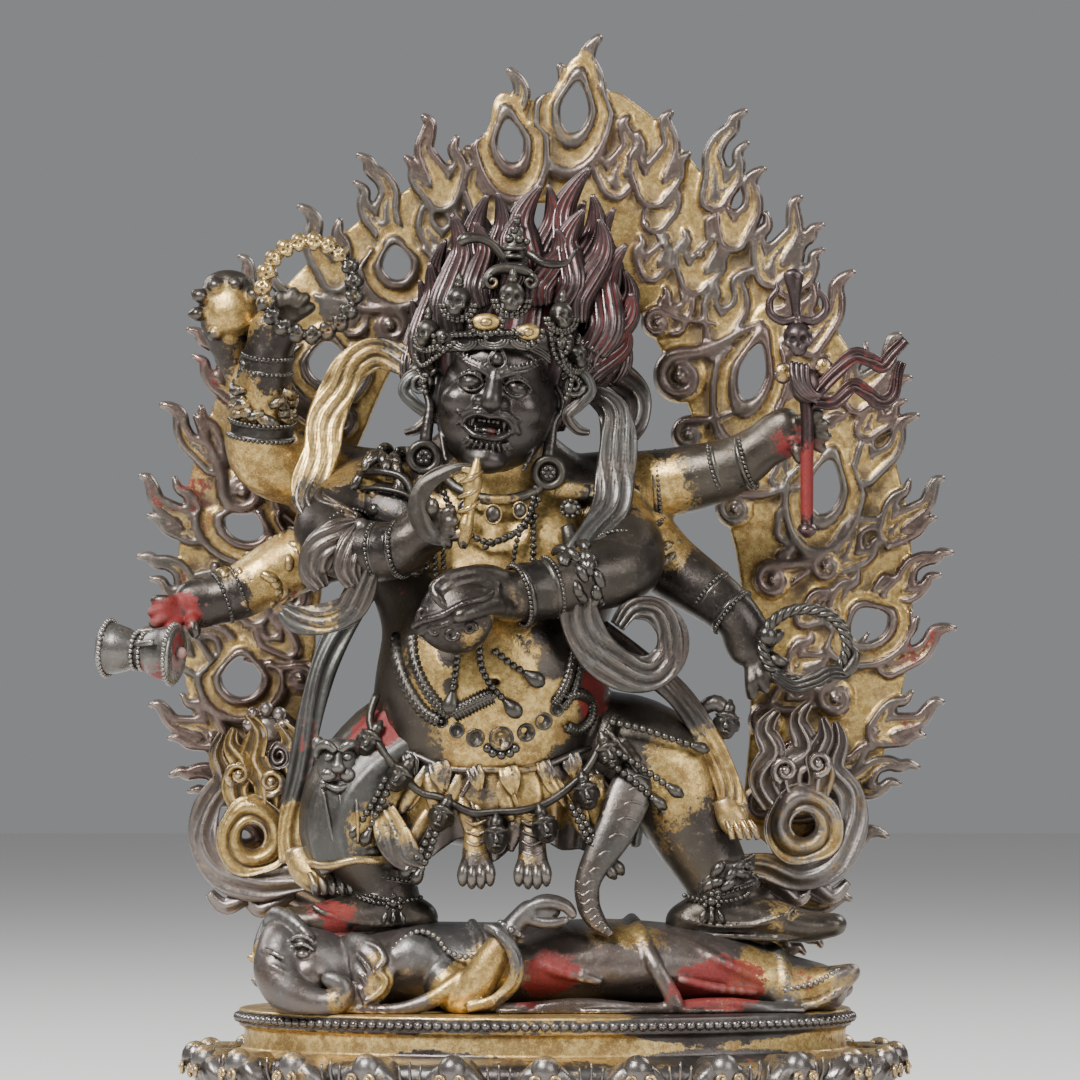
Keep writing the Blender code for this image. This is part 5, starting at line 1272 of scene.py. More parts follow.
def build_crown(material):
    heap = Heap()
    skull = skull_form(700)
    domes = [(-34.9, 259.5, 3.2, -52), (-25.7, 268.6, 3.4, -24), (-9.9, 269.8, 3.5, 6), (4.8, 264.6, 3.1, 34),
             (9.4, 252.6, 2.8, 58), (-38.5, 248.0, 2.2, -70)]
    cords = []
    for x, z, size, yaw in domes:
        y = crown_y(x, 1.0)
        heap.add(*placed(skull, (x, y, z), size / 4.4, 6, yaw), 0.1)
        heap.ball((x + 0.2, y, z + size * 1.45), (size * 0.42, size * 0.42, size * 0.3), 0.1)
        heap.loft([(x + 0.2, y, z + size * 1.5, 0.9, 0.9), (x + 0.4, y, z + size * 1.95, 1.2, 1.2),
                   (x + 0.5, y, z + size * 2.5, 0.25, 0.25)], 0.2, sides=10, per_span=3)
        for row in (0, 1):
            reach = size * (1.22 + 0.3 * row)
            cords.append([(x + reach * math.sin(math.radians(a)),
                           crown_y(x + reach * math.sin(math.radians(a)), 1.8 - 0.4 * row),
                           z - 1.0 - reach * 0.9 * math.cos(math.radians(a)))
                          for a in (-88, -60, -30, 0, 30, 60, 88)])
    # gilt petals between the skulls, edged with beads
    for x, z, wide, tall, yaw in ((-17.4, 262.4, 4.6, 2.7, -8), (-5.0, 259.5, 4.0, 2.7, 18),
                                  (-30.2, 258.2, 2.6, 2.4, -34),
                                  (4.2, 256.2, 2.6, 2.6, 40)):
        y = crown_y(x, 0.2)
        heap.ball((x, y, z), (wide, 1.5, tall), 0.75, 10, 20)
        heap.ball((x, y - 1.0, z), (wide * 0.45, 1.2, tall * 0.5), 0.2, 8, 12)
        cords.append([(x + wide * 1.1 * math.sin(math.radians(a)), y - 1.0,
                       z - 0.2 - tall * 1.25 * math.cos(math.radians(a)))
                      for a in (-100, -60, -30, 0, 30, 60, 100)])
        cords.append([(x + wide * 0.35 * math.sin(math.radians(a)) + 0.0, y - 1.4,
                       z - 3.6 - 0.8 * math.cos(math.radians(a)))
                      for a in (-90, 0, 90)])
    # strands that hang beside the face
    for points in ([(-38.5, 253), (-36.5, 249.8), (-32, 252.5), (-26.8, 256.4)],
                   [(-38.8, 251), (-36.8, 246.5), (-35.4, 242)], [(2.0, 262), (1.8, 257), (3.6, 251.5), (8.2, 246.4)],
                   [(5.0, 260), (4.6, 254), (6.6, 248.6), (10.4, 245)], [(7.2, 250), (7.8, 244.6), (6.2, 240)]):
        cords.append([(x, crown_y(x, 1.6), z) for x, z in points])
    # the band's scalloped edge
    edge = [(-29.5, 255.0), (-26.5, 257.2), (-21.8, 256.4), (-19.0, 257.4), (-13.2, 256.8), (-11.6, 257.0),
            (-7.6, 255.6),
            (-5.6, 254.8), (-1.0, 252.6), (1.6, 250.6)]
    for k in range(3):
        heap.loft([(x, crown_y(x, -0.9 + 0.35 * k), z + 0.9 * k, 0.5, 0.6) for x, z in edge], 0.1, sides=8)
    heap.loft([(x, crown_y(x, -0.8), 257.5 - 0.06 * abs(x + 13), 1.0, 3.0) for x in range(-36, 10, 4)], 0.2,
              sides=12, facing=(0, 0, 1))
    for first, last in ((-28, -20), (-20, -10.4), (-10.4, -1.6)):
        for k in range(3):
            middle, half = (first + last) / 2, (last - first) / 2 - 0.4 - 0.9 * k
            heap.loft([(middle + half * math.cos(a), crown_y(middle + half * math.cos(a), 1.0 + 0.2 * k),
                        257.4 - (2.6 - 0.7 * k) * math.sin(a) - 0.05 * abs(middle + 13), 0.5, 0.5)
                        for a in np.linspace(0, math.pi, 9)], 0.05,
                      sides=8, per_span=3)
        cords.append([(x, crown_y(x, 1.4), 259.4 - 0.06 * abs(x + 13))
                      for x in (first + 0.6, (first + last) / 2, last - 0.6)])
    # arch over the middle and the knot of snakes
    heap.loft([(-18.6, -30, 272.6, 0.7, 1.0), (-16.4, -30, 276.8, 1.3, 1.3), (-12.6, -29, 278.4, 1.7, 1.4),
               (-6.0, -29, 277.6, 1.5, 1.3), (-2.4, -28, 275.2, 0.8, 1.0)], 0.3)
    for hand_ in (-1, 1):
        heap.loft(spiral_rows((-10 + hand_ * 5.6, -31, 274.4), 2.2, 1.2, 0, hand_, 0.75), 0.7, sides=8, per_span=1)
    heap.loft([(-25.2, -26, 286.1, 1.6, 1.6), (-23.4, -26.4, 287.4, 1.9, 1.9), (-19.4, -26, 287.5, 1.5, 1.5),
               (-15.6, -25.6, 285.8, 1.4, 1.4), (-12.9, -25, 282.6, 1.3, 1.3), (-11.5, -24, 280, 1.2, 1.2)], 0.0,
               sides=14)
    heap.loft([(-5.4, -24, 283.4, 1.0, 1.0), (-3.4, -25, 282.2, 1.3, 1.3), (-0.6, -26, 280.2, 1.3, 1.3),
               (3.2, -26, 279.8, 1.3, 1.3), (6.6, -26, 280.4, 0.9, 0.9), (9.4, -25, 284.5, 0.4, 0.4)], 0.0, sides=12)
    for k, (z, size) in enumerate(((279.6, 3.0), (282.2, 2.6), (284.6, 3.1))):
        heap.loft([(-9.3 + size * math.sin(a), -24.6 - size * 0.7 * math.cos(a), z, 0.8, 0.8)
                   for a in np.arange(10) * 2 * math.pi / 10], 0.0, sides=8, per_span=2, closed=True)
    for x, z, size in ((-10.6, 287.5, 1.5), (-7.6, 287.2, 1.4), (-9.2, 290, 1.3), (-5.4, 286.6, 1.1),
                       (-8.4, 292.6, 0.9)):
        heap.ball((x, -24.6, z), size, 0.2)
    heap.loft([(-9.3, -20, 278, 4.6, 3.4), (-9.0, -18, 284, 4.0, 3.0), (-8.6, -17, 291, 2.0, 2.0)], 0.0)
    solid = heap.make("crown_forms")
    beads_ = beads("crown_beads", cords, 0.9, 1.5, material)
    made = joined("mahakala_crown", [solid, beads_])
    gilt = [(-17.4, -34, 262.4, 4.5, 0.85), (-5.0, -33, 259.5, 4, 0.85), (-12, -31, 274, 4, 0.5)]
    return coloured(made, gilt, [(-6, -24, 284, 5, 0.6), (-2, -28, 276, 3, 0.6)], 0.02, 0.0, 1, 0.9)


# ---- guardian: hide skirt, girdle and garland


def shell(rings):
    """Faces round a stack of rings of like count, closed at both ends."""
    n, sides = len(rings), len(rings[0])
    verts = np.concatenate([*rings, rings[0].mean(0)[None], rings[-1].mean(0)[None]])
    k = np.arange(sides)
    j = (k + 1) % sides
    faces = [np.stack([i * sides + k, i * sides + j, (i + 1) * sides + j, (i + 1) * sides + k], 1)
             for i in range(n - 1)]
    faces.append(np.stack([np.full(sides, n * sides), j, k, np.full(sides, n * sides)], 1))
    last = (n - 1) * sides
    faces.append(np.stack([np.full(sides, n * sides + 1), last + k, last + j, np.full(sides, n * sides + 1)], 1))
    return verts, np.concatenate(faces)


def build_skirt():
    heap = Heap()
    levels = np.array([(146, 31, 17), (141, 36, 20), (136, 40, 23.5), (130.5, 43, 28.2), (122, 45, 28.6),
                       (114, 44, 27),
                       (108, 43, 26.5), (106.2, 42.6, 26.2), (106.4, 41, 25), (110, 38, 23)], float)
    fine = smoothed(levels, 5)
    turn = np.arange(170) * 2 * math.pi / 170
    rings = []
    for row in fine:
        z, rx, ry = row
        low = np.clip((140 - z) / 30, 0, 1)
        fold = (1.5 * np.cos(13 * turn + 1.2 * np.sin(3 * turn)) + 0.9 * np.cos(27 * turn + 2 * np.sin(2 * turn))) * low
        hem = (2.6 * np.cos(6.5 * turn + 0.8) + 1.6 * np.cos(13 * turn)) * np.clip((118 - z) / 11, 0, 1)
        x = -15.5 + (rx + fold) * np.sin(turn)
        y = -3.0 - (ry + fold) * np.cos(turn)
        raised = 12 * np.clip(-np.cos(turn) * 1.4, 0, 1) * np.clip((130 - z) / 22, 0, 1)
        rings.append(np.stack([x, y, z - hem + raised], 1))
    heap.add(*shell(rings), 0.0)
    # waist roll under the belly and round the back, with cloth points that hang from it
    for drop, girth, tag in ((0.0, 0.95, 0.2),):
        heap.loft([(-15.5 + (38 + drop * 0.6) * math.sin(a), -3.5 - (29.6 + 0.4 * drop) * math.cos(a),
                    131.6 - drop + 10 * math.sin(a) ** 2 - 2.0 * max(0, math.cos(a)) + 0.5 * math.cos(9 * a), girth,
                    girth)
                   for a in np.arange(40) * 2 * math.pi / 40], tag, sides=10, per_span=3, closed=True)
    for a, wide, long in ((-0.92, 3.0, 6.5), (-0.66, 2.4, 5.0), (-0.4, 3.4, 7.0), (-0.12, 2.6, 5.5), (0.14, 3.2, 6.8),
                          (0.42, 2.4, 5.2), (0.66, 3.0, 6.4)):
        x, y, z = -15.5 + 39 * math.sin(a), -4.4 - 29.8 * math.cos(a), 129.6 + 10 * math.sin(a) ** 2
        band(heap, [(x - 1.0, y + 0.8, z + 1.0, wide * 0.9, 0.8), (x - 0.2, y - 0.4, z - 0.35 * long, wide, 0.9),
                    (x + 0.8, y + 0.2, z - long, wide * 0.3, 0.7)],
             2, 0.5, 0.25, 5, sides=20)
    # paws of the hide, its striped tail and small aprons
    for x, y in ((-20.3, -32), (-3.7, -32.5)):
        heap.loft([(x + 1, y + 4, 120, 3.6, 2), (x, y + 1, 110, 3.9, 2.6), (x, y, 104, 4.4, 3.2),
                   (x, y, 100.2, 5.6, 4.0),
                   (x, y, 97.0, 4.8, 3.4)], 0.35, sides=24)
        for k, lift in ((-1.5, 0.8), (-0.5, 0.0), (0.5, 0.0), (1.5, 0.8)):
            heap.loft([(x + k * 2.0, y - 1.6, 102.8 + 0.4 * lift, 1.0, 1.1),
                       (x + k * 2.6, y - 3.4, 99.2 + lift, 1.75, 1.9),
                       (x + k * 2.7, y - 3.0, 96.4 + lift, 1.5, 1.7), (x + k * 2.7, y - 2.2, 95.2 + lift, 0.7, 0.9)],
                       -0.3, sides=14)
        for k in range(5):
            heap.loft([(x - 3.2, y - 1.6, 106 + 3 * k, 0.3, 0.4),
                       (x + 0.4 * (-1) ** k, y - 2.8 + 0.5 * k, 104.8 + 3 * k, 0.6, 0.6),
                       (x + 3.2, y - 1.4, 106.4 + 3 * k, 0.3, 0.4)], 0.3, sides=8)
    tail = smoothed([(27, -25, 132, 3.4, 2.0), (25.4, -28, 124, 6.4, 2.4), (20.6, -31, 112, 6.0, 2.7),
                     (13.4, -32.6, 99, 4.1, 2.8),
                     (12.6, -33, 91, 3.6, 2.6), (15.4, -32.6, 85, 2.8, 2.2), (19.6, -32, 81.2, 1.3, 1.3)], 8)
    heap.loft(tail, 0.05, sides=18, per_span=1)
    for k in range(2, len(tail) - 4, 3):
        x, y, z, wide, deep = tail[k]
        heap.loft([(x - wide * 0.88, y - deep * 0.4, z + 0.9, 0.3, 0.3),
                   (x - wide * 0.3, y - deep * 0.86, z - 0.7, 0.45, 0.4),
                   (x + wide * 0.3, y - deep * 0.86, z + 0.7, 0.45, 0.4),
                   (x + wide * 0.88, y - deep * 0.4, z - 0.6, 0.3, 0.3)], -0.1, sides=8)
    # cloth drawn over the thigh at the viewer's left, its rolled hem and the hide's corner
    def gathered(a):
        return 1 + 0.035 * math.cos(9 * a) + 0.02 * math.cos(17 * a + 1)

    heap.loft([(-28, -3, 138, 19, 19), (-42, -8, 133, 18.8, 18.2), (-54, -13, 123, 16.4, 16.2),
               (-58.6, -15, 113, 14.4, 14.2),
               (-57.6, -15.4, 105.4, 12.8, 12.8), (-56.4, -15.5, 102.6, 12.4, 12.4), (-56.2, -15.5, 101.8, 9.0, 9.0)],
               0.3, sides=72,
              section=gathered)
    heap.loft([(-56.4 + 13.2 * math.sin(a), -15.6 - 13.2 * math.cos(a),
                102.6 + 1.5 * math.sin(a) + 0.5 * math.cos(5 * a), 1.25, 1.25)
               for a in np.arange(24) * math.pi / 12], 1.1, sides=10, per_span=3, closed=True)
    for k in range(5):
        heap.loft([(-66 + 5 * k, -28.4 + 0.8 * abs(k - 2), 124 - k, 0.45, 0.6),
                   (-64.4 + 4.4 * k, -29.6 + 0.7 * abs(k - 2), 116, 0.6, 0.7),
                   (-62.6 + 3.6 * k, -28.4 + 0.6 * abs(k - 2), 108, 0.4, 0.6)], 0.4, sides=8)
    band(heap, [(-48, -28, 118, 3.6, 1.2), (-45, -30.6, 110, 5.4, 1.2), (-41, -32, 104.6, 4.8, 1.2),
                (-35.6, -32.6, 101.0, 1.8, 1.0)], 2, 0.6, 0.4)
    for k, (x, z, lean, long) in enumerate(((-45, 121, -3, 8), (-39, 124, -4, 7), (-33, 121, 2, 8), (-27, 124, -3, 7),
                                            (-23, 115, 2, 7), (-12, 121, 3, 8),
                                            (-9, 112, -1, 6), (2, 125, 4, 6), (9, 117, 3, 8), (16, 124, 4, 7),
                                            (22, 118, 3, 8), (-37, 113, -4, 7))):
        y = -3.2 - 28.2 * math.sqrt(max(0.02, 1 - ((x + 15.5) / 46) ** 2))
        heap.loft([(x - lean, y + 0.8, z + long, 1.2, 1.2), (x - 0.3 * lean, y - 0.4, z + 0.3 * long, 2.2, 1.5),
                   (x + 0.4 * lean, y - 0.5, z - 0.4 * long, 2.0, 1.4),
                   (x + lean, y + 0.6, z - long, 0.9, 1.0)], 0.3, sides=14)
        heap.loft([(x - lean + 3, y + 0.6, z + long * 0.8, 0.5, 0.6), (x + 3.2, y - 0.5, z, 0.9, 0.9),
                   (x + lean + 2.4, y + 0.4, z - long * 0.9, 0.4, 0.5)], 0.1,
                  sides=10)
    for x, z, w in ((-6, 122, 7), (14, 118, 7), (31, 118, 6)):
        y = -3.0 - 28.5 * math.sqrt(max(0, 1 - ((x + 15.5) / 46) ** 2))
        heap.loft([(x, y + 1, z + 10, w * 0.5, 1.4), (x + 1, y - 0.5, z, w * 0.62, 1.5),
                   (x + 2, y - 0.5, z - 8, w * 0.36, 1.2)],
                  0.7, sides=20)
    # mask of the hide at the knee
    mx = -61.3
    heap.ball((mx, -22, 131.5), (6.6, 6.2, 8.0), 0.0, 16, 26)
    for side in (-1, 1):
        heap.loft([(mx + side * 0.8, -28.2, 135.4, 1.1, 1.1), (mx + side * 3.2, -28.2, 137.4, 1.5, 1.4),
                   (mx + side * 5.6, -25.6, 136.6, 1.4, 1.3),
                   (mx + side * 6.6, -23.6, 133.6, 0.9, 1.0)], 0, sides=14)
        heap.ball((mx + side * 2.7, -27.6, 133.6), (1.6, 1.3, 1.3), 0)
        heap.ball((mx + side * 2.7, -27.6, 128.4), (2.5, 2.0, 2.2), 0, 8, 14)
        heap.ball((mx + side * 6.2, -20.6, 137.4), (2.0, 1.8, 2.4), 0)
        heap.ball((mx + side * 4.2, -25.6, 125.6), (1.6, 1.6, 1.5), 0)
    heap.loft([(mx, -27.0, 135, 1.1, 1.2), (mx, -28.8, 132, 1.5, 1.5), (mx, -29.6, 130.4, 2.2, 1.4),
               (mx, -28.8, 129.4, 1.2, 1.0)], 0, sides=14)
    heap.loft([(mx - 3.4, -26.6, 125.4, 0.8, 0.9), (mx, -28.4, 124.2, 1.1, 1.1), (mx + 3.4, -26.6, 125.4, 0.8, 0.9)],
              0)
    made = heap.make("mahakala_hide_skirt")
    gilt = [(-35, -28, 120, 15, 0.5), (-12, -30, 124, 15, 0.55), (12, -28, 122, 12, 0.5), (-56, -28, 112, 9, 0.45),
            (4, -30, 118, 9, 0.4), (-4, -33, 103, 6, 0.35),
            (-21, -34, 106, 6, 0.35), (-15, 26, 120, 30, 0.3), (-61, -28, 130, 9, -1.0), (-65, -26, 110, 5, -0.8)]
    red = [(-52, -22, 142, 9, 1.0), (-44, -20, 148, 8, 0.7), (22, -18, 146, 10, 0.9), (-50, -22, 150, 6, 0.6),
           (-61, -27, 128.5, 1.8, 1.0)]
    return coloured(made, gilt, red, 0.12, 0.0, 3, 1.1)


def build_garland(material):
    heap = Heap()
    mask = mask_form(900)
    heads = [(-52.1, -24, 139.2, 30), (-42.9, -29, 128.8, 35), (-30.7, -32.5, 117.2, 22), (-14.4, -36, 111.1, 0),
             (0, -35.5, 114.1, -16), (12.2, -32, 123.9, -12), (18.9, -28.5, 135.6, -20), (54.0, -17.4, 144.4, 10)]
    for x, y, z, turn in heads:
        heap.add(*placed(mask, (x, y, z - 1), 0.82, turn, turn * -0.3), 0.0)
    cord = [(-50, -20, 152), (-52, -23.5, 144), (-47.5, -27, 134.4), (-38, -30, 124), (-30.5, -31.5, 121.6),
            (-22, -33.5, 117.4), (-14.4, -34, 117.6), (-7, -34.5, 118.0), (0, -33.5, 120), (7, -32, 124.6),
            (12.6, -30.5, 130.2), (17, -28, 138), (21, -24, 146)]
    heap.loft([(*p, 1.25, 1.25) for p in cord], 0.3, sides=12, per_span=4)
    # dished discs of the girdle, and the flower under the middle one
    for x, z, size in ((-30.7, 144.3, 1.9), (-26.1, 141.7, 2.2), (-20.6, 139.5, 2.7), (-12.9, 139.3, 3.6),
                       (-5.6, 141.1, 2.7),
                       (-0.4, 144.4, 2.6), (3.6, 147.8, 2.0)):
        y = belly_y(x, z, 0.6)
        rows = []
        for share, deep in ((0.0, 1.4), (0.75, 1.5), (1.0, 0.6), (1.05, -0.3), (0.92, -0.9), (0.72, -0.3),
                            (0.4, 0.25), (0.0, 0.4)):
            rows.append(np.stack([x + size * share * np.cos(np.arange(20) * math.pi / 10), np.full(20, y + deep),
                                  z + size * share * np.sin(np.arange(20) * math.pi / 10)], 1))
        heap.add(*shell(rows), 0.6)
    for k in range(5):
        a = math.radians(-70 + 35 * k)
        heap.ball((-12.9 + 4.4 * math.sin(a), belly_y(-12.9, 137) - 0.8, 137.4 - 3.0 * math.cos(a)), (1.4, 1.3, 1.4),
                  0.0)
    # scaly snakes: two bands down the left of the belly, a rolled one at its foot, a ring and a loop at the right
    snakes = [([(-44.6, 170), (-43.4, 162), (-40.4, 154), (-36, 147.6), (-31, 144.2)], 2.0),
              ([(-39.6, 170), (-38.4, 162), (-35.6, 155), (-31.6, 149.4), (-27.6, 146)], 1.9),
              ([(-27.4, 146.6), (-23.6, 148.4), (-19.2, 150.6), (-15.4, 152.2)], 2.6),
              ([(2.4, 149.6), (5.0, 153), (7.2, 158.6), (8.4, 166)], 1.5),
              ([(5.0, 148), (7.8, 152), (9.8, 158), (10.8, 165)], 1.4),
              ([(6.0, 151.4), (10.4, 152.4), (13.6, 149.4), (13.4, 144.6), (10.0, 141.6), (6.4, 142.8)], 1.7)]
    for path, girth in snakes:
        rows = smoothed([(x, belly_y(x, z, 0.5), z, girth, girth * 0.8) for x, z in path], 9)
        for k, row in enumerate(rows):
            row[3:5] *= (1 + 0.15 * math.cos(k * math.pi)) * (0.55 if k in (0, len(rows) - 1) else 1)
        heap.loft(rows, 0.1, sides=14, per_span=1)
        for k, row in enumerate(rows[1:-1]):
            heap.ball((row[0] + 0.35 * girth * (-1) ** k, row[1] - girth * 0.62, row[2]), 0.36 * girth, 0.1, 4, 6)
    solid = heap.make("garland_forms")

    strands = [[(-25.6, 166), (-26.4, 159), (-27.4, 152.6)],
               [(-19.4, 167), (-18.6, 160), (-15.6, 154.6), (-11.6, 150.4)],
               [(-14.5, 165), (-10, 161.4), (-5.6, 158.6)]]
    large = [[(x, belly_y(x, z, 0.9), z) for x, z in s] for s in strands]
    tassels = [[(-47.5, -30, 127), (-51, -29, 120), (-55.4, -27.6, 113.4)],
               [(-46, -30.4, 125), (-49.4, -30, 118), (-52, -29, 112)],
               [(-33.6, -33, 113), (-36, -33, 107), (-39.4, -32, 102)],
               [(-32.4, -33.6, 111), (-34.4, -33.6, 105), (-36.6, -33, 100.6)],
               [(7.9, -33.6, 119), (12, -33.4, 111), (18, -32, 102)],
               [(10, -33, 118), (14.6, -32.4, 110), (20, -31, 103)],
               [(18, -31, 133), (25, -30.6, 127.6), (32, -29.4, 121.6)],
               [(20, -31, 136), (28, -30.6, 131), (36.6, -29.6, 125)],
               [(20, -28, 144), (29, -28.6, 142), (38, -27.6, 139), (44, -25.4, 137)]]
    chest = [[(-3, -23.4, 205), (-8, -25.6, 200.6), (-17.6, -25.4, 196)],
             [(-3.6, -22.4, 204), (-3.4, -25, 198), (-3.6, -24.8, 192)],
             [(-30, -19, 212), (-26, -23.6, 203), (-18, -26, 197.6), (-9, -26, 200), (-2, -22, 210)]]
    pieces = [solid, beads("strands", large, 1.25, 1.9, material),
              beads("chest", chest, 1.15, 2.0, material), beads("tassels", tassels, 1.25, 2.2, material)]
    drops = Heap()
    for cord_ in large:
        x, y, z = cord_[-1]
        ax, ay, az = cord_[-2]
        way = unit(np.array((x - ax, 0, z - az)))
        drops.loft([(*(np.array((x, y - 0.4, z)) + way * s_), r, r * 0.8) for s_,
                    r in ((-0.6, 0.9), (1.0, 1.7), (3.0, 2.5), (5.0, 2.2), (6.4, 0.7))],
                   0.0, sides=14)
    for cord_ in tassels:
        (ax, ay, az), (x, y, z) = cord_[-2], cord_[-1]
        way = unit(np.array((x - ax, y - ay, z - az)))
        rows = [(*(np.array((x, y, z)) + way * s), r, r) for s,
                r in ((-0.6, 0.6), (1.6, 1.7), (3.6, 1.8), (5.4, 0.5))]
        drops.loft(rows, 0.0, sides=12)
    pieces.append(drops.make("drops"))
    made = joined("mahakala_garland", pieces)
    return coloured(made, [(-12, -40, 139, 12, 0.35), (-24, -34, 122, 8, 0.3)], [(-48, -24, 146, 6, 0.5)], 0.06, 0.0,
                    1, 0.9)


# ---- guardian: scarves, bracelets, necklaces and ear rings


def band(heap, stations, ribs=3, depth=0.8, tag=0.0, per_span=6, facing=FRONT, sides=36):
    """A flat scarf with rolled edges and folds that run along it."""
    rows = smoothed(stations, per_span)
    way = frames(rows[:, :3], False, facing)
    turn = np.arange(sides) * 2 * math.pi / sides
    flat = np.sign(np.sin(turn)) * np.abs(np.sin(turn)) ** 0.55
    across_ = np.cos(turn)
    rings = []
    for k, (row, (_, across, deep)) in enumerate(zip(rows, way)):
        drift = 0.25 * math.sin(k * 0.35)
        fold = np.cos((across_ + drift) * math.pi * ribs) * depth * np.clip(1.15 - across_ ** 2, 0, 1)
        hem = 0.35 * np.exp(-((np.abs(across_) - 0.93) / 0.09) ** 2) * depth
        thick = np.sign(flat) * (hem + fold * (flat > 0) + fold * 0.6 * (flat < 0) * -1)
        rings.append(row[:3] + np.outer(across_ * row[3], across) + np.outer(flat * row[4] + thick, deep))
    heap.add(*shell(rings), tag)


def build_scarves():
    heap = Heap()
    # over the viewer's left shoulder, down beside the arm to the bow
    band(heap, [(-34, -6, 246, 3.4, 1.6), (-41, -7, 251, 4.4, 1.5), (-50, -4, 254, 5, 1.5), (-58, -4, 250, 5.2, 1.5),
                (-62, -5, 243, 5.4, 1.5),
                (-65.5, -7, 234, 5.8, 1.5), (-67, -10, 224, 5.6, 1.5), (-70.5, -14, 214.5, 5.4, 1.6),
                (-69, -19, 208.6, 5.0, 1.7),
                (-62, -24, 205, 4.4, 1.8), (-56, -28.5, 202.6, 3.4, 2.0)], 3, 0.75, 0.9)
    # two leaves of the bow and its knot
    for rows in ([(-55, -31, 202.5, 1.8, 1.8), (-61, -33, 200, 4.6, 2.2), (-66.4, -33.6, 195, 5.4, 2.4),
                  (-68.4, -33, 188.6, 4.6, 2.2),
                  (-66, -32, 184, 2.6, 1.6)],
                 [(-55, -32, 202, 1.6, 1.8), (-58, -35, 196.6, 3.4, 2.0), (-58.4, -36, 190, 4.2, 2.2),
                  (-56.6, -35, 184.6, 2.6, 1.6)]):
        band(heap, rows, 3, 0.7, 0.15)
    heap.ball((-54.6, -32.6, 201.6), (2.6, 2.4, 3.0), 0.1)
    band(heap, [(-55, -32, 200, 2.0, 1.6), (-53, -35, 192, 3.4, 1.5), (-54, -35, 184, 4.2, 1.5),
                (-58, -33, 177.6, 4.6, 1.5),
                (-66, -30, 174.6, 4.6, 1.5), (-73.6, -28, 174.6, 4.2, 1.5), (-77.4, -27, 177.6, 2.6, 1.4)], 3, 0.7,
                0.35)
    # small ribbons beside each ear
    for side, cx in ((-1, -35.5), (1, 7.0)):
        band(heap, [(cx - side * 2, -16, 246, 1.6, 1.0), (cx + side * 3.6, -17, 247, 2.0, 1.0),
                    (cx + side * 6.4, -17, 242.6, 2.0, 1.0),
                    (cx + side * 3.4, -18, 238.6, 1.9, 1.0), (cx - side * 0.4, -18, 235, 1.8, 1.0),
                    (cx + side * 2.6, -18, 231, 1.6, 1.0),
                    (cx + side * 6.0, -17, 230, 1.0, 0.9)], 1, 0.45, 0.2)
        heap.loft(spiral_rows((cx + side * 1.5, -19, 244), 3.2, 1.3, 90, side, 0.9), 0.15, sides=10, per_span=1)
    # shoulder leaves at the viewer's right, the arch behind, and the scarf to its loop
    band(heap, [(4, 2, 248, 3.2, 1.8), (12, 5, 250, 4.2, 1.8), (21, 6, 248, 4.6, 1.8), (27, 5, 242, 4.6, 1.8),
                (27, 2, 234, 4.2, 1.8),
                (23.6, -2, 228, 3.4, 1.8)], 2, 0.8, 0.3)
    band(heap, [(14, -10, 242, 3.0, 1.6), (20, -12, 237, 4.6, 1.6), (22, -14, 228, 5.6, 1.6),
                (21, -16, 218, 6.0, 1.6),
                (19.6, -20, 208, 5.8, 1.7), (15, -26, 199.6, 5.2, 1.8), (9.6, -32, 192, 5.2, 1.8),
                (8.6, -37, 183, 5.6, 1.7),
                (10.6, -37, 174, 6.0, 1.6), (15, -35, 165.4, 6.2, 1.6), (22.6, -32, 159.4, 6.0, 1.6),
                (31, -30, 158.6, 5.4, 1.5),
                (37, -29, 163.6, 5.0, 1.5), (37.6, -29, 171, 4.6, 1.5), (32.6, -30, 177, 4.0, 1.5),
                (25.6, -31, 177.4, 3.2, 1.5),
                (21.4, -32, 172.6, 2.4, 1.4)], 3, 0.9, 0.2)
    # hind legs of the hide, as straps down each side
    band(heap, [(-50, 2, 190, 5, 1.8), (-58, -2, 178, 4.6, 1.6), (-65, -5, 163, 4.2, 1.6), (-70, -7, 146, 3.8, 1.6),
                (-73.4, -8, 128, 3.8, 1.6), (-75.6, -9, 112, 4.2, 1.7), (-75, -11, 102, 4.6, 1.9)], 2, 0.6, 0.0)
    heap.loft([(-74, -12, 106, 4.0, 3), (-71, -14, 99, 4.8, 3.6), (-65, -16, 96.4, 4.4, 3.4)], 0.6, sides=18)
    for k in range(5):
        x = -69 + 2.6 * k
        heap.loft([(x - 1, -17.4, 98.6, 1.0, 1.2), (x + 0.4, -19.4, 95.4, 1.3, 1.6), (x + 0.8, -19, 92.6, 1.0, 1.2)],
                  0.6, sides=10)
    band(heap, [(16, -8, 170, 4.6, 1.8), (27.6, -12, 161.6, 4.2, 1.6), (39.6, -16, 152, 3.8, 1.6),
                (48.4, -19, 139, 3.9, 1.6),
                (54, -21, 126, 4.0, 1.6), (56, -22, 118.6, 4.4, 2.2)], 3, 0.7, 0.15)
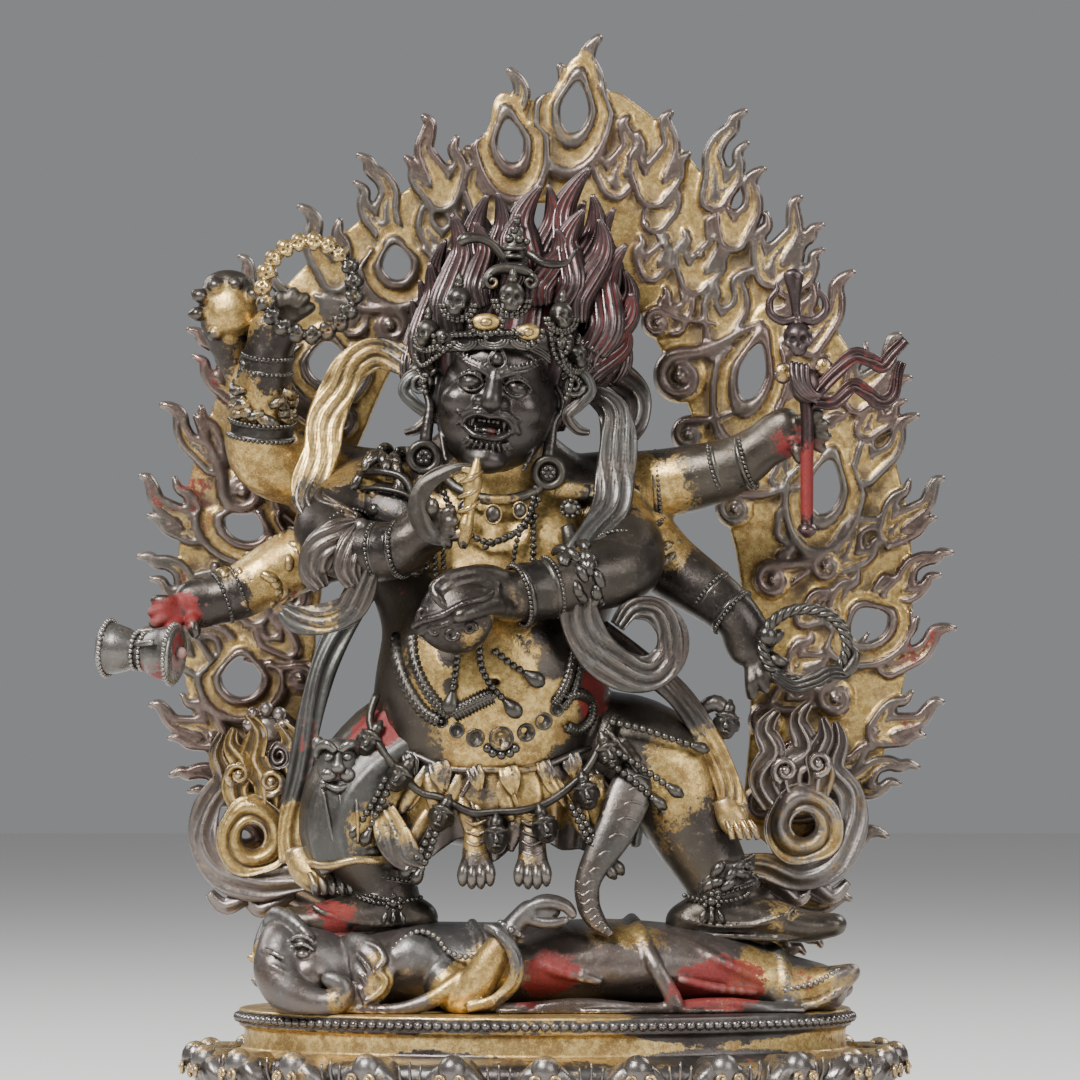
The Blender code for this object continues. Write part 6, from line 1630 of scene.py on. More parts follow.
    # the bud beside it
    heap.loft([(46, -15, 147, 2.0, 2.0), (50.6, -15.6, 149.4, 2.6, 2.4), (53.6, -16, 147.4, 2.2, 2.2)], 0.0, sides=16)
    heap.loft([(53, -22, 121, 3.4, 2.4), (55.4, -23, 115.6, 4.4, 3.2), (57.6, -23, 112.4, 4.0, 2.8)], 0.7, sides=18)
    for k in range(4):
        heap.loft([(54 + 2.2 * k, -25, 114.6, 0.9, 1.1), (55 + 2.4 * k, -26.6, 111.8, 1.1, 1.4),
                   (55.6 + 2.5 * k, -26, 109.4, 0.9, 1.1)],
                  0.7, sides=10)
    made = heap.make("mahakala_scarves")
    gilt = [(-66, -8, 228, 10, 0.9), (-60, -4, 246, 8, 0.45), (-75, -9, 108, 15, 0.9), (-62, -4, 172, 8, 0.3),
            (-66, -30, 176, 9, 0.4), (22, -16, 218, 10, 0.3),
            (50, -20, 130, 15, 0.8), (28, -32, 160, 8, 0.25), (56, -22, 116, 9, 0.8), (-60, -34, 190, 6, 0.15)]
    red = [(-72, -8, 140, 14, 0.32), (-75, -8, 112, 12, 0.2), (20, 4, 240, 7, 0.5)]
    return coloured(made, gilt, red, 0.1, 0.0, 2, 1.0)


def scroll_disc(heap, centre, wide, tall, hole, hand, tag, thick=3.0, turns=1.6):
    """A scarf end rolled up: a flat ring with ribs that wind in to the hole, its edge turned up."""
    turn = np.arange(96) * 2 * math.pi / 96
    rings = []
    for front in (True, False):
        for share in np.linspace(0, 1, 22 if front else 5)[::1 if front else -1]:
            out = hole + (1 - hole) * share
            wind = (turns * share - hand * turn / (2 * math.pi)) * math.pi
            rib = np.abs(np.cos(wind)) ** 0.7 * 1.7 - 0.6 * np.exp(-(np.cos(wind) / 0.16) ** 2)
            edge = 1.0 * math.exp(-((share - 0.95) / 0.06) ** 2) - 1.6 * max(0, share - 0.95) / 0.05
            lip = -1.4 * max(0, 0.06 - share) / 0.06
            rise = (1.2 + rib + edge + lip + 1.4 * math.sin(math.pi * min(1.0,
                    share * 1.1))) if front else -thick + np.zeros(96)
            ruffle = out * (1 + 0.05 * share * np.cos(3 * turn + 0.6) + 0.022 * share * np.cos(5 * turn + 1.3))
            rings.append(np.stack([centre[0] + wide * ruffle * np.sin(turn), centre[1] - rise,
                                   centre[2] + tall * ruffle * np.cos(turn)], 1))
    n, k = len(rings), np.arange(96)
    j = (k + 1) % 96
    heap.add(np.concatenate(rings), np.concatenate(
        [np.stack([i * 96 + k, i * 96 + j, (i + 1) % n * 96 + j, (i + 1) % n * 96 + k], 1) for i in range(n)]), tag)


def build_swirls():
    """The lower scarf: a rolled end and ruffles on each side, joined behind the legs."""
    heap = Heap()
    for cx, cz, wide, tall, side, gilt in ((-88.0, 108.6, 11.4, 12.6, -1, 0.95), (78, 112.0, 12.0, 12.4, 1, 0.72)):
        scroll_disc(heap, (cx, 11.5, cz), wide, tall, 0.3, side, gilt, turns=1.6)
        # broad ribbed bands that come under the roll and up its outer side
        band(heap, [(cx - side * 22, 9, cz - 12, 3.0, 1.8), (cx - side * 12, 10.5, cz - 12.6, 4.4, 2.0),
                    (cx - side * 1, 11, cz - 14.6, 5.2, 2.2),
                    (cx + side * 9, 11, cz - 10.6, 5.4, 2.2), (cx + side * 14.6, 12, cz - 1, 4.8, 2.0),
                    (cx + side * 14.0, 13, cz + 9, 4.2, 1.8),
                    (cx + side * 9, 13, cz + 17, 3.6, 1.6), (cx + side * 11, 13, cz + 25, 2.6, 1.6),
                    (cx + side * 9.4, 13, cz + 31, 1.2, 1.4)],
             2, 0.9, 0.45 * gilt + 0.15, 6)
        # ruffled lobes that flicker up from the roll
        for lobe in ([(-9, 6, 3.4), (-12.4, 14, 4.4), (-9.4, 22, 4.2), (-11.6, 29, 3.2), (-8.0, 34.6, 1.4)],
                     [(-4, 9, 3.6), (-4.4, 17, 4.6), (0.4, 23.4, 4.4), (-1.6, 31.6, 3.0), (1.8, 37, 1.2)],
                     [(4, 9, 3.4), (5.4, 15.4, 4.2), (3.4, 21.6, 3.6), (6.4, 27.6, 2.6), (5.4, 32.6, 1.2)]):
            band(heap, [(cx + side * u, 11.5 - 0.6 * i, cz + v, w, 1.7) for i, (u, v, w) in enumerate(lobe)], 2, 1.0,
                 gilt, 6)
        for u, v, size, hand_ in ((-5.6, 16.6, 4.0, side), (4.2, 18.8, 3.8, -side)):
            heap.loft(spiral_rows((cx + side * u, 8.4, cz + v), size, 1.3, 200, hand_, 1.3, 1.6), gilt, sides=10,
                      per_span=1)
            heap.ball((cx + side * u, 7.8, cz + v), (1.5, 1.3, 1.5), gilt, 6, 10)
        # folded tips below
        for dx, dz, size in ((-6, -21, 4.4), (4, -20, 4.8)):
            band(heap, [(cx + side * (dx - 6), 13, cz + dz + 4, 2.0, 1.5),
                        (cx + side * dx, 12, cz + dz + 1, 2.8, 1.6),
                        (cx + side * (dx + size), 12, cz + dz - 1, 2.6, 1.6),
                        (cx + side * (dx + size * 1.9), 13, cz + dz + 3, 1.6, 1.4)], 1, 0.6,
                 0.5, 6)
    # buds on the hide's flowers at the left
    for k in range(5):
        a = math.radians(-100 + 50 * k)
        heap.ball((-84 + 5.2 * math.sin(a), 9.5, 143 + 4.2 * math.cos(a)), (2.1, 2.1, 2.1), -0.2, 8, 14)
    heap.ball((-84, 11, 141), (4.6, 2.6, 4.2), -0.2, 8, 14)
    scroll_disc(heap, (-80, 9, 133), 3.4, 4.2, 0.2, 1, -0.2)
    band(heap, [(-80, 14, 96, 5, 2.0), (-60, 14, 85, 5, 2.0), (-30, 14, 76, 3, 2.0), (4, 14, 74.5, 3, 2.0),
                (34, 14, 76, 3, 2.0),
                (58, 14, 86, 5, 2.0), (72, 14, 97, 5, 2.0)], 2, 0.6, 0.3)
    for rows in ([(-50, -4, 95, 4, 3.4), (-50, 6, 91, 4.4, 3.4), (-52, 14, 86, 4, 2.4)],
                 [(52, -4, 96, 4, 3.4), (54, 6, 92, 5, 3.6), (55, 14, 88, 4, 2.4)]):
        heap.loft(rows, 0.3, sides=20)
    made = heap.make("mahakala_lower_scarf")
    return coloured(made, [(-88, 8, 108, 8, 0.35), (-92, 8, 132, 12, 0.4), (60, 8, 96, 10, 0.3)],
                    [(-80, 12, 100, 8, 0.3), (-92, 12, 92, 7, 0.35), (86, 12, 96, 8, 0.25)], 0.2, 0.05, 2, 1.0)


def bracelet(heap, cords, centre, along, radius, width, flat=1.0, tag=0.5, points=9, deep=None):
    """A cuff: raised borders, a row of triangles in relief, and beads round both edges."""
    centre, along = np.array(centre, float), unit(np.array(along, float))
    across = unit(np.cross(along, FRONT) if abs(along[1]) < 0.9 else np.cross(along, (0, 0, 1)))
    front = unit(np.cross(across, along))
    deep = deep or radius * flat
    steps = points * 6
    turn = np.arange(steps) * 2 * math.pi / steps
    rings = []
    profile = [(-1.0, -0.8, 0), (-1.0, 0.35, 0), (-0.9, 0.75, 0), (-0.74, 0.75, 0), (-0.66, 0.2, 0), (-0.55, 0.2, 1),
               (-0.3, 0.2, 1),
               (0, 0.2, 1), (0.3, 0.2, 1), (0.55, 0.2, 1), (0.66, 0.2, 0), (0.74, 0.75, 0), (0.9, 0.75, 0),
               (1.0, 0.35, 0), (1.0, -0.8, 0)]
    saw = 2 * np.abs((turn * points / (2 * math.pi)) % 1 - 0.5)
    for share, rise, worked in profile:
        ridge = np.exp(-((share * 0.8 + 0.5 - saw) / 0.13) ** 2) * 0.5 * worked
        out = rise + ridge
        rings.append(centre + along * width * share + np.outer((radius + out) * np.cos(turn), across)
                     + np.outer((deep + out) * np.sin(turn), front))
    heap.add(*shell(rings), tag)
    for share in (-1.08, 1.08):
        ring = [tuple(centre + along * width * share + across * (radius + 0.45) * math.cos(a) + front * (deep + 0.45) * math.sin(a))
                for a in np.arange(13) * 2 * math.pi / 12]
        cords.append(ring)


def crushed(heap, centre, along, radius, length, count, seed, tag):
    """Cloth crushed round a limb: small ridges that cross at all angles."""
    rng = np.random.default_rng(seed)
    centre, along = np.array(centre, float), unit(np.array(along, float))
    across = unit(np.cross(along, FRONT) if abs(along[1]) < 0.9 else np.cross(along, (0, 0, 1)))
    front = unit(np.cross(across, along))
    for _ in range(count):
        a, up, lean = rng.uniform(0, 2 * math.pi), rng.uniform(-1, 1), rng.uniform(-1.3, 1.3)
        rows = []
        for t in (-1, -0.3, 0.4, 1):
            b = a + t * 0.3
            out = radius - rng.uniform(0.0, 0.9) - 0.6 * t * t
            spot = centre + along * (up * length + lean * t * 1.7) + out * (across * math.cos(b) + front * math.sin(b))
            rows.append((*spot, 1.7 - 0.7 * t * t, 1.25 - 0.5 * t * t))
        heap.loft(rows, tag, sides=6, per_span=2)


def build_jewels(material):
    heap, cords = Heap(), []
    for centre, along, radius, width in (
            ((-85, -3.0, 231.5), (0.1, -0.2, 1), 9.4, 2.2), ((-83.2, -5, 251), (0.1, -0.2, 1), 7.2, 2.2),
            ((-94, -10, 181.6), (-1, -0.2, -0.4), 7.0, 2.4), ((-71, -4, 193), (-1, -0.3, -0.4), 9.4, 1.6),
            ((-46, -33.4, 195), (1, -0.5, 0.1), 7.9, 3.6), ((-60.4, -20, 198), (0.6, -0.8, -0.4), 10.0, 1.6),
            ((28.6, 3, 213.6), (1, 0, 0.08), 10.2, 5.0), ((56.2, -3, 220.2), (1, -0.2, 0.3), 7.8, 4.6),
            ((31, 0, 195.2), (0.6, -0.1, -0.8), 9.6, 3.8), ((52.6, -7.4, 179.2), (0.7, -0.2, -0.6), 7.2, 4.2),
            ((21, -19, 192), (0.2, -1, -0.6), 11.2, 2.4), ((-3, -36.8, 182.8), (-1, -0.4, -0.25), 8.6, 5.0),
            ((-47.6, -14, 94.6), (0.2, 0, 1), 9.0, 3.0), ((52, -13, 96.4), (0.3, 0, -1), 9.6, 3.4)):
        bracelet(heap, cords, centre, along, radius, width)
    # shoulder plate with its rivet, ribs and strings of beads
    heap.loft([(-55, -13, 211, 4, 3.4), (-50, -17, 209.6, 6.6, 3.6), (-43, -20, 207, 7.4, 3.8),
               (-37, -21, 204, 6.6, 3.6)], 0.85, sides=28,
              facing=(0.2, -1, 0.3))
    heap.ball((-50.5, -21.0, 206.8), (2.4, 1.8, 2.2), -0.2)
    heap.loft([(-55, -18.6, 213.4, 0.7, 0.7), (-48, -22.4, 213.2, 0.8, 0.8), (-40, -24.6, 210.6, 0.8, 0.8),
               (-38, -25, 203, 0.7, 0.7)], 0.1, sides=10)
    heap.loft([(-55.6, -15, 217.6, 1.1, 1.1), (-49, -19.6, 218.4, 1.2, 1.2), (-41.6, -22.6, 216, 1.2, 1.2),
               (-38.6, -24.6, 208, 1.1, 1.1),
               (-38, -24.8, 200.6, 1.0, 1.0)], 0.5, sides=12)
    heap.ball((7.5, -21.5, 207.3), (3.2, 3.0, 3.0), 0.0, 10, 16)
    for k in range(9):
        heap.ball((7.5 + 2.5 * math.sin(k * 0.7), -24 + 0.2 * (k % 3), 207.3 + 2.4 * math.cos(k * 0.7)), 0.75, 0.0, 5,
                  8)
    heap.loft([(3, -19.4, 213, 2.6, 1.6), (8, -19.8, 212.6, 2.8, 1.6), (13, -18.6, 212, 2.4, 1.6)], 0.9, sides=18)
    heap.loft([(6.4, -21.4, 202, 2.2, 2.0), (7.4, -22.4, 198.6, 2.6, 2.2), (7.6, -23, 195, 2.0, 1.8)], 0.3, sides=16)
    for spec in (((-84.4, -4.4, 238.5), (0.1, -0.2, 1), 9.6, 6.0, 46, 3, 1.2),
                 ((-47, -10, 214.5), (1, -0.3, -0.1), 11.2, 8, 44, 4, 1.1),
                 ((-80, -7, 189), (-1, -0.3, -0.5), 8.8, 6.5, 34, 5, 1.1),
                 ((-92, -9.4, 182.6), (-1, -0.3, -0.4), 7.4, 2.6, 14, 6, 1.0),
                 ((33, -1, 193.4), (0.6, -0.1, -0.8), 9.6, 4.5, 26, 7, 1.0),
                 ((21, -1, 212), (1, 0, 0.1), 10.6, 2.6, 14, 8, 0.8),
                 ((-41, -33, 195.6), (1, -0.4, 0.2), 7.9, 2.4, 14, 9, 0.15),
                 ((9, -32.4, 186.0), (-1, -0.3, -0.2), 10.4, 4.6, 34, 10, 0.0),
                 ((53, -15, 97.2), (0.3, 0, -1), 9.4, 3.4, 26, 11, 0.5),
                 ((-84.8, -4, 249), (0.1, -0.2, 1), 6.8, 4.0, 12, 12, 0.6)):
        crushed(heap, *spec)
    # rosettes with beads and drops on the boots
    for x, y, z, hand_ in ((-45, -23.0, 90.0, -1), (49.5, -23.4, 90.6, 1)):
        heap.ball((x, y, z), (1.5, 1.3, 1.5), 0.3)
        for k in range(6):
            a = k * math.pi / 3
            heap.ball((x + 2.3 * math.sin(a), y + 0.2, z + 2.2 * math.cos(a)), 1.0, 0.2, 5, 8)
        for k in (-1, 0, 1):
            heap.loft([(x + 2.0 * k, y - 0.2, z - 2.6, 0.5, 0.5), (x + 2.8 * k, y - 0.6, z - 4.6, 0.9, 0.9),
                       (x + 3.1 * k, y - 0.4, z - 6.2, 0.5, 0.5)],
                      0.2, sides=10)
        cords.append([(x - hand_ * 8, y + 4.4, z + 1.6), (x - hand_ * 3, y + 0.8, z + 0.4), (x, y - 0.2, z - 0.4)])
        cords.append([(x, y - 0.2, z), (x + hand_ * 5, y - 0.6, z + 0.2), (x + hand_ * 9.6, y - 0.2, z + 1.4),
                      (x + hand_ * 11, y + 2.6, z + 2.4)])
    # ear rings: a thick ring round a rough boss, and the long lobe above
    for x, y, z, size in ((-36.0, -21, 222.6, 4.1), (1.0, -21, 218.0, 4.1)):
        heap.loft([(x + size * math.cos(a), y, z + size * math.sin(a), 1.25, 1.3)
                   for a in np.arange(16) * math.pi / 8], 0.1, sides=14, per_span=3,
                  closed=True)
        heap.ball((x, y + 0.9, z), (3.0, 1.2, 3.0), 0.5, 8, 14)
        for k in range(6):
            heap.ball((x + 1.5 * math.cos(k * 1.05), y - 0.2, z + 1.4 * math.sin(k * 1.05)), (0.9, 0.7, 0.8), 0.7, 5,
                      8)
        heap.loft([(x, y + 3, z + 11, 1.3, 1.3), (x + 0.3, y + 2, z + 4.4, 1.4, 1.4)], 0.0)
    # necklace of plaques, and the snake about the neck
    heap.loft([(-31, -16, 219, 1.4, 1.2), (-27, -21, 214, 1.6, 1.3), (-19, -24, 210.4, 1.7, 1.4),
               (-11, -24.4, 210, 1.7, 1.4),
               (-3, -22, 212.4, 1.6, 1.3), (2, -17, 217.6, 1.4, 1.2)], 0.5, sides=12)
    for x, z, size in ((-23.6, 207.4, 1.9), (-15.4, 205.6, 2.2), (-7.4, 206.8, 1.9)):
        y = -25.8
        heap.ball((x, y, z), (size, 1.0, size * 1.15), 0.2)
        heap.loft([(x + size * 1.1 * math.cos(a), y - 0.2, z + size * 1.3 * math.sin(a), 0.35, 0.4)
                   for a in np.arange(12) * math.pi / 6], 0.8,
                  sides=6, per_span=2, closed=True)
    solid = heap.make("jewel_forms")
    jewels = beads("jewel_beads", cords, 0.75, 1.45, material)
    rope = [[(-3.0, -22, 213.6), (-4.6, -25.4, 206), (-8, -26.6, 199), (-9.6, -26.4, 191)],
            [(-41, -22, 214), (-37.4, -25, 206), (-35.6, -25.6, 198), (-35, -26, 190)],
            [(-38.6, -22.6, 214), (-35, -25.4, 206), (-33, -26, 198), (-32.4, -27, 188)],
            [(-35.8, -23, 213), (-32.6, -25.6, 206), (-30.6, -26.2, 198), (-30, -27, 190)]]
    chains = beads("chains", rope, 0.95, 1.7, material)
    made = joined("mahakala_jewels", [solid, jewels, chains])
    gilt = [(-86, -10, 186, 12, 0.5), (28, 0, 213, 11, 0.5), (31, 0, 195, 9, 0.5), (-12, -26, 206, 10, 0.3),
            (-5, -38, 182, 8, 0.35)]
    return coloured(made, gilt, [(-74, -6, 190, 6, 0.5)], 0.12, 0.0, 1, 0.9)


# ---- plinth

RIM = (91.0, 55.0)
PETALS = 24


def oval(reach, turn):
    """Points at a reach across, round the plinth's oval."""
    return reach * np.sin(turn), -(reach - RIM[0] + RIM[1]) * np.cos(turn)


def petal_form(up):
    """A lotus petal seen from outside: two lobes, a rolled edge and a curl each side of its tip."""
    heap = Heap()
    across = np.linspace(-1, 1, 15)
    rise = 18.0 if up else 15.5
    half = 9.6 if up else 10.4
    flip = 1 if up else -1
    rings = []
    for t in np.linspace(0, 1, 13):
        width = half * (0.72 + 0.3 * math.sin(math.pi * min(1, t * 1.1))) * math.sqrt(max(0.03,
                1 - max(0, (t - 0.55) / 0.47) ** 2))
        out = 1.0 + 9.0 * math.sin(math.pi * 0.5 * min(1, t * 1.25)) ** 1.3 - 3.4 * max(0, (t - 0.8) / 0.2) ** 2
        lobes = 1.5 * np.abs(np.sin(math.pi * across)) ** 0.8 * math.sin(math.pi * min(1, t * 1.02)) ** 0.6
        edge = 0.9 * np.exp(-((np.abs(across) - 0.9) / 0.08) ** 2)
        ridge = 0.6 * np.exp(-(across / 0.09) ** 2)
        bulge = out - 2.2 * across ** 2 + lobes + edge + ridge
        front = np.stack([across * width, -bulge, np.full(15, flip * t * rise)], 1)
        back = np.stack([across[::-1] * width * 0.96, np.full(15, 1.5), np.full(15, flip * t * rise)], 1)
        rings.append(np.concatenate([front, back]))
    heap.add(*shell(rings), 0.0)
    if up:
        heap.ball((0, -8.2, rise * 0.8), (4.6, 4.4, 5.0), -0.4, 8, 16)
    for side in (-1, 1):
        heap.loft(spiral_rows((side * 2.7, -12.2, flip * rise * 0.66), 1.9, 1.1, 180, -side * flip, 0.75), 0.9,
                  sides=6, per_span=1)
        heap.ball((side * 2.7, -12.8, flip * rise * 0.66), (0.8, 0.8, 0.8), 1.0, 4, 6)
    return heap.make("petal")


def petal_tree():
    """Geometry Nodes: one petal set at each point that comes in, turned by the point's own angle."""
    tree = bpy.data.node_groups.new("petals_round_an_oval", "GeometryNodeTree")
    tree.interface.new_socket("Places", in_out="INPUT", socket_type="NodeSocketGeometry")
    tree.interface.new_socket("Petal", in_out="INPUT", socket_type="NodeSocketObject")
    tree.interface.new_socket("Petal size", in_out="INPUT", socket_type="NodeSocketFloat").default_value = 1.0
    tree.interface.new_socket("Finish", in_out="INPUT", socket_type="NodeSocketMaterial")
    tree.interface.new_socket("Petals", in_out="OUTPUT", socket_type="NodeSocketGeometry")
    nodes, links = tree.nodes, tree.links
    enter, leave = nodes.new("NodeGroupInput"), nodes.new("NodeGroupOutput")
    to_points = nodes.new("GeometryNodeMeshToPoints")
    links.new(enter.outputs["Places"], to_points.inputs["Mesh"])
    petal = nodes.new("GeometryNodeObjectInfo")
    petal.inputs["As Instance"].default_value = True
    links.new(enter.outputs["Petal"], petal.inputs["Object"])
    turn = nodes.new("GeometryNodeInputNamedAttribute")
    turn.data_type = "FLOAT"
    turn.inputs["Name"].default_value = "turn"
    spin = nodes.new("ShaderNodeCombineXYZ")
    links.new(turn.outputs["Attribute"], spin.inputs["Z"])
    sow = nodes.new("GeometryNodeInstanceOnPoints")
    links.new(to_points.outputs["Points"], sow.inputs["Points"])
    links.new(petal.outputs["Geometry"], sow.inputs["Instance"])
    links.new(spin.outputs["Vector"], sow.inputs["Rotation"])
    links.new(enter.outputs["Petal size"], sow.inputs["Scale"])
    real = nodes.new("GeometryNodeRealizeInstances")
    links.new(sow.outputs["Instances"], real.inputs["Geometry"])
    finish = nodes.new("GeometryNodeSetMaterial")
    links.new(real.outputs["Geometry"], finish.inputs["Geometry"])
    links.new(enter.outputs["Finish"], finish.inputs["Material"])
    links.new(finish.outputs["Geometry"], leave.inputs["Petals"])
    return tree


def petals(name, form, reach, height, offset, size, material):
    turn = (np.arange(PETALS) + offset) * 2 * math.pi / PETALS
    x, y = oval(reach, turn)
    data = bpy.data.meshes.new(name)
    data.from_pydata((np.stack([x, y, np.full(PETALS, height)], 1) * MM).tolist(), [], [])
    made = bpy.data.objects.new(name, data)
    SCENE.collection.objects.link(made)
    normal = np.arctan2(np.sin(turn) / RIM[0] * (RIM[0] + 10), np.cos(turn) / RIM[1] * (RIM[1] + 10))
    attribute(made, "turn", normal)
    tree = bpy.data.node_groups.get("petals_round_an_oval") or petal_tree()
    step = made.modifiers.new("petals", "NODES")
    step.node_group = tree
    inputs = {item.name: item.identifier for item in tree.interface.items_tree if item.in_out == "INPUT"}
    step[inputs["Petal"]] = form
    step[inputs["Petal size"]] = size
    step[inputs["Finish"]] = material
    return settle(made)


def build_plinth(material):
    profile = smoothed([(0, 103.5), (1.2, 105.5), (4.2, 105.8), (6.4, 103.6), (8, 101.6), (14, 101.0), (22, 97),
                        (26, 92.5), (29, 91.5),
                        (32, 95), (38, 99.5), (43, 98.5), (45.8, 91.6), (47, 90.4), (51.5, 90.2), (52.6, 91.2),
                        (53.2, 91.8),
                        (57.0, 91.8), (57.8, 91.4), (58, 90.4)], 3)
    turn = np.arange(180) * 2 * math.pi / 180
    rings = []
    for z, reach in profile:
        x, y = oval(reach, turn)
        rings.append(np.stack([x, y, np.full(180, min(max(z, 0), 58.0))], 1))
    x, y = oval(86, turn)
    rings.append(np.stack([x, y, np.full(180, 58.0)], 1))
    heap = Heap()
    heap.add(*shell(rings), 0.0)
    # feathery leaves between the petals of the upper row
    for k in range(PETALS):
        a = (k + 0.5) * 2 * math.pi / PETALS
        way = np.array((math.sin(a), -math.cos(a) * (RIM[1] + 8) / RIM[0], 0))
        for j in (-2, -1, 0, 1, 2):
            b = a + j * 0.022
            rows = []
            for t in (0, 0.35, 0.7, 1):
                px, py = oval(97 + 6.5 * math.sin(math.pi * 0.6 * t), np.array(b + j * 0.012 * t))
                rows.append((float(px), float(py), 32 + (13.5 - abs(j) * 1.2) * t, 1.0 * (1.1 - 0.8 * t),
                             1.2 * (1.1 - 0.8 * t)))
            heap.loft(rows, 0.0, sides=6, per_span=2, facing=way)
    body = heap.make("plinth_forms")
    up, down = petal_form(True), petal_form(False)
    pieces = [body, petals("upper_petals", up, 96.5, 28.5, 0.0, 1.0, material),
              petals("lower_petals", down, 96.0, 26.5, 0.5, 0.98, material)]
    bpy.data.objects.remove(up, do_unlink=True)
    bpy.data.objects.remove(down, do_unlink=True)
    for reach, height, radius, pitch in ((92.0, 55.2, 1.55, 2.9), (104.9, 6.6, 1.3, 2.5)):
        x, y = oval(reach, np.arange(61) * 2 * math.pi / 60)
        pieces.append(beads(f"rim_beads_{int(reach)}", [np.stack([x, y, np.full(61, height)], 1)], radius, pitch,
                            material))
    made = joined("lotus_plinth_relief", pieces)
    co = cavity(made, 2, 1.0)[0]
    band_ = np.exp(-((co[:, 2] - 49) / 3.0) ** 2)
    front = co[:, 1] < 0
    worn = np.exp(-((co[:, 0] + 32) / 22) ** 2 - ((co[:, 2] - 47.6) / 2.6) ** 2) * front
    worn += np.exp(-((co[:, 0] - 52) / 26) ** 4) * front * (co[:, 2] > 45)
    rim = (co[:, 2] > 53.3) & (co[:, 2] < 57)
    own = np.zeros(len(co), np.float32)
    made.data.attributes["tag"].data.foreach_get("value", own)
    attribute(made, "gilt", 0.48 + 0.95 * band_ - 0.75 * worn + 0.4 * (co[:, 2] > 57.5) + 0.6 * own
              - 0.4 * rim + 0.5 * rim * np.exp(-((co[:, 0] + 2) / 16) ** 2))
    attribute(made, "red", spots(co, [(88, -16, 44, 12, 0.5), (-92, -14, 42, 10, 0.4), (60, -44, 44, 9, 0.3)]))
    return made


# ---- figure lying on the plinth


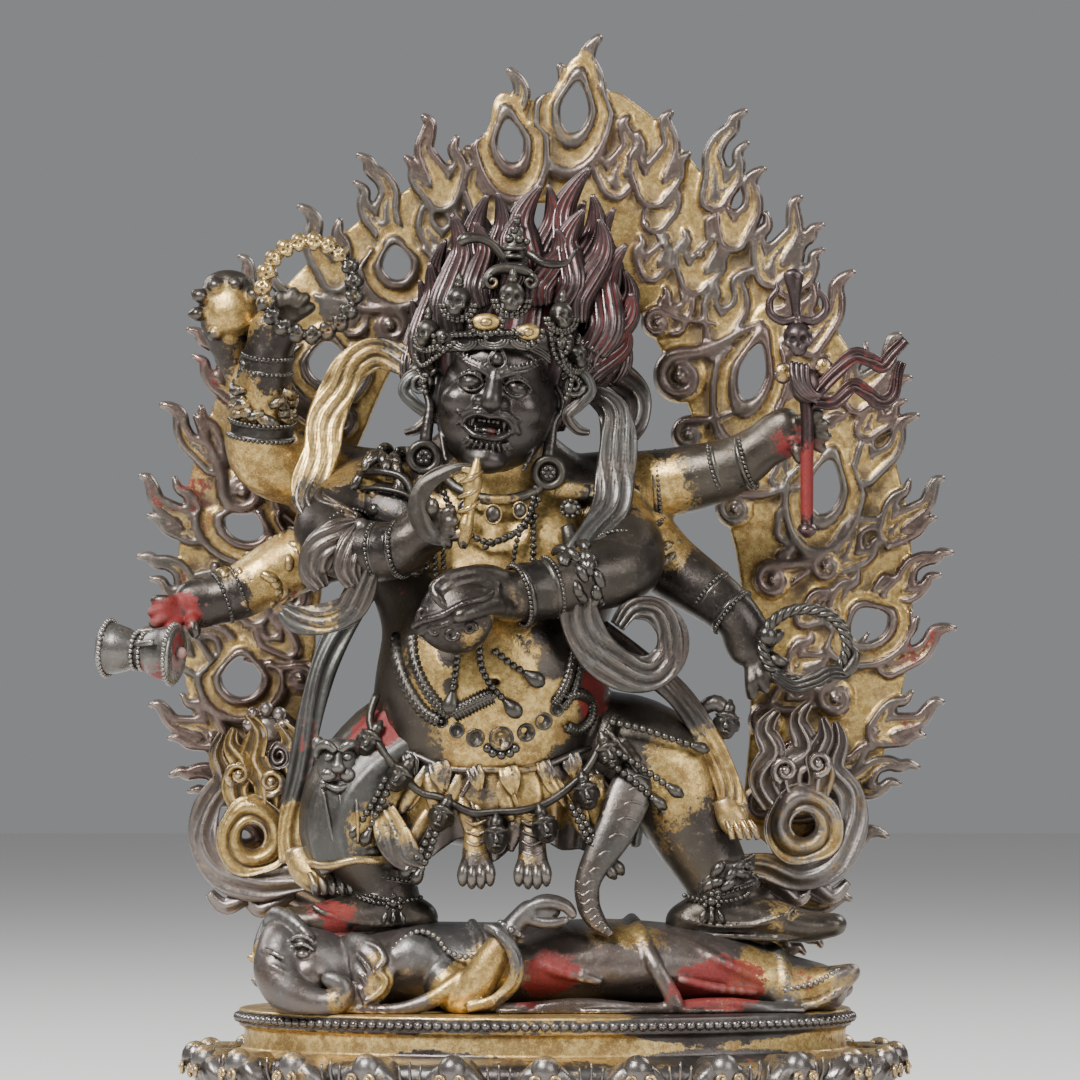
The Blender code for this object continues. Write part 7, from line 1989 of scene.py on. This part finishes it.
def build_prone(quick):
    field = Field((-98, -50, 56), (99, 14, 98), 0.95 if quick else 0.56)
    field.loft([(-62, -13, 69, 11, 18), (-40, -12, 71, 12, 20), (-10, -12, 71, 12, 21), (20, -12, 72, 12, 21),
                (48, -13, 70, 11, 17), (68, -15, 66, 8.5, 12), (84, -16, 64, 6, 8)], 3, 5)
    # head: brow, trunk curling under, ear with a ruffled edge, tusk and eye
    field.ball((-70, -19, 73), (14, 15, 12.0), 4, 18)
    field.ball((-78.5, -23, 77.5), (6.6, 9, 7.6), 4)
    field.loft([(-78, -26, 78, 6.4, 6.4), (-79.4, -31, 71, 6.4, 6.0), (-76.6, -34, 65, 5.8, 5.4),
                (-70.6, -36, 61.6, 4.8, 4.4),
                (-64, -37.6, 60.8, 3.6, 3.2), (-59.8, -38, 63.2, 2.8, 2.6), (-60.4, -38, 67.0, 2.3, 2.2),
                (-64.2, -37.6, 68.6, 1.7, 1.8)], 1.6, 5)
    field.ball((-69.6, -28.6, 69.4), (8.0, 7.4, 7.0), 1.2)
    for k, (x, z) in enumerate(((-83.4, 76), (-83.6, 72), (-82.4, 68), (-79.6, 63.6))):
        field.loft([(x - 0.4, -34 + 0.5 * k, z + 1.2, 0.3, 0.3), (x + 3.4, -37.4, z, 0.5, 0.6),
                    (x + 7.0, -38.4, z - 1.8, 0.3, 0.3)], 0.9)
    field.loft([(-58, -27, 79.6, 2.2, 1.8), (-53, -32.4, 75.6, 5.4, 1.8), (-50.6, -35, 70, 6.2, 1.8),
                (-52, -35.6, 64.6, 4.8, 1.8), (-56, -35.4, 60.6, 2.4, 1.6)], 1.2, 5)
    field.loft([(-53.4, -32, 79.0, 0.7, 0.8), (-49.4, -34.6, 77.2, 1.0, 1.1), (-47.6, -36.4, 74.0, 1.1, 1.1),
                (-49.4, -37.4, 71.0, 1.0, 1.1),
                (-47.2, -37.6, 68.0, 1.1, 1.1), (-48.8, -38, 64.6, 1.1, 1.1), (-53.0, -38, 61.4, 0.9, 1.0)], 0.5, 5)
    for x, z, lean in ((-55.6, 75.6, 4.4), (-56.6, 71.6, 5.0), (-56.4, 67.8, 3.6)):
        field.loft([(x, -33.4, z, 0.6, 0.8), (x + 0.6 * lean, -37.2, z - 2.8, 0.9, 1.0),
                    (x + lean, -37.6, z - 6.8, 0.5, 0.6)], 0.9)
    field.ball((-71.6, -33.4, 75.4), (2.3, 2.0, 1.5), 0.5)
    for lift in (0.6, 3.0):
        field.loft([(-75.4, -33, 76.6 + lift, 0.5, 0.6), (-71.8, -34.6, 78.0 + lift, 0.7, 0.8),
                    (-68.4, -33.8, 76.0 + lift, 0.5, 0.6)], 0.4)
    field.loft([(-81.4, -15, 83.6, 2.4, 2.4), (-79.6, -22, 86.4, 2.6, 2.6), (-74.6, -28, 84.6, 2.4, 2.4),
                (-69.6, -31.6, 80.4, 1.6, 1.8)], 0.8)
    # the band along the crown of the head, with two points
    field.loft([(-82.6, -14, 83.6, 2.0, 2.4), (-84.4, -18, 76.6, 2.4, 2.6), (-83.0, -23, 68.6, 2.6, 2.8),
                (-79.6, -28, 62.0, 2.6, 2.8),
                (-76.0, -31, 58.6, 2.2, 2.4)], 0.6, 5)
    for x, z in ((-88.2, 73.4), (-87.0, 66.4)):
        field.loft([(-84.0, -19, z, 1.8, 1.8), (x + 1.4, -19.6, z + 0.2, 1.3, 1.3), (x, -20, z + 0.8, 0.5, 0.5)], 0.5)
    field.ball((-39.6, -27, 74.6), (8.4, 9.0, 8.2), 3)
    # the arm raised with a bowl, its loop of scarf, and the arm along the side
    field.loft([(-30, -30, 68, 6, 6), (-25, -34.6, 63.4, 5.8, 5.2), (-20.6, -37, 66.6, 5.2, 4.8),
                (-15.6, -38, 74.4, 4.4, 4.2), (-11.4, -38, 81, 3.2, 3.2),
                (-8.4, -38, 85.2, 2.7, 2.7), (-4.4, -38, 88.6, 3.1, 3.0)], 1.2, 5)
    for k in range(8):
        a = math.radians(45 * k)
        field.ball((-10.0 + 3.1 * math.cos(a), -38 + 3.4 * math.sin(a), 83.0 - 1.9 * math.cos(a)), 1.15, 0.2)
    # the hand: fingers bent over an open palm, the thumb below
    for k in range(3):
        field.loft([(-5.0, -36.2 - 1.7 * k, 89.2, 1.7, 1.7), (-1.2, -36 - 2.1 * k, 91.4 - 0.3 * k, 1.8, 1.6),
                    (2.6, -36 - 2.2 * k, 91.6 - 0.4 * k, 1.6, 1.5),
                    (6.2, -36 - 2.1 * k, 90.2 - 0.3 * k, 1.5, 1.4), (8.2, -36 - 2.0 * k, 87.8 - 0.2 * k, 1.3, 1.2)],
                    0.35, 5)
    field.ball((-0.6, -37.6, 88.2), (5.2, 3.0, 2.8), 0.6)
    field.loft([(-5.6, -38.6, 86.4, 2.0, 2.2), (-1.4, -39.6, 85.2, 1.7, 1.8), (2.8, -40.2, 85.0, 1.5, 1.5),
                (6.0, -40.2, 85.8, 1.1, 1.1)], 0.5, 5)
    field.loft([(-17.4, -40, 84.0, 1.0, 1.0), (-14.4, -42, 82.8, 1.5, 1.1), (-10.4, -43.2, 78.6, 1.9, 1.1),
                (-8.2, -43.4, 72.6, 2.2, 1.1), (-9.6, -43, 67.2, 2.2, 1.1),
                (-14.6, -42, 62.4, 1.9, 1.1), (-22.4, -41, 60.2, 1.5, 1.1)], 0.4, 5)
    field.loft([(-14.4, -43.4, 82.4, 0.4, 0.5), (-10.0, -44.4, 78.0, 0.55, 0.6), (-8.0, -44.6, 72.6, 0.6, 0.6),
                (-9.6, -44.2, 67.0, 0.55, 0.6),
                (-14.8, -43.2, 62.0, 0.4, 0.5)], 0.3, 5)
    # the robe: smooth, with three rolled bands across it, soft creases and a rippled hem
    for k, rows in enumerate(([(25, -10, 84.4, 2.6, 1.6), (27.6, -24, 81.6, 2.6, 1.7), (32, -33, 73, 2.4, 1.7),
                               (37.4, -35, 63.4, 2.4, 1.6),
                               (38.6, -35, 59.6, 2.6, 1.6)],
                              [(66, -8, 76.6, 2.0, 1.4), (69.4, -20, 74.6, 2.0, 1.5), (71.4, -26.4, 68, 1.9, 1.5),
                               (72.6, -27.4, 61, 2.2, 1.5)],
                              [(-22, -18, 84, 1.6, 1.2), (-19, -28, 79.6, 1.6, 1.3), (-18.6, -33.4, 73, 1.4, 1.2)])):
        field.loft(rows, 0.7, 6)
    for rows in ([(2, -18, 83.4, 1.0, 1.1), (8, -28, 78.6, 1.3, 1.3), (12, -33.2, 69, 1.0, 1.1)],
                 [(-8, -30, 76, 1.0, 1.0), (2, -33.4, 71, 1.2, 1.2), (16, -34, 67.4, 0.9, 0.9)],
                 [(40, -24, 79, 1.0, 1.0), (52, -29.4, 73, 1.2, 1.2), (64, -27.6, 67.6, 0.9, 0.9)],
                 [(40, -33, 68, 0.9, 0.9), (50, -32.6, 65.6, 1.1, 1.1), (62, -28.6, 64, 0.8, 0.8)],
                 [(46, -14, 81, 0.9, 0.9), (56, -22, 76.6, 1.1, 1.1), (64, -24, 71.6, 0.8, 0.8)]):
        field.loft(rows, 1.6, 5)
    field.loft([(-60, -36, 59.4, 1.6, 1.6), (-44, -37.4, 59.2, 1.9, 1.8), (-34, -38, 62.0, 2.4, 1.9),
                (-27.6, -38, 66.4, 2.2, 1.8),
                (-24.4, -37.4, 69.6, 1.4, 1.3)], 0.8, 5)
    field.loft([(x, -34.6 - 0.8 * math.cos(x / 5.0) + 0.0016 * (x - 10) ** 2, 60.0 + 0.7 * math.sin(x / 6.5), 1.5,
                 1.9) for x in range(-22, 76, 6)],
               1.2, 4)
    field.loft([(x, -35.6 - 0.6 * math.cos(x / 4.0 + 1) + 0.0017 * (x - 12) ** 2, 58.8, 1.0, 1.9)
                for x in range(-14, 80, 6)], 0.5, 4)
    # the shoe
    field.loft([(70, -20, 64, 6, 8), (79, -21, 64.6, 5.6, 6.6), (86, -23, 67, 4.0, 4.6), (91.4, -24, 69.8, 2.0, 2.6)],
               1.5, 5)
    field.loft([(72, -27.6, 59.6, 1.2, 1.4), (80, -28.4, 60.4, 1.2, 1.4), (88, -27, 64.6, 1.0, 1.2),
                (92, -25, 68.4, 0.8, 0.8)], 0.5)
    field.loft([(72, -6, 63, 5, 6), (84, -7, 63, 4, 5), (90, -8, 64, 2, 4)], 1.5)
    field.above(PLINTH_TOP + 0.05)
    verts, faces = field.skin()
    made = mesh_object("prone_elephant_relief", verts, faces, FACES["prone_elephant_relief"])
    gilt = [(-84, -20, 74, 5.5, 0.9), (-82, -25, 66, 5, 0.95), (-78, -31, 59, 5, 0.6), (-47.6, -38, 66, 5, 0.8),
            (-49, -36, 75, 5, 0.5), (-62, -38, 62, 5, 0.5), (-27, -36, 64, 9, 0.7), (-18, -38, 68, 9, 0.75),
            (-12, -34, 80, 9, 0.4),
            (-8, -42, 68, 7, 0.3), (30, -26, 80, 12, 0.35), (62, -26, 72, 9, 0.7), (80, -26, 64, 9, 0.6),
            (90, -22, 68, 6, 0.6),
            (-56, -36, 60, 12, 0.3), (16, -28, 78, 14, 0.3), (52, -32, 62, 10, 0.45), (10, 4, 72, 40, 0.2),
            (-40, -30, 78, 8, -0.6),
            (22, -33, 68, 9, -0.4), (-72, -30, 74, 12, -0.2), (48, -28, 74, 8, -0.4)]
    red = [(3, -33, 70, 8, 1.0), (-4, -34, 62, 7, 0.6), (44, -33, 66, 8, 0.95), (58, -29, 67, 9, 0.9),
           (52, -30, 62, 8, 0.5),
           (-50, -35, 64, 6, 0.6), (-62, -30, 80, 8, 0.3), (76, -26, 68, 6, 0.4), (30, -34, 62, 8, 0.3)]
    return coloured(made, gilt, red, 0.2, 0.0, 3, 1.0)


def build_prone_beads(material):
    cords = [[(-47.6, -33.4, 72.6), (-44.6, -33.4, 77.6), (-40.4, -32, 81.0), (-36.4, -32, 82.2), (-32.0, -33, 80.4),
              (-29.0, -34.4, 76.6),
              (-24.4, -35.4, 74.8), (-20.2, -37, 75.2)],
             [(71.4, -28.4, 64.5), (79.8, -28.0, 66.6), (86.7, -26.6, 70.2)]]
    made = beads("prone_elephant_beads", cords, 0.95, 1.75, material)
    return coloured(made, [(-30, -33, 78, 9, 0.3)], [], 0.1, 0.0, 1)


# ---- what the hands hold


def build_trident():
    x, y = 78.0, -17.5
    heap = Heap()
    heap.loft([(x, y, 198.6, 0.8, 0.8), (x, y, 199.6, 2.2, 2.2), (x, y, 201, 3.1, 3.1), (x, y, 202.6, 2.3, 2.3),
               (x, y, 204, 1.9, 1.9),
               (x, y, 220, 1.95, 1.95), (x, y, 236, 2.0, 2.0), (x - 1.5, y, 250, 2.3, 2.3)], 0.0, sides=20)
    heap.add(*placed(skull_form(1200), (x - 2.7, y - 0.8, 257.6), 0.92, -2), 0.0)
    heap.loft([(x - 2.6, y, 262, 2.2, 2.0), (x - 3.2, y, 265, 1.4, 1.4), (x - 3.5, y, 268.6, 1.5, 1.4),
               (x - 3.7, y, 273, 2.3, 1.9),
               (x - 4, y, 276.6, 3.1, 2.1), (x - 4, y, 278, 2.4, 1.8), (x - 4, y, 278.8, 0.9, 0.8)], 0.1, sides=16)
    for side in (-1, 1):
        heap.loft([(x - 2.8, y - 0.4, 264, 1.3, 1.3), (x - 2.8 + side * 4.4, y - 0.2, 263.2, 1.4, 1.4),
                   (x - 2.8 + side * 8.0, y, 265.6, 1.4, 1.4),
                   (x - 2.8 + side * 8.2, y, 269.4, 1.1, 1.1), (x - 2.8 + side * 6.2, y, 272.4, 0.9, 0.9),
                   (x - 2.8 + side * 6.4, y, 275, 0.3, 0.3)],
                  0.1, sides=12, per_span=5)
    # knotted ribbon and its two wavy ends
    for k in range(4):
        heap.loft([(x - 4.6 + 1.5 * k, y - 3 - 0.3 * k, 251 - 0.2 * k, 0.8, 0.8),
                   (x - 4.2 + 1.5 * k, y - 5.0, 246 - 0.6 * k, 1.0, 1.0),
                   (x - 1.6 + 1.5 * k, y - 5.0, 241.4 - 0.1 * k, 1.0, 1.0),
                   (x + 3.0 + 0.7 * k, y - 3.4, 239.2 + 1.1 * k, 0.9, 0.9)], 0.0, sides=12)
    heap.ball((x - 0.4, y - 1, 244), (4.8, 3.4, 5.6), 0.0, 10, 18)
    for cx, cz, r in ((x - 7.2, 247.6, 3.2), (x + 5.0, 249.4, 3.3)):
        heap.ball((cx, y - 0.4, cz), (r * 0.86, 1.6, r), 0.7, 8, 14)
        for j in (-1, 0, 1):
            heap.ball((cx + j * r * 0.6, y - 1.9, cz + r * (0.3 - 0.4 * abs(j))), (0.9, 0.7, 0.9), 0.6, 4, 8)
    for rows in ([(x + 2, y - 2, 241, 2.0, 1.3), (x + 8, y - 1.6, 247.4, 2.3, 1.3), (x + 14, y - 1, 253, 2.4, 1.3),
                  (x + 19, y, 251.6, 2.3, 1.3),
                  (x + 22.6, y + 0.4, 249.8, 2.2, 1.2), (x + 25.6, y + 0.6, 254, 2.0, 1.2),
                  (x + 29.4, y + 1, 257.6, 1.6, 1.1)],
                 [(x + 2, y - 2, 239.4, 1.8, 1.3), (x + 8, y - 1.4, 238.8, 2.1, 1.3),
                  (x + 13.6, y - 0.6, 244, 2.3, 1.3), (x + 18, y, 241.8, 2.3, 1.3),
                  (x + 21.6, y + 0.4, 239.0, 2.3, 1.2), (x + 25.4, y + 0.6, 241, 2.1, 1.2),
                  (x + 27, y + 1, 247.4, 1.7, 1.1), (x + 28.4, y + 1, 251, 1.4, 1.1)]):
        band(heap, rows, 2, 0.5, 0.0, 6)
    made = heap.make("trident_and_ribbon")
    return coloured(made, [(x - 7, -19, 248, 2.6, 0.7), (x + 5, -19, 249.6, 2.6, 0.7)],
                    [(x, -17, 215, 12, 0.8), (x + 14, -17, 246, 8, 0.4), (x + 26, -17, 250, 6, 0.3)], 0.04, 0.1, 2)


def build_rosary():
    """A ring of small skulls strung close together."""
    heap = Heap()
    skull = skull_form(420)
    for k in range(19):
        a = 2 * math.pi * (k + 0.3) / 19
        heap.add(*placed(skull, (-70.2 + 13.6 * math.sin(a), -17.2 + 2 * math.cos(a), 273 + 14 * math.cos(a)), 0.52,
                         math.degrees(a), 12 * math.sin(3 * k), 0), 0.4 + 0.6 * max(0.0, math.cos(a + 0.5)))
        b = a + math.pi / 19
        heap.ball((-70.2 + 13.6 * math.sin(b), -18.2 + 2 * math.cos(b), 273 + 14 * math.cos(b)), (1.0, 1.0, 1.0), 0.3)
    heap.loft([(-70.2 + 13.6 * math.sin(a), -16.0 + 2 * math.cos(a), 273 + 14 * math.cos(a), 1.7, 1.6)
               for a in np.arange(24) * math.pi / 12],
              0.3, sides=12, per_span=2, closed=True)
    made = heap.make("skull_rosary_relief")
    return coloured(made, [(-70, -17, 287, 12, 0.5), (-84, -17, 276, 8, 0.3)], [(-61, -16, 262, 6, 0.7)], 0.3, 0.0, 1)


def build_noose():
    heap = Heap()
    for strand in range(3):
        rows = []
        for k in range(168):
            a = 2 * math.pi * k / 168
            b = 9 * a + strand * 2 * math.pi / 3
            out = 0.95 * math.cos(b)
            rows.append((77.4 + (12.6 + out) * math.sin(a), -17.5 - math.cos(a) + 0.95 * math.sin(b),
                         166.5 + (11 + out) * math.cos(a), 0.98, 0.98))
        heap.loft(rows, 0.0, sides=8, per_span=1, closed=True)
    heap.ball((66.2, -18, 169.4), (3.0, 2.4, 3.2), 0.0, 8, 14)
    band(heap, [(68, -18, 158, 1.4, 1.0), (74, -19.4, 154.2, 2.2, 1.0), (80, -19.6, 156.4, 2.4, 1.0),
                (85, -19, 158.6, 2.2, 1.0),
                (89.6, -18, 158.2, 1.6, 0.9), (91.6, -18, 161.4, 0.9, 0.8)], 3, 0.4, 0.0, 6)
    heap.loft([(89, -18, 158, 1.5, 1.3), (91.4, -18, 160.6, 1.8, 1.4), (92.6, -18, 164, 1.2, 1.1),
               (90.8, -18, 166.6, 0.5, 0.5)], 0.0)
    made = heap.make("noose_rope")
    return coloured(made, [], [], 0.08, 0.0, 1)


def build_drum(material):
    start, end = np.array((-131.5, -19.5, 166.0)), np.array((-109.0, -26.5, 164.0))
    profile = [(0.0, 0.0), (0.0, 7.2), (0.03, 7.9), (0.07, 8.2), (0.11, 7.6), (0.2, 7.4), (0.34, 6.4), (0.43, 5.0),
               (0.5, 4.7), (0.57, 5.3),
               (0.66, 7.0), (0.8, 8.0), (0.89, 8.3), (0.92, 8.9), (0.97, 8.8), (1.0, 8.0), (0.985, 0.0)]
    along = unit(end - start)
    up = np.array((0.0, 0.0, 1.0))
    side = unit(np.cross(along, up))
    up = np.cross(side, along)
    turn = np.arange(40) * math.pi / 20
    rings = [start + (end - start) * s + np.outer(r * np.cos(turn), side) + np.outer(r * np.sin(turn), up) for s,
             r in profile]
    heap = Heap()
    heap.add(*shell(rings), 0.0)
    cords = []
    for share, radius in ((0.45, 5.4), (0.55, 5.4), (0.07, 8.3), (0.94, 8.9)):
        cords.append([tuple(start + (end - start) * share + side * radius * math.cos(a) + up * radius * math.sin(a))
                      for a in np.arange(17) * math.pi / 8])
    for a in (0.4, 2.5):
        heap.loft([(*(start + (end - start) * 0.5 + side * 5 * math.cos(a) + up * 5 * math.sin(a)), 0.9, 0.9),
                   (*(start + (end - start) * 0.8 + side * 10.4 * math.cos(a) + up * 8.8 * math.sin(a)), 0.9, 0.9)],
                   0.0)
    heap.ball(tuple(end + along * 1.0 + up * 0.6), (1.8, 1.8, 1.8), 0.3)
    made = joined("hand_drum_relief", [heap.make("drum_forms"), beads("drum_beads", cords, 0.8, 1.55, material)])
    return coloured(made, [(-112, -28, 172, 6, 0.4)], [(-109, -26, 164, 8, 1.0), (-116, -26, 160, 6, 0.6)], 0.1, 0.0,
                    1)


def build_knife():
    y = -45.5
    heap = Heap()
    blade = [(-29, 197.5, 1.6, 0.9), (-33.4, 199.4, 2.6, 1.0), (-36.6, 203.6, 3.0, 1.0), (-37.4, 208.6, 3.0, 1.0),
             (-35.6, 213.4, 2.8, 1.0),
             (-31.6, 217, 2.4, 1.0), (-26.8, 218.9, 1.8, 0.9), (-21.4, 219.9, 0.8, 0.7)]
    band(heap, [(x, y, z, w, d) for x, z, w, d in blade], 1, 0.35, 0.0, 6)
    heap.loft([(-24.2, y, 195.4, 0.8, 0.8), (-24, y, 197.4, 1.9, 1.9), (-23.4, y, 202, 2.4, 2.4),
               (-22.6, y, 206, 1.8, 1.8), (-22, y, 210, 2.0, 2.0),
               (-21.4, y, 214, 2.9, 2.6), (-20.6, y, 218, 2.0, 1.9), (-19.8, y, 222.4, 0.6, 0.6)], 0.9, sides=18)
    for k in range(3):
        heap.loft([(-22.4 + k * 0.4 - 3.6, y - 0.4, 206 + 4.4 * k, 0.5, 0.6),
                   (-22.4 + k * 0.4, y - 2.4, 207.4 + 4.4 * k, 0.9, 0.9),
                   (-22.4 + k * 0.4 + 3.2, y - 0.4, 209.4 + 4.4 * k, 0.4, 0.5)], 0.9)
    heap.loft([(-29, y, 199, 1.3, 1.3), (-25.6, y, 199.6, 2.0, 2.0), (-22, y, 202, 1.6, 1.6)], 0.6)
    heap.loft([(-24.6, y, 219, 1.2, 1.1), (-20, y, 218, 1.5, 1.4)], 0.5)
    made = heap.make("curved_knife_relief")
    return coloured(made, [(-22.6, y, 210, 11, 1.1)], [], 0.0, 0.0, 2)


def build_cup(quick):
    field = Field((-43, -62, 164), (-8, -41, 189), 0.6 if quick else 0.4)
    field.loft([(-22.6, -50, 168.0, 2.6, 2.0), (-23.6, -50.4, 170.0, 7.4, 4.4), (-25.2, -51, 173.6, 10.6, 6.2),
                (-27.0, -51.6, 177.6, 11.8, 6.8)],
               1.2, 6)
    field.loft([(-27.0, -51.6, 177.6, 10.8, 6.0), (-28.6, -52, 181.0, 7.6, 4.4), (-29.6, -52, 183.4, 3.4, 2.4)], 1.0,
               6)
    # the turned rim, and folds that follow it
    for drop, grow, girth in ((0.0, 1.03, 1.0), (2.6, 0.96, 0.75), (5.0, 0.82, 0.7)):
        field.loft([(-27.0 + 0.44 * drop + (11.9 * math.cos(a) * grow) * 0.92, -51.6 + 6.9 * math.sin(a) * grow,
                     177.6 - drop + 11.9 * math.cos(a) * grow * 0.38 + 0.3 * math.cos(5 * a), girth, girth)
                    for a in np.arange(24) * math.pi / 12], 0.4, 2, True)
    for cx, cz, size, hand_ in ((-35.4, 176.6, 2.4, 1), (-32.2, 171.6, 2.2, -1), (-27.4, 170.4, 2.0, 1),
                                (-22.0, 172.0, 1.9, -1)):
        reach = 1 - ((cx + 26) / 12.4) ** 2 - ((cz - 176) / 12) ** 2
        field.loft(spiral_rows((cx, -51.4 - 6.7 * math.sqrt(max(0.03, reach)), cz), size, 1.1, 90, hand_, 0.75, 0.9,
                               steps=12), 0.25, 1)
    verts, faces = field.skin()
    made = mesh_object("skull_cup_relief", verts, faces, FACES["skull_cup_relief"])
    return coloured(made, [(-22, -55, 170, 7, 0.75), (-14, -54, 177, 5, 0.6)], [], 0.02, 0.0, 2)


def build_stage():
    floor = bpy.data.meshes.new("floor")
    floor.from_pydata([(-3, -3, 0), (3, -3, 0), (3, 3, 0), (-3, 3, 0)], [], [(0, 1, 2, 3)])
    floor_object = bpy.data.objects.new("floor", floor)
    SCENE.collection.objects.link(floor_object)
    material = bpy.data.materials.new("pale_floor")
    material.use_nodes = True
    material.node_tree.nodes["Principled BSDF"].inputs["Base Color"].default_value = (0.72, 0.71, 0.69, 1)
    material.node_tree.nodes["Principled BSDF"].inputs["Roughness"].default_value = 0.85
    floor.materials.append(material)
    world = bpy.data.worlds.new("studio")
    SCENE.world = world
    world.use_nodes = True
    world.node_tree.nodes["Background"].inputs["Color"].default_value = (0.8, 0.82, 0.85, 1)
    world.node_tree.nodes["Background"].inputs["Strength"].default_value = 0.3
    aim = Vector((0, 0, 0.19))
    for name, turn, rise, power, size in (("key", -36, 42, 40, 0.42), ("fill", 44, 20, 9, 0.7),
                                          ("rim_left", -125, 35, 9, 0.5), ("rim_right", 130, 35, 9, 0.5)):
        lamp = bpy.data.objects.new(name, bpy.data.lights.new(name, "AREA"))
        lamp.data.energy = power
        lamp.data.size = size
        a, b = math.radians(turn), math.radians(rise)
        way = Vector((math.sin(a) * math.cos(b), -math.cos(a) * math.cos(b), math.sin(b)))
        lamp.location = aim + way * 1.3
        lamp.rotation_mode = "QUATERNION"
        lamp.rotation_quaternion = (-way).to_track_quat("-Z", "Y")
        SCENE.collection.objects.link(lamp)
    camera = bpy.data.objects.new("camera", bpy.data.cameras.new("camera"))
    distance = 2.4
    camera.location = (-0.0015, -distance, 0.198)
    camera.rotation_euler = (math.radians(90), 0, 0)
    camera.data.lens = camera.data.sensor_width * distance / 0.324
    camera.data.clip_end = 20
    SCENE.collection.objects.link(camera)
    SCENE.camera = camera


def main():
    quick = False
    build_stage()
    flames = patina("flame_patina", (0.13, 0.09, 0.075), (0.105, 0.092, 0.078), cover=0.6, grey=(0.22, 0.18, 0.16),
                    edge=0.3)
    dark = patina("dark_patina", (0.042, 0.034, 0.03), (0.066, 0.055, 0.042), cover=0.53, grey=(0.11, 0.1, 0.088))
    jewelled = patina("jewel_patina", (0.03, 0.025, 0.023), (0.052, 0.045, 0.036), cover=0.46, rough=0.36)
    face = patina("face_patina", (0.045, 0.037, 0.034), (0.058, 0.05, 0.045), cover=0.4, grey=(0.08, 0.072, 0.066),
                  rough=0.3)
    locks = patina("hair_patina", (0.05, 0.033, 0.032), (0.042, 0.036, 0.034), cover=0.4, grey=(0.13, 0.1, 0.1),
                   sunk=1.1)
    cloth = patina("scarf_patina", (0.085, 0.066, 0.055), (0.07, 0.068, 0.062), cover=0.52, grey=(0.15, 0.135, 0.125))
    # the rolled scarf's bronze is painted far paler than the other scarves' to lift the shadow it sits in behind the
    # body
    rolled = patina("rolled_scarf_patina", (0.19, 0.155, 0.14), (0.15, 0.135, 0.125), cover=0.5,
                    grey=(0.3, 0.265, 0.245), edge=0.2)
    stone = patina("plinth_patina", (0.06, 0.048, 0.044), (0.09, 0.085, 0.08), gold=(0.72, 0.53, 0.22), cover=0.6,
                   grey=(0.17, 0.155, 0.15), edge=0.1)
    pale = patina("pale_patina", (0.12, 0.11, 0.1), (0.09, 0.085, 0.08), cover=0.5, grey=(0.26, 0.25, 0.235))
    prone = patina("prone_patina", (0.13, 0.1, 0.086), (0.11, 0.105, 0.1), cover=0.56, grey=(0.22, 0.2, 0.185))
    wine = patina("trident_patina", (0.05, 0.025, 0.023), (0.045, 0.033, 0.032), cover=0.5, grey=(0.11, 0.085, 0.085))
    body_node = "mahakala_figure"
    dress(build_aureole(quick), "flame_bronze", flames, "flame_aureole")
    dress(build_plinth(stone), "gilt_bronze", stone, "lotus_plinth")
    dress(build_prone(quick), "prone_bronze", prone, "prone_elephant_figure")
    dress(build_prone_beads(prone), "prone_bronze", prone, "prone_elephant_figure")
    dress(build_body(quick), "dark_bronze", dark, body_node)
    dress(build_head(quick), "dark_bronze", face, body_node)
    dress(build_hair(), "dark_bronze", locks, body_node)
    dress(build_crown(jewelled), "dark_bronze", jewelled, body_node)
    dress(build_skirt(), "dark_bronze", cloth, body_node)
    dress(build_garland(jewelled), "dark_bronze", jewelled, body_node)
    dress(build_scarves(), "dark_bronze", cloth, body_node)
    dress(build_swirls(), "dark_bronze", rolled, body_node)
    dress(build_jewels(jewelled), "dark_bronze", jewelled, body_node)
    dress(build_trident(), "red_bronze", wine, "trident")
    dress(build_rosary(), "rosary_bronze", jewelled, "skull_rosary")
    dress(build_noose(), "grey_bronze", jewelled, "noose")
    dress(build_drum(pale), "painted_bronze", pale, "hand_drum")
    dress(build_knife(), "knife_bronze", jewelled, "curved_knife")
    dress(build_cup(quick), "cup_bronze", dark, "skull_cup")


main()
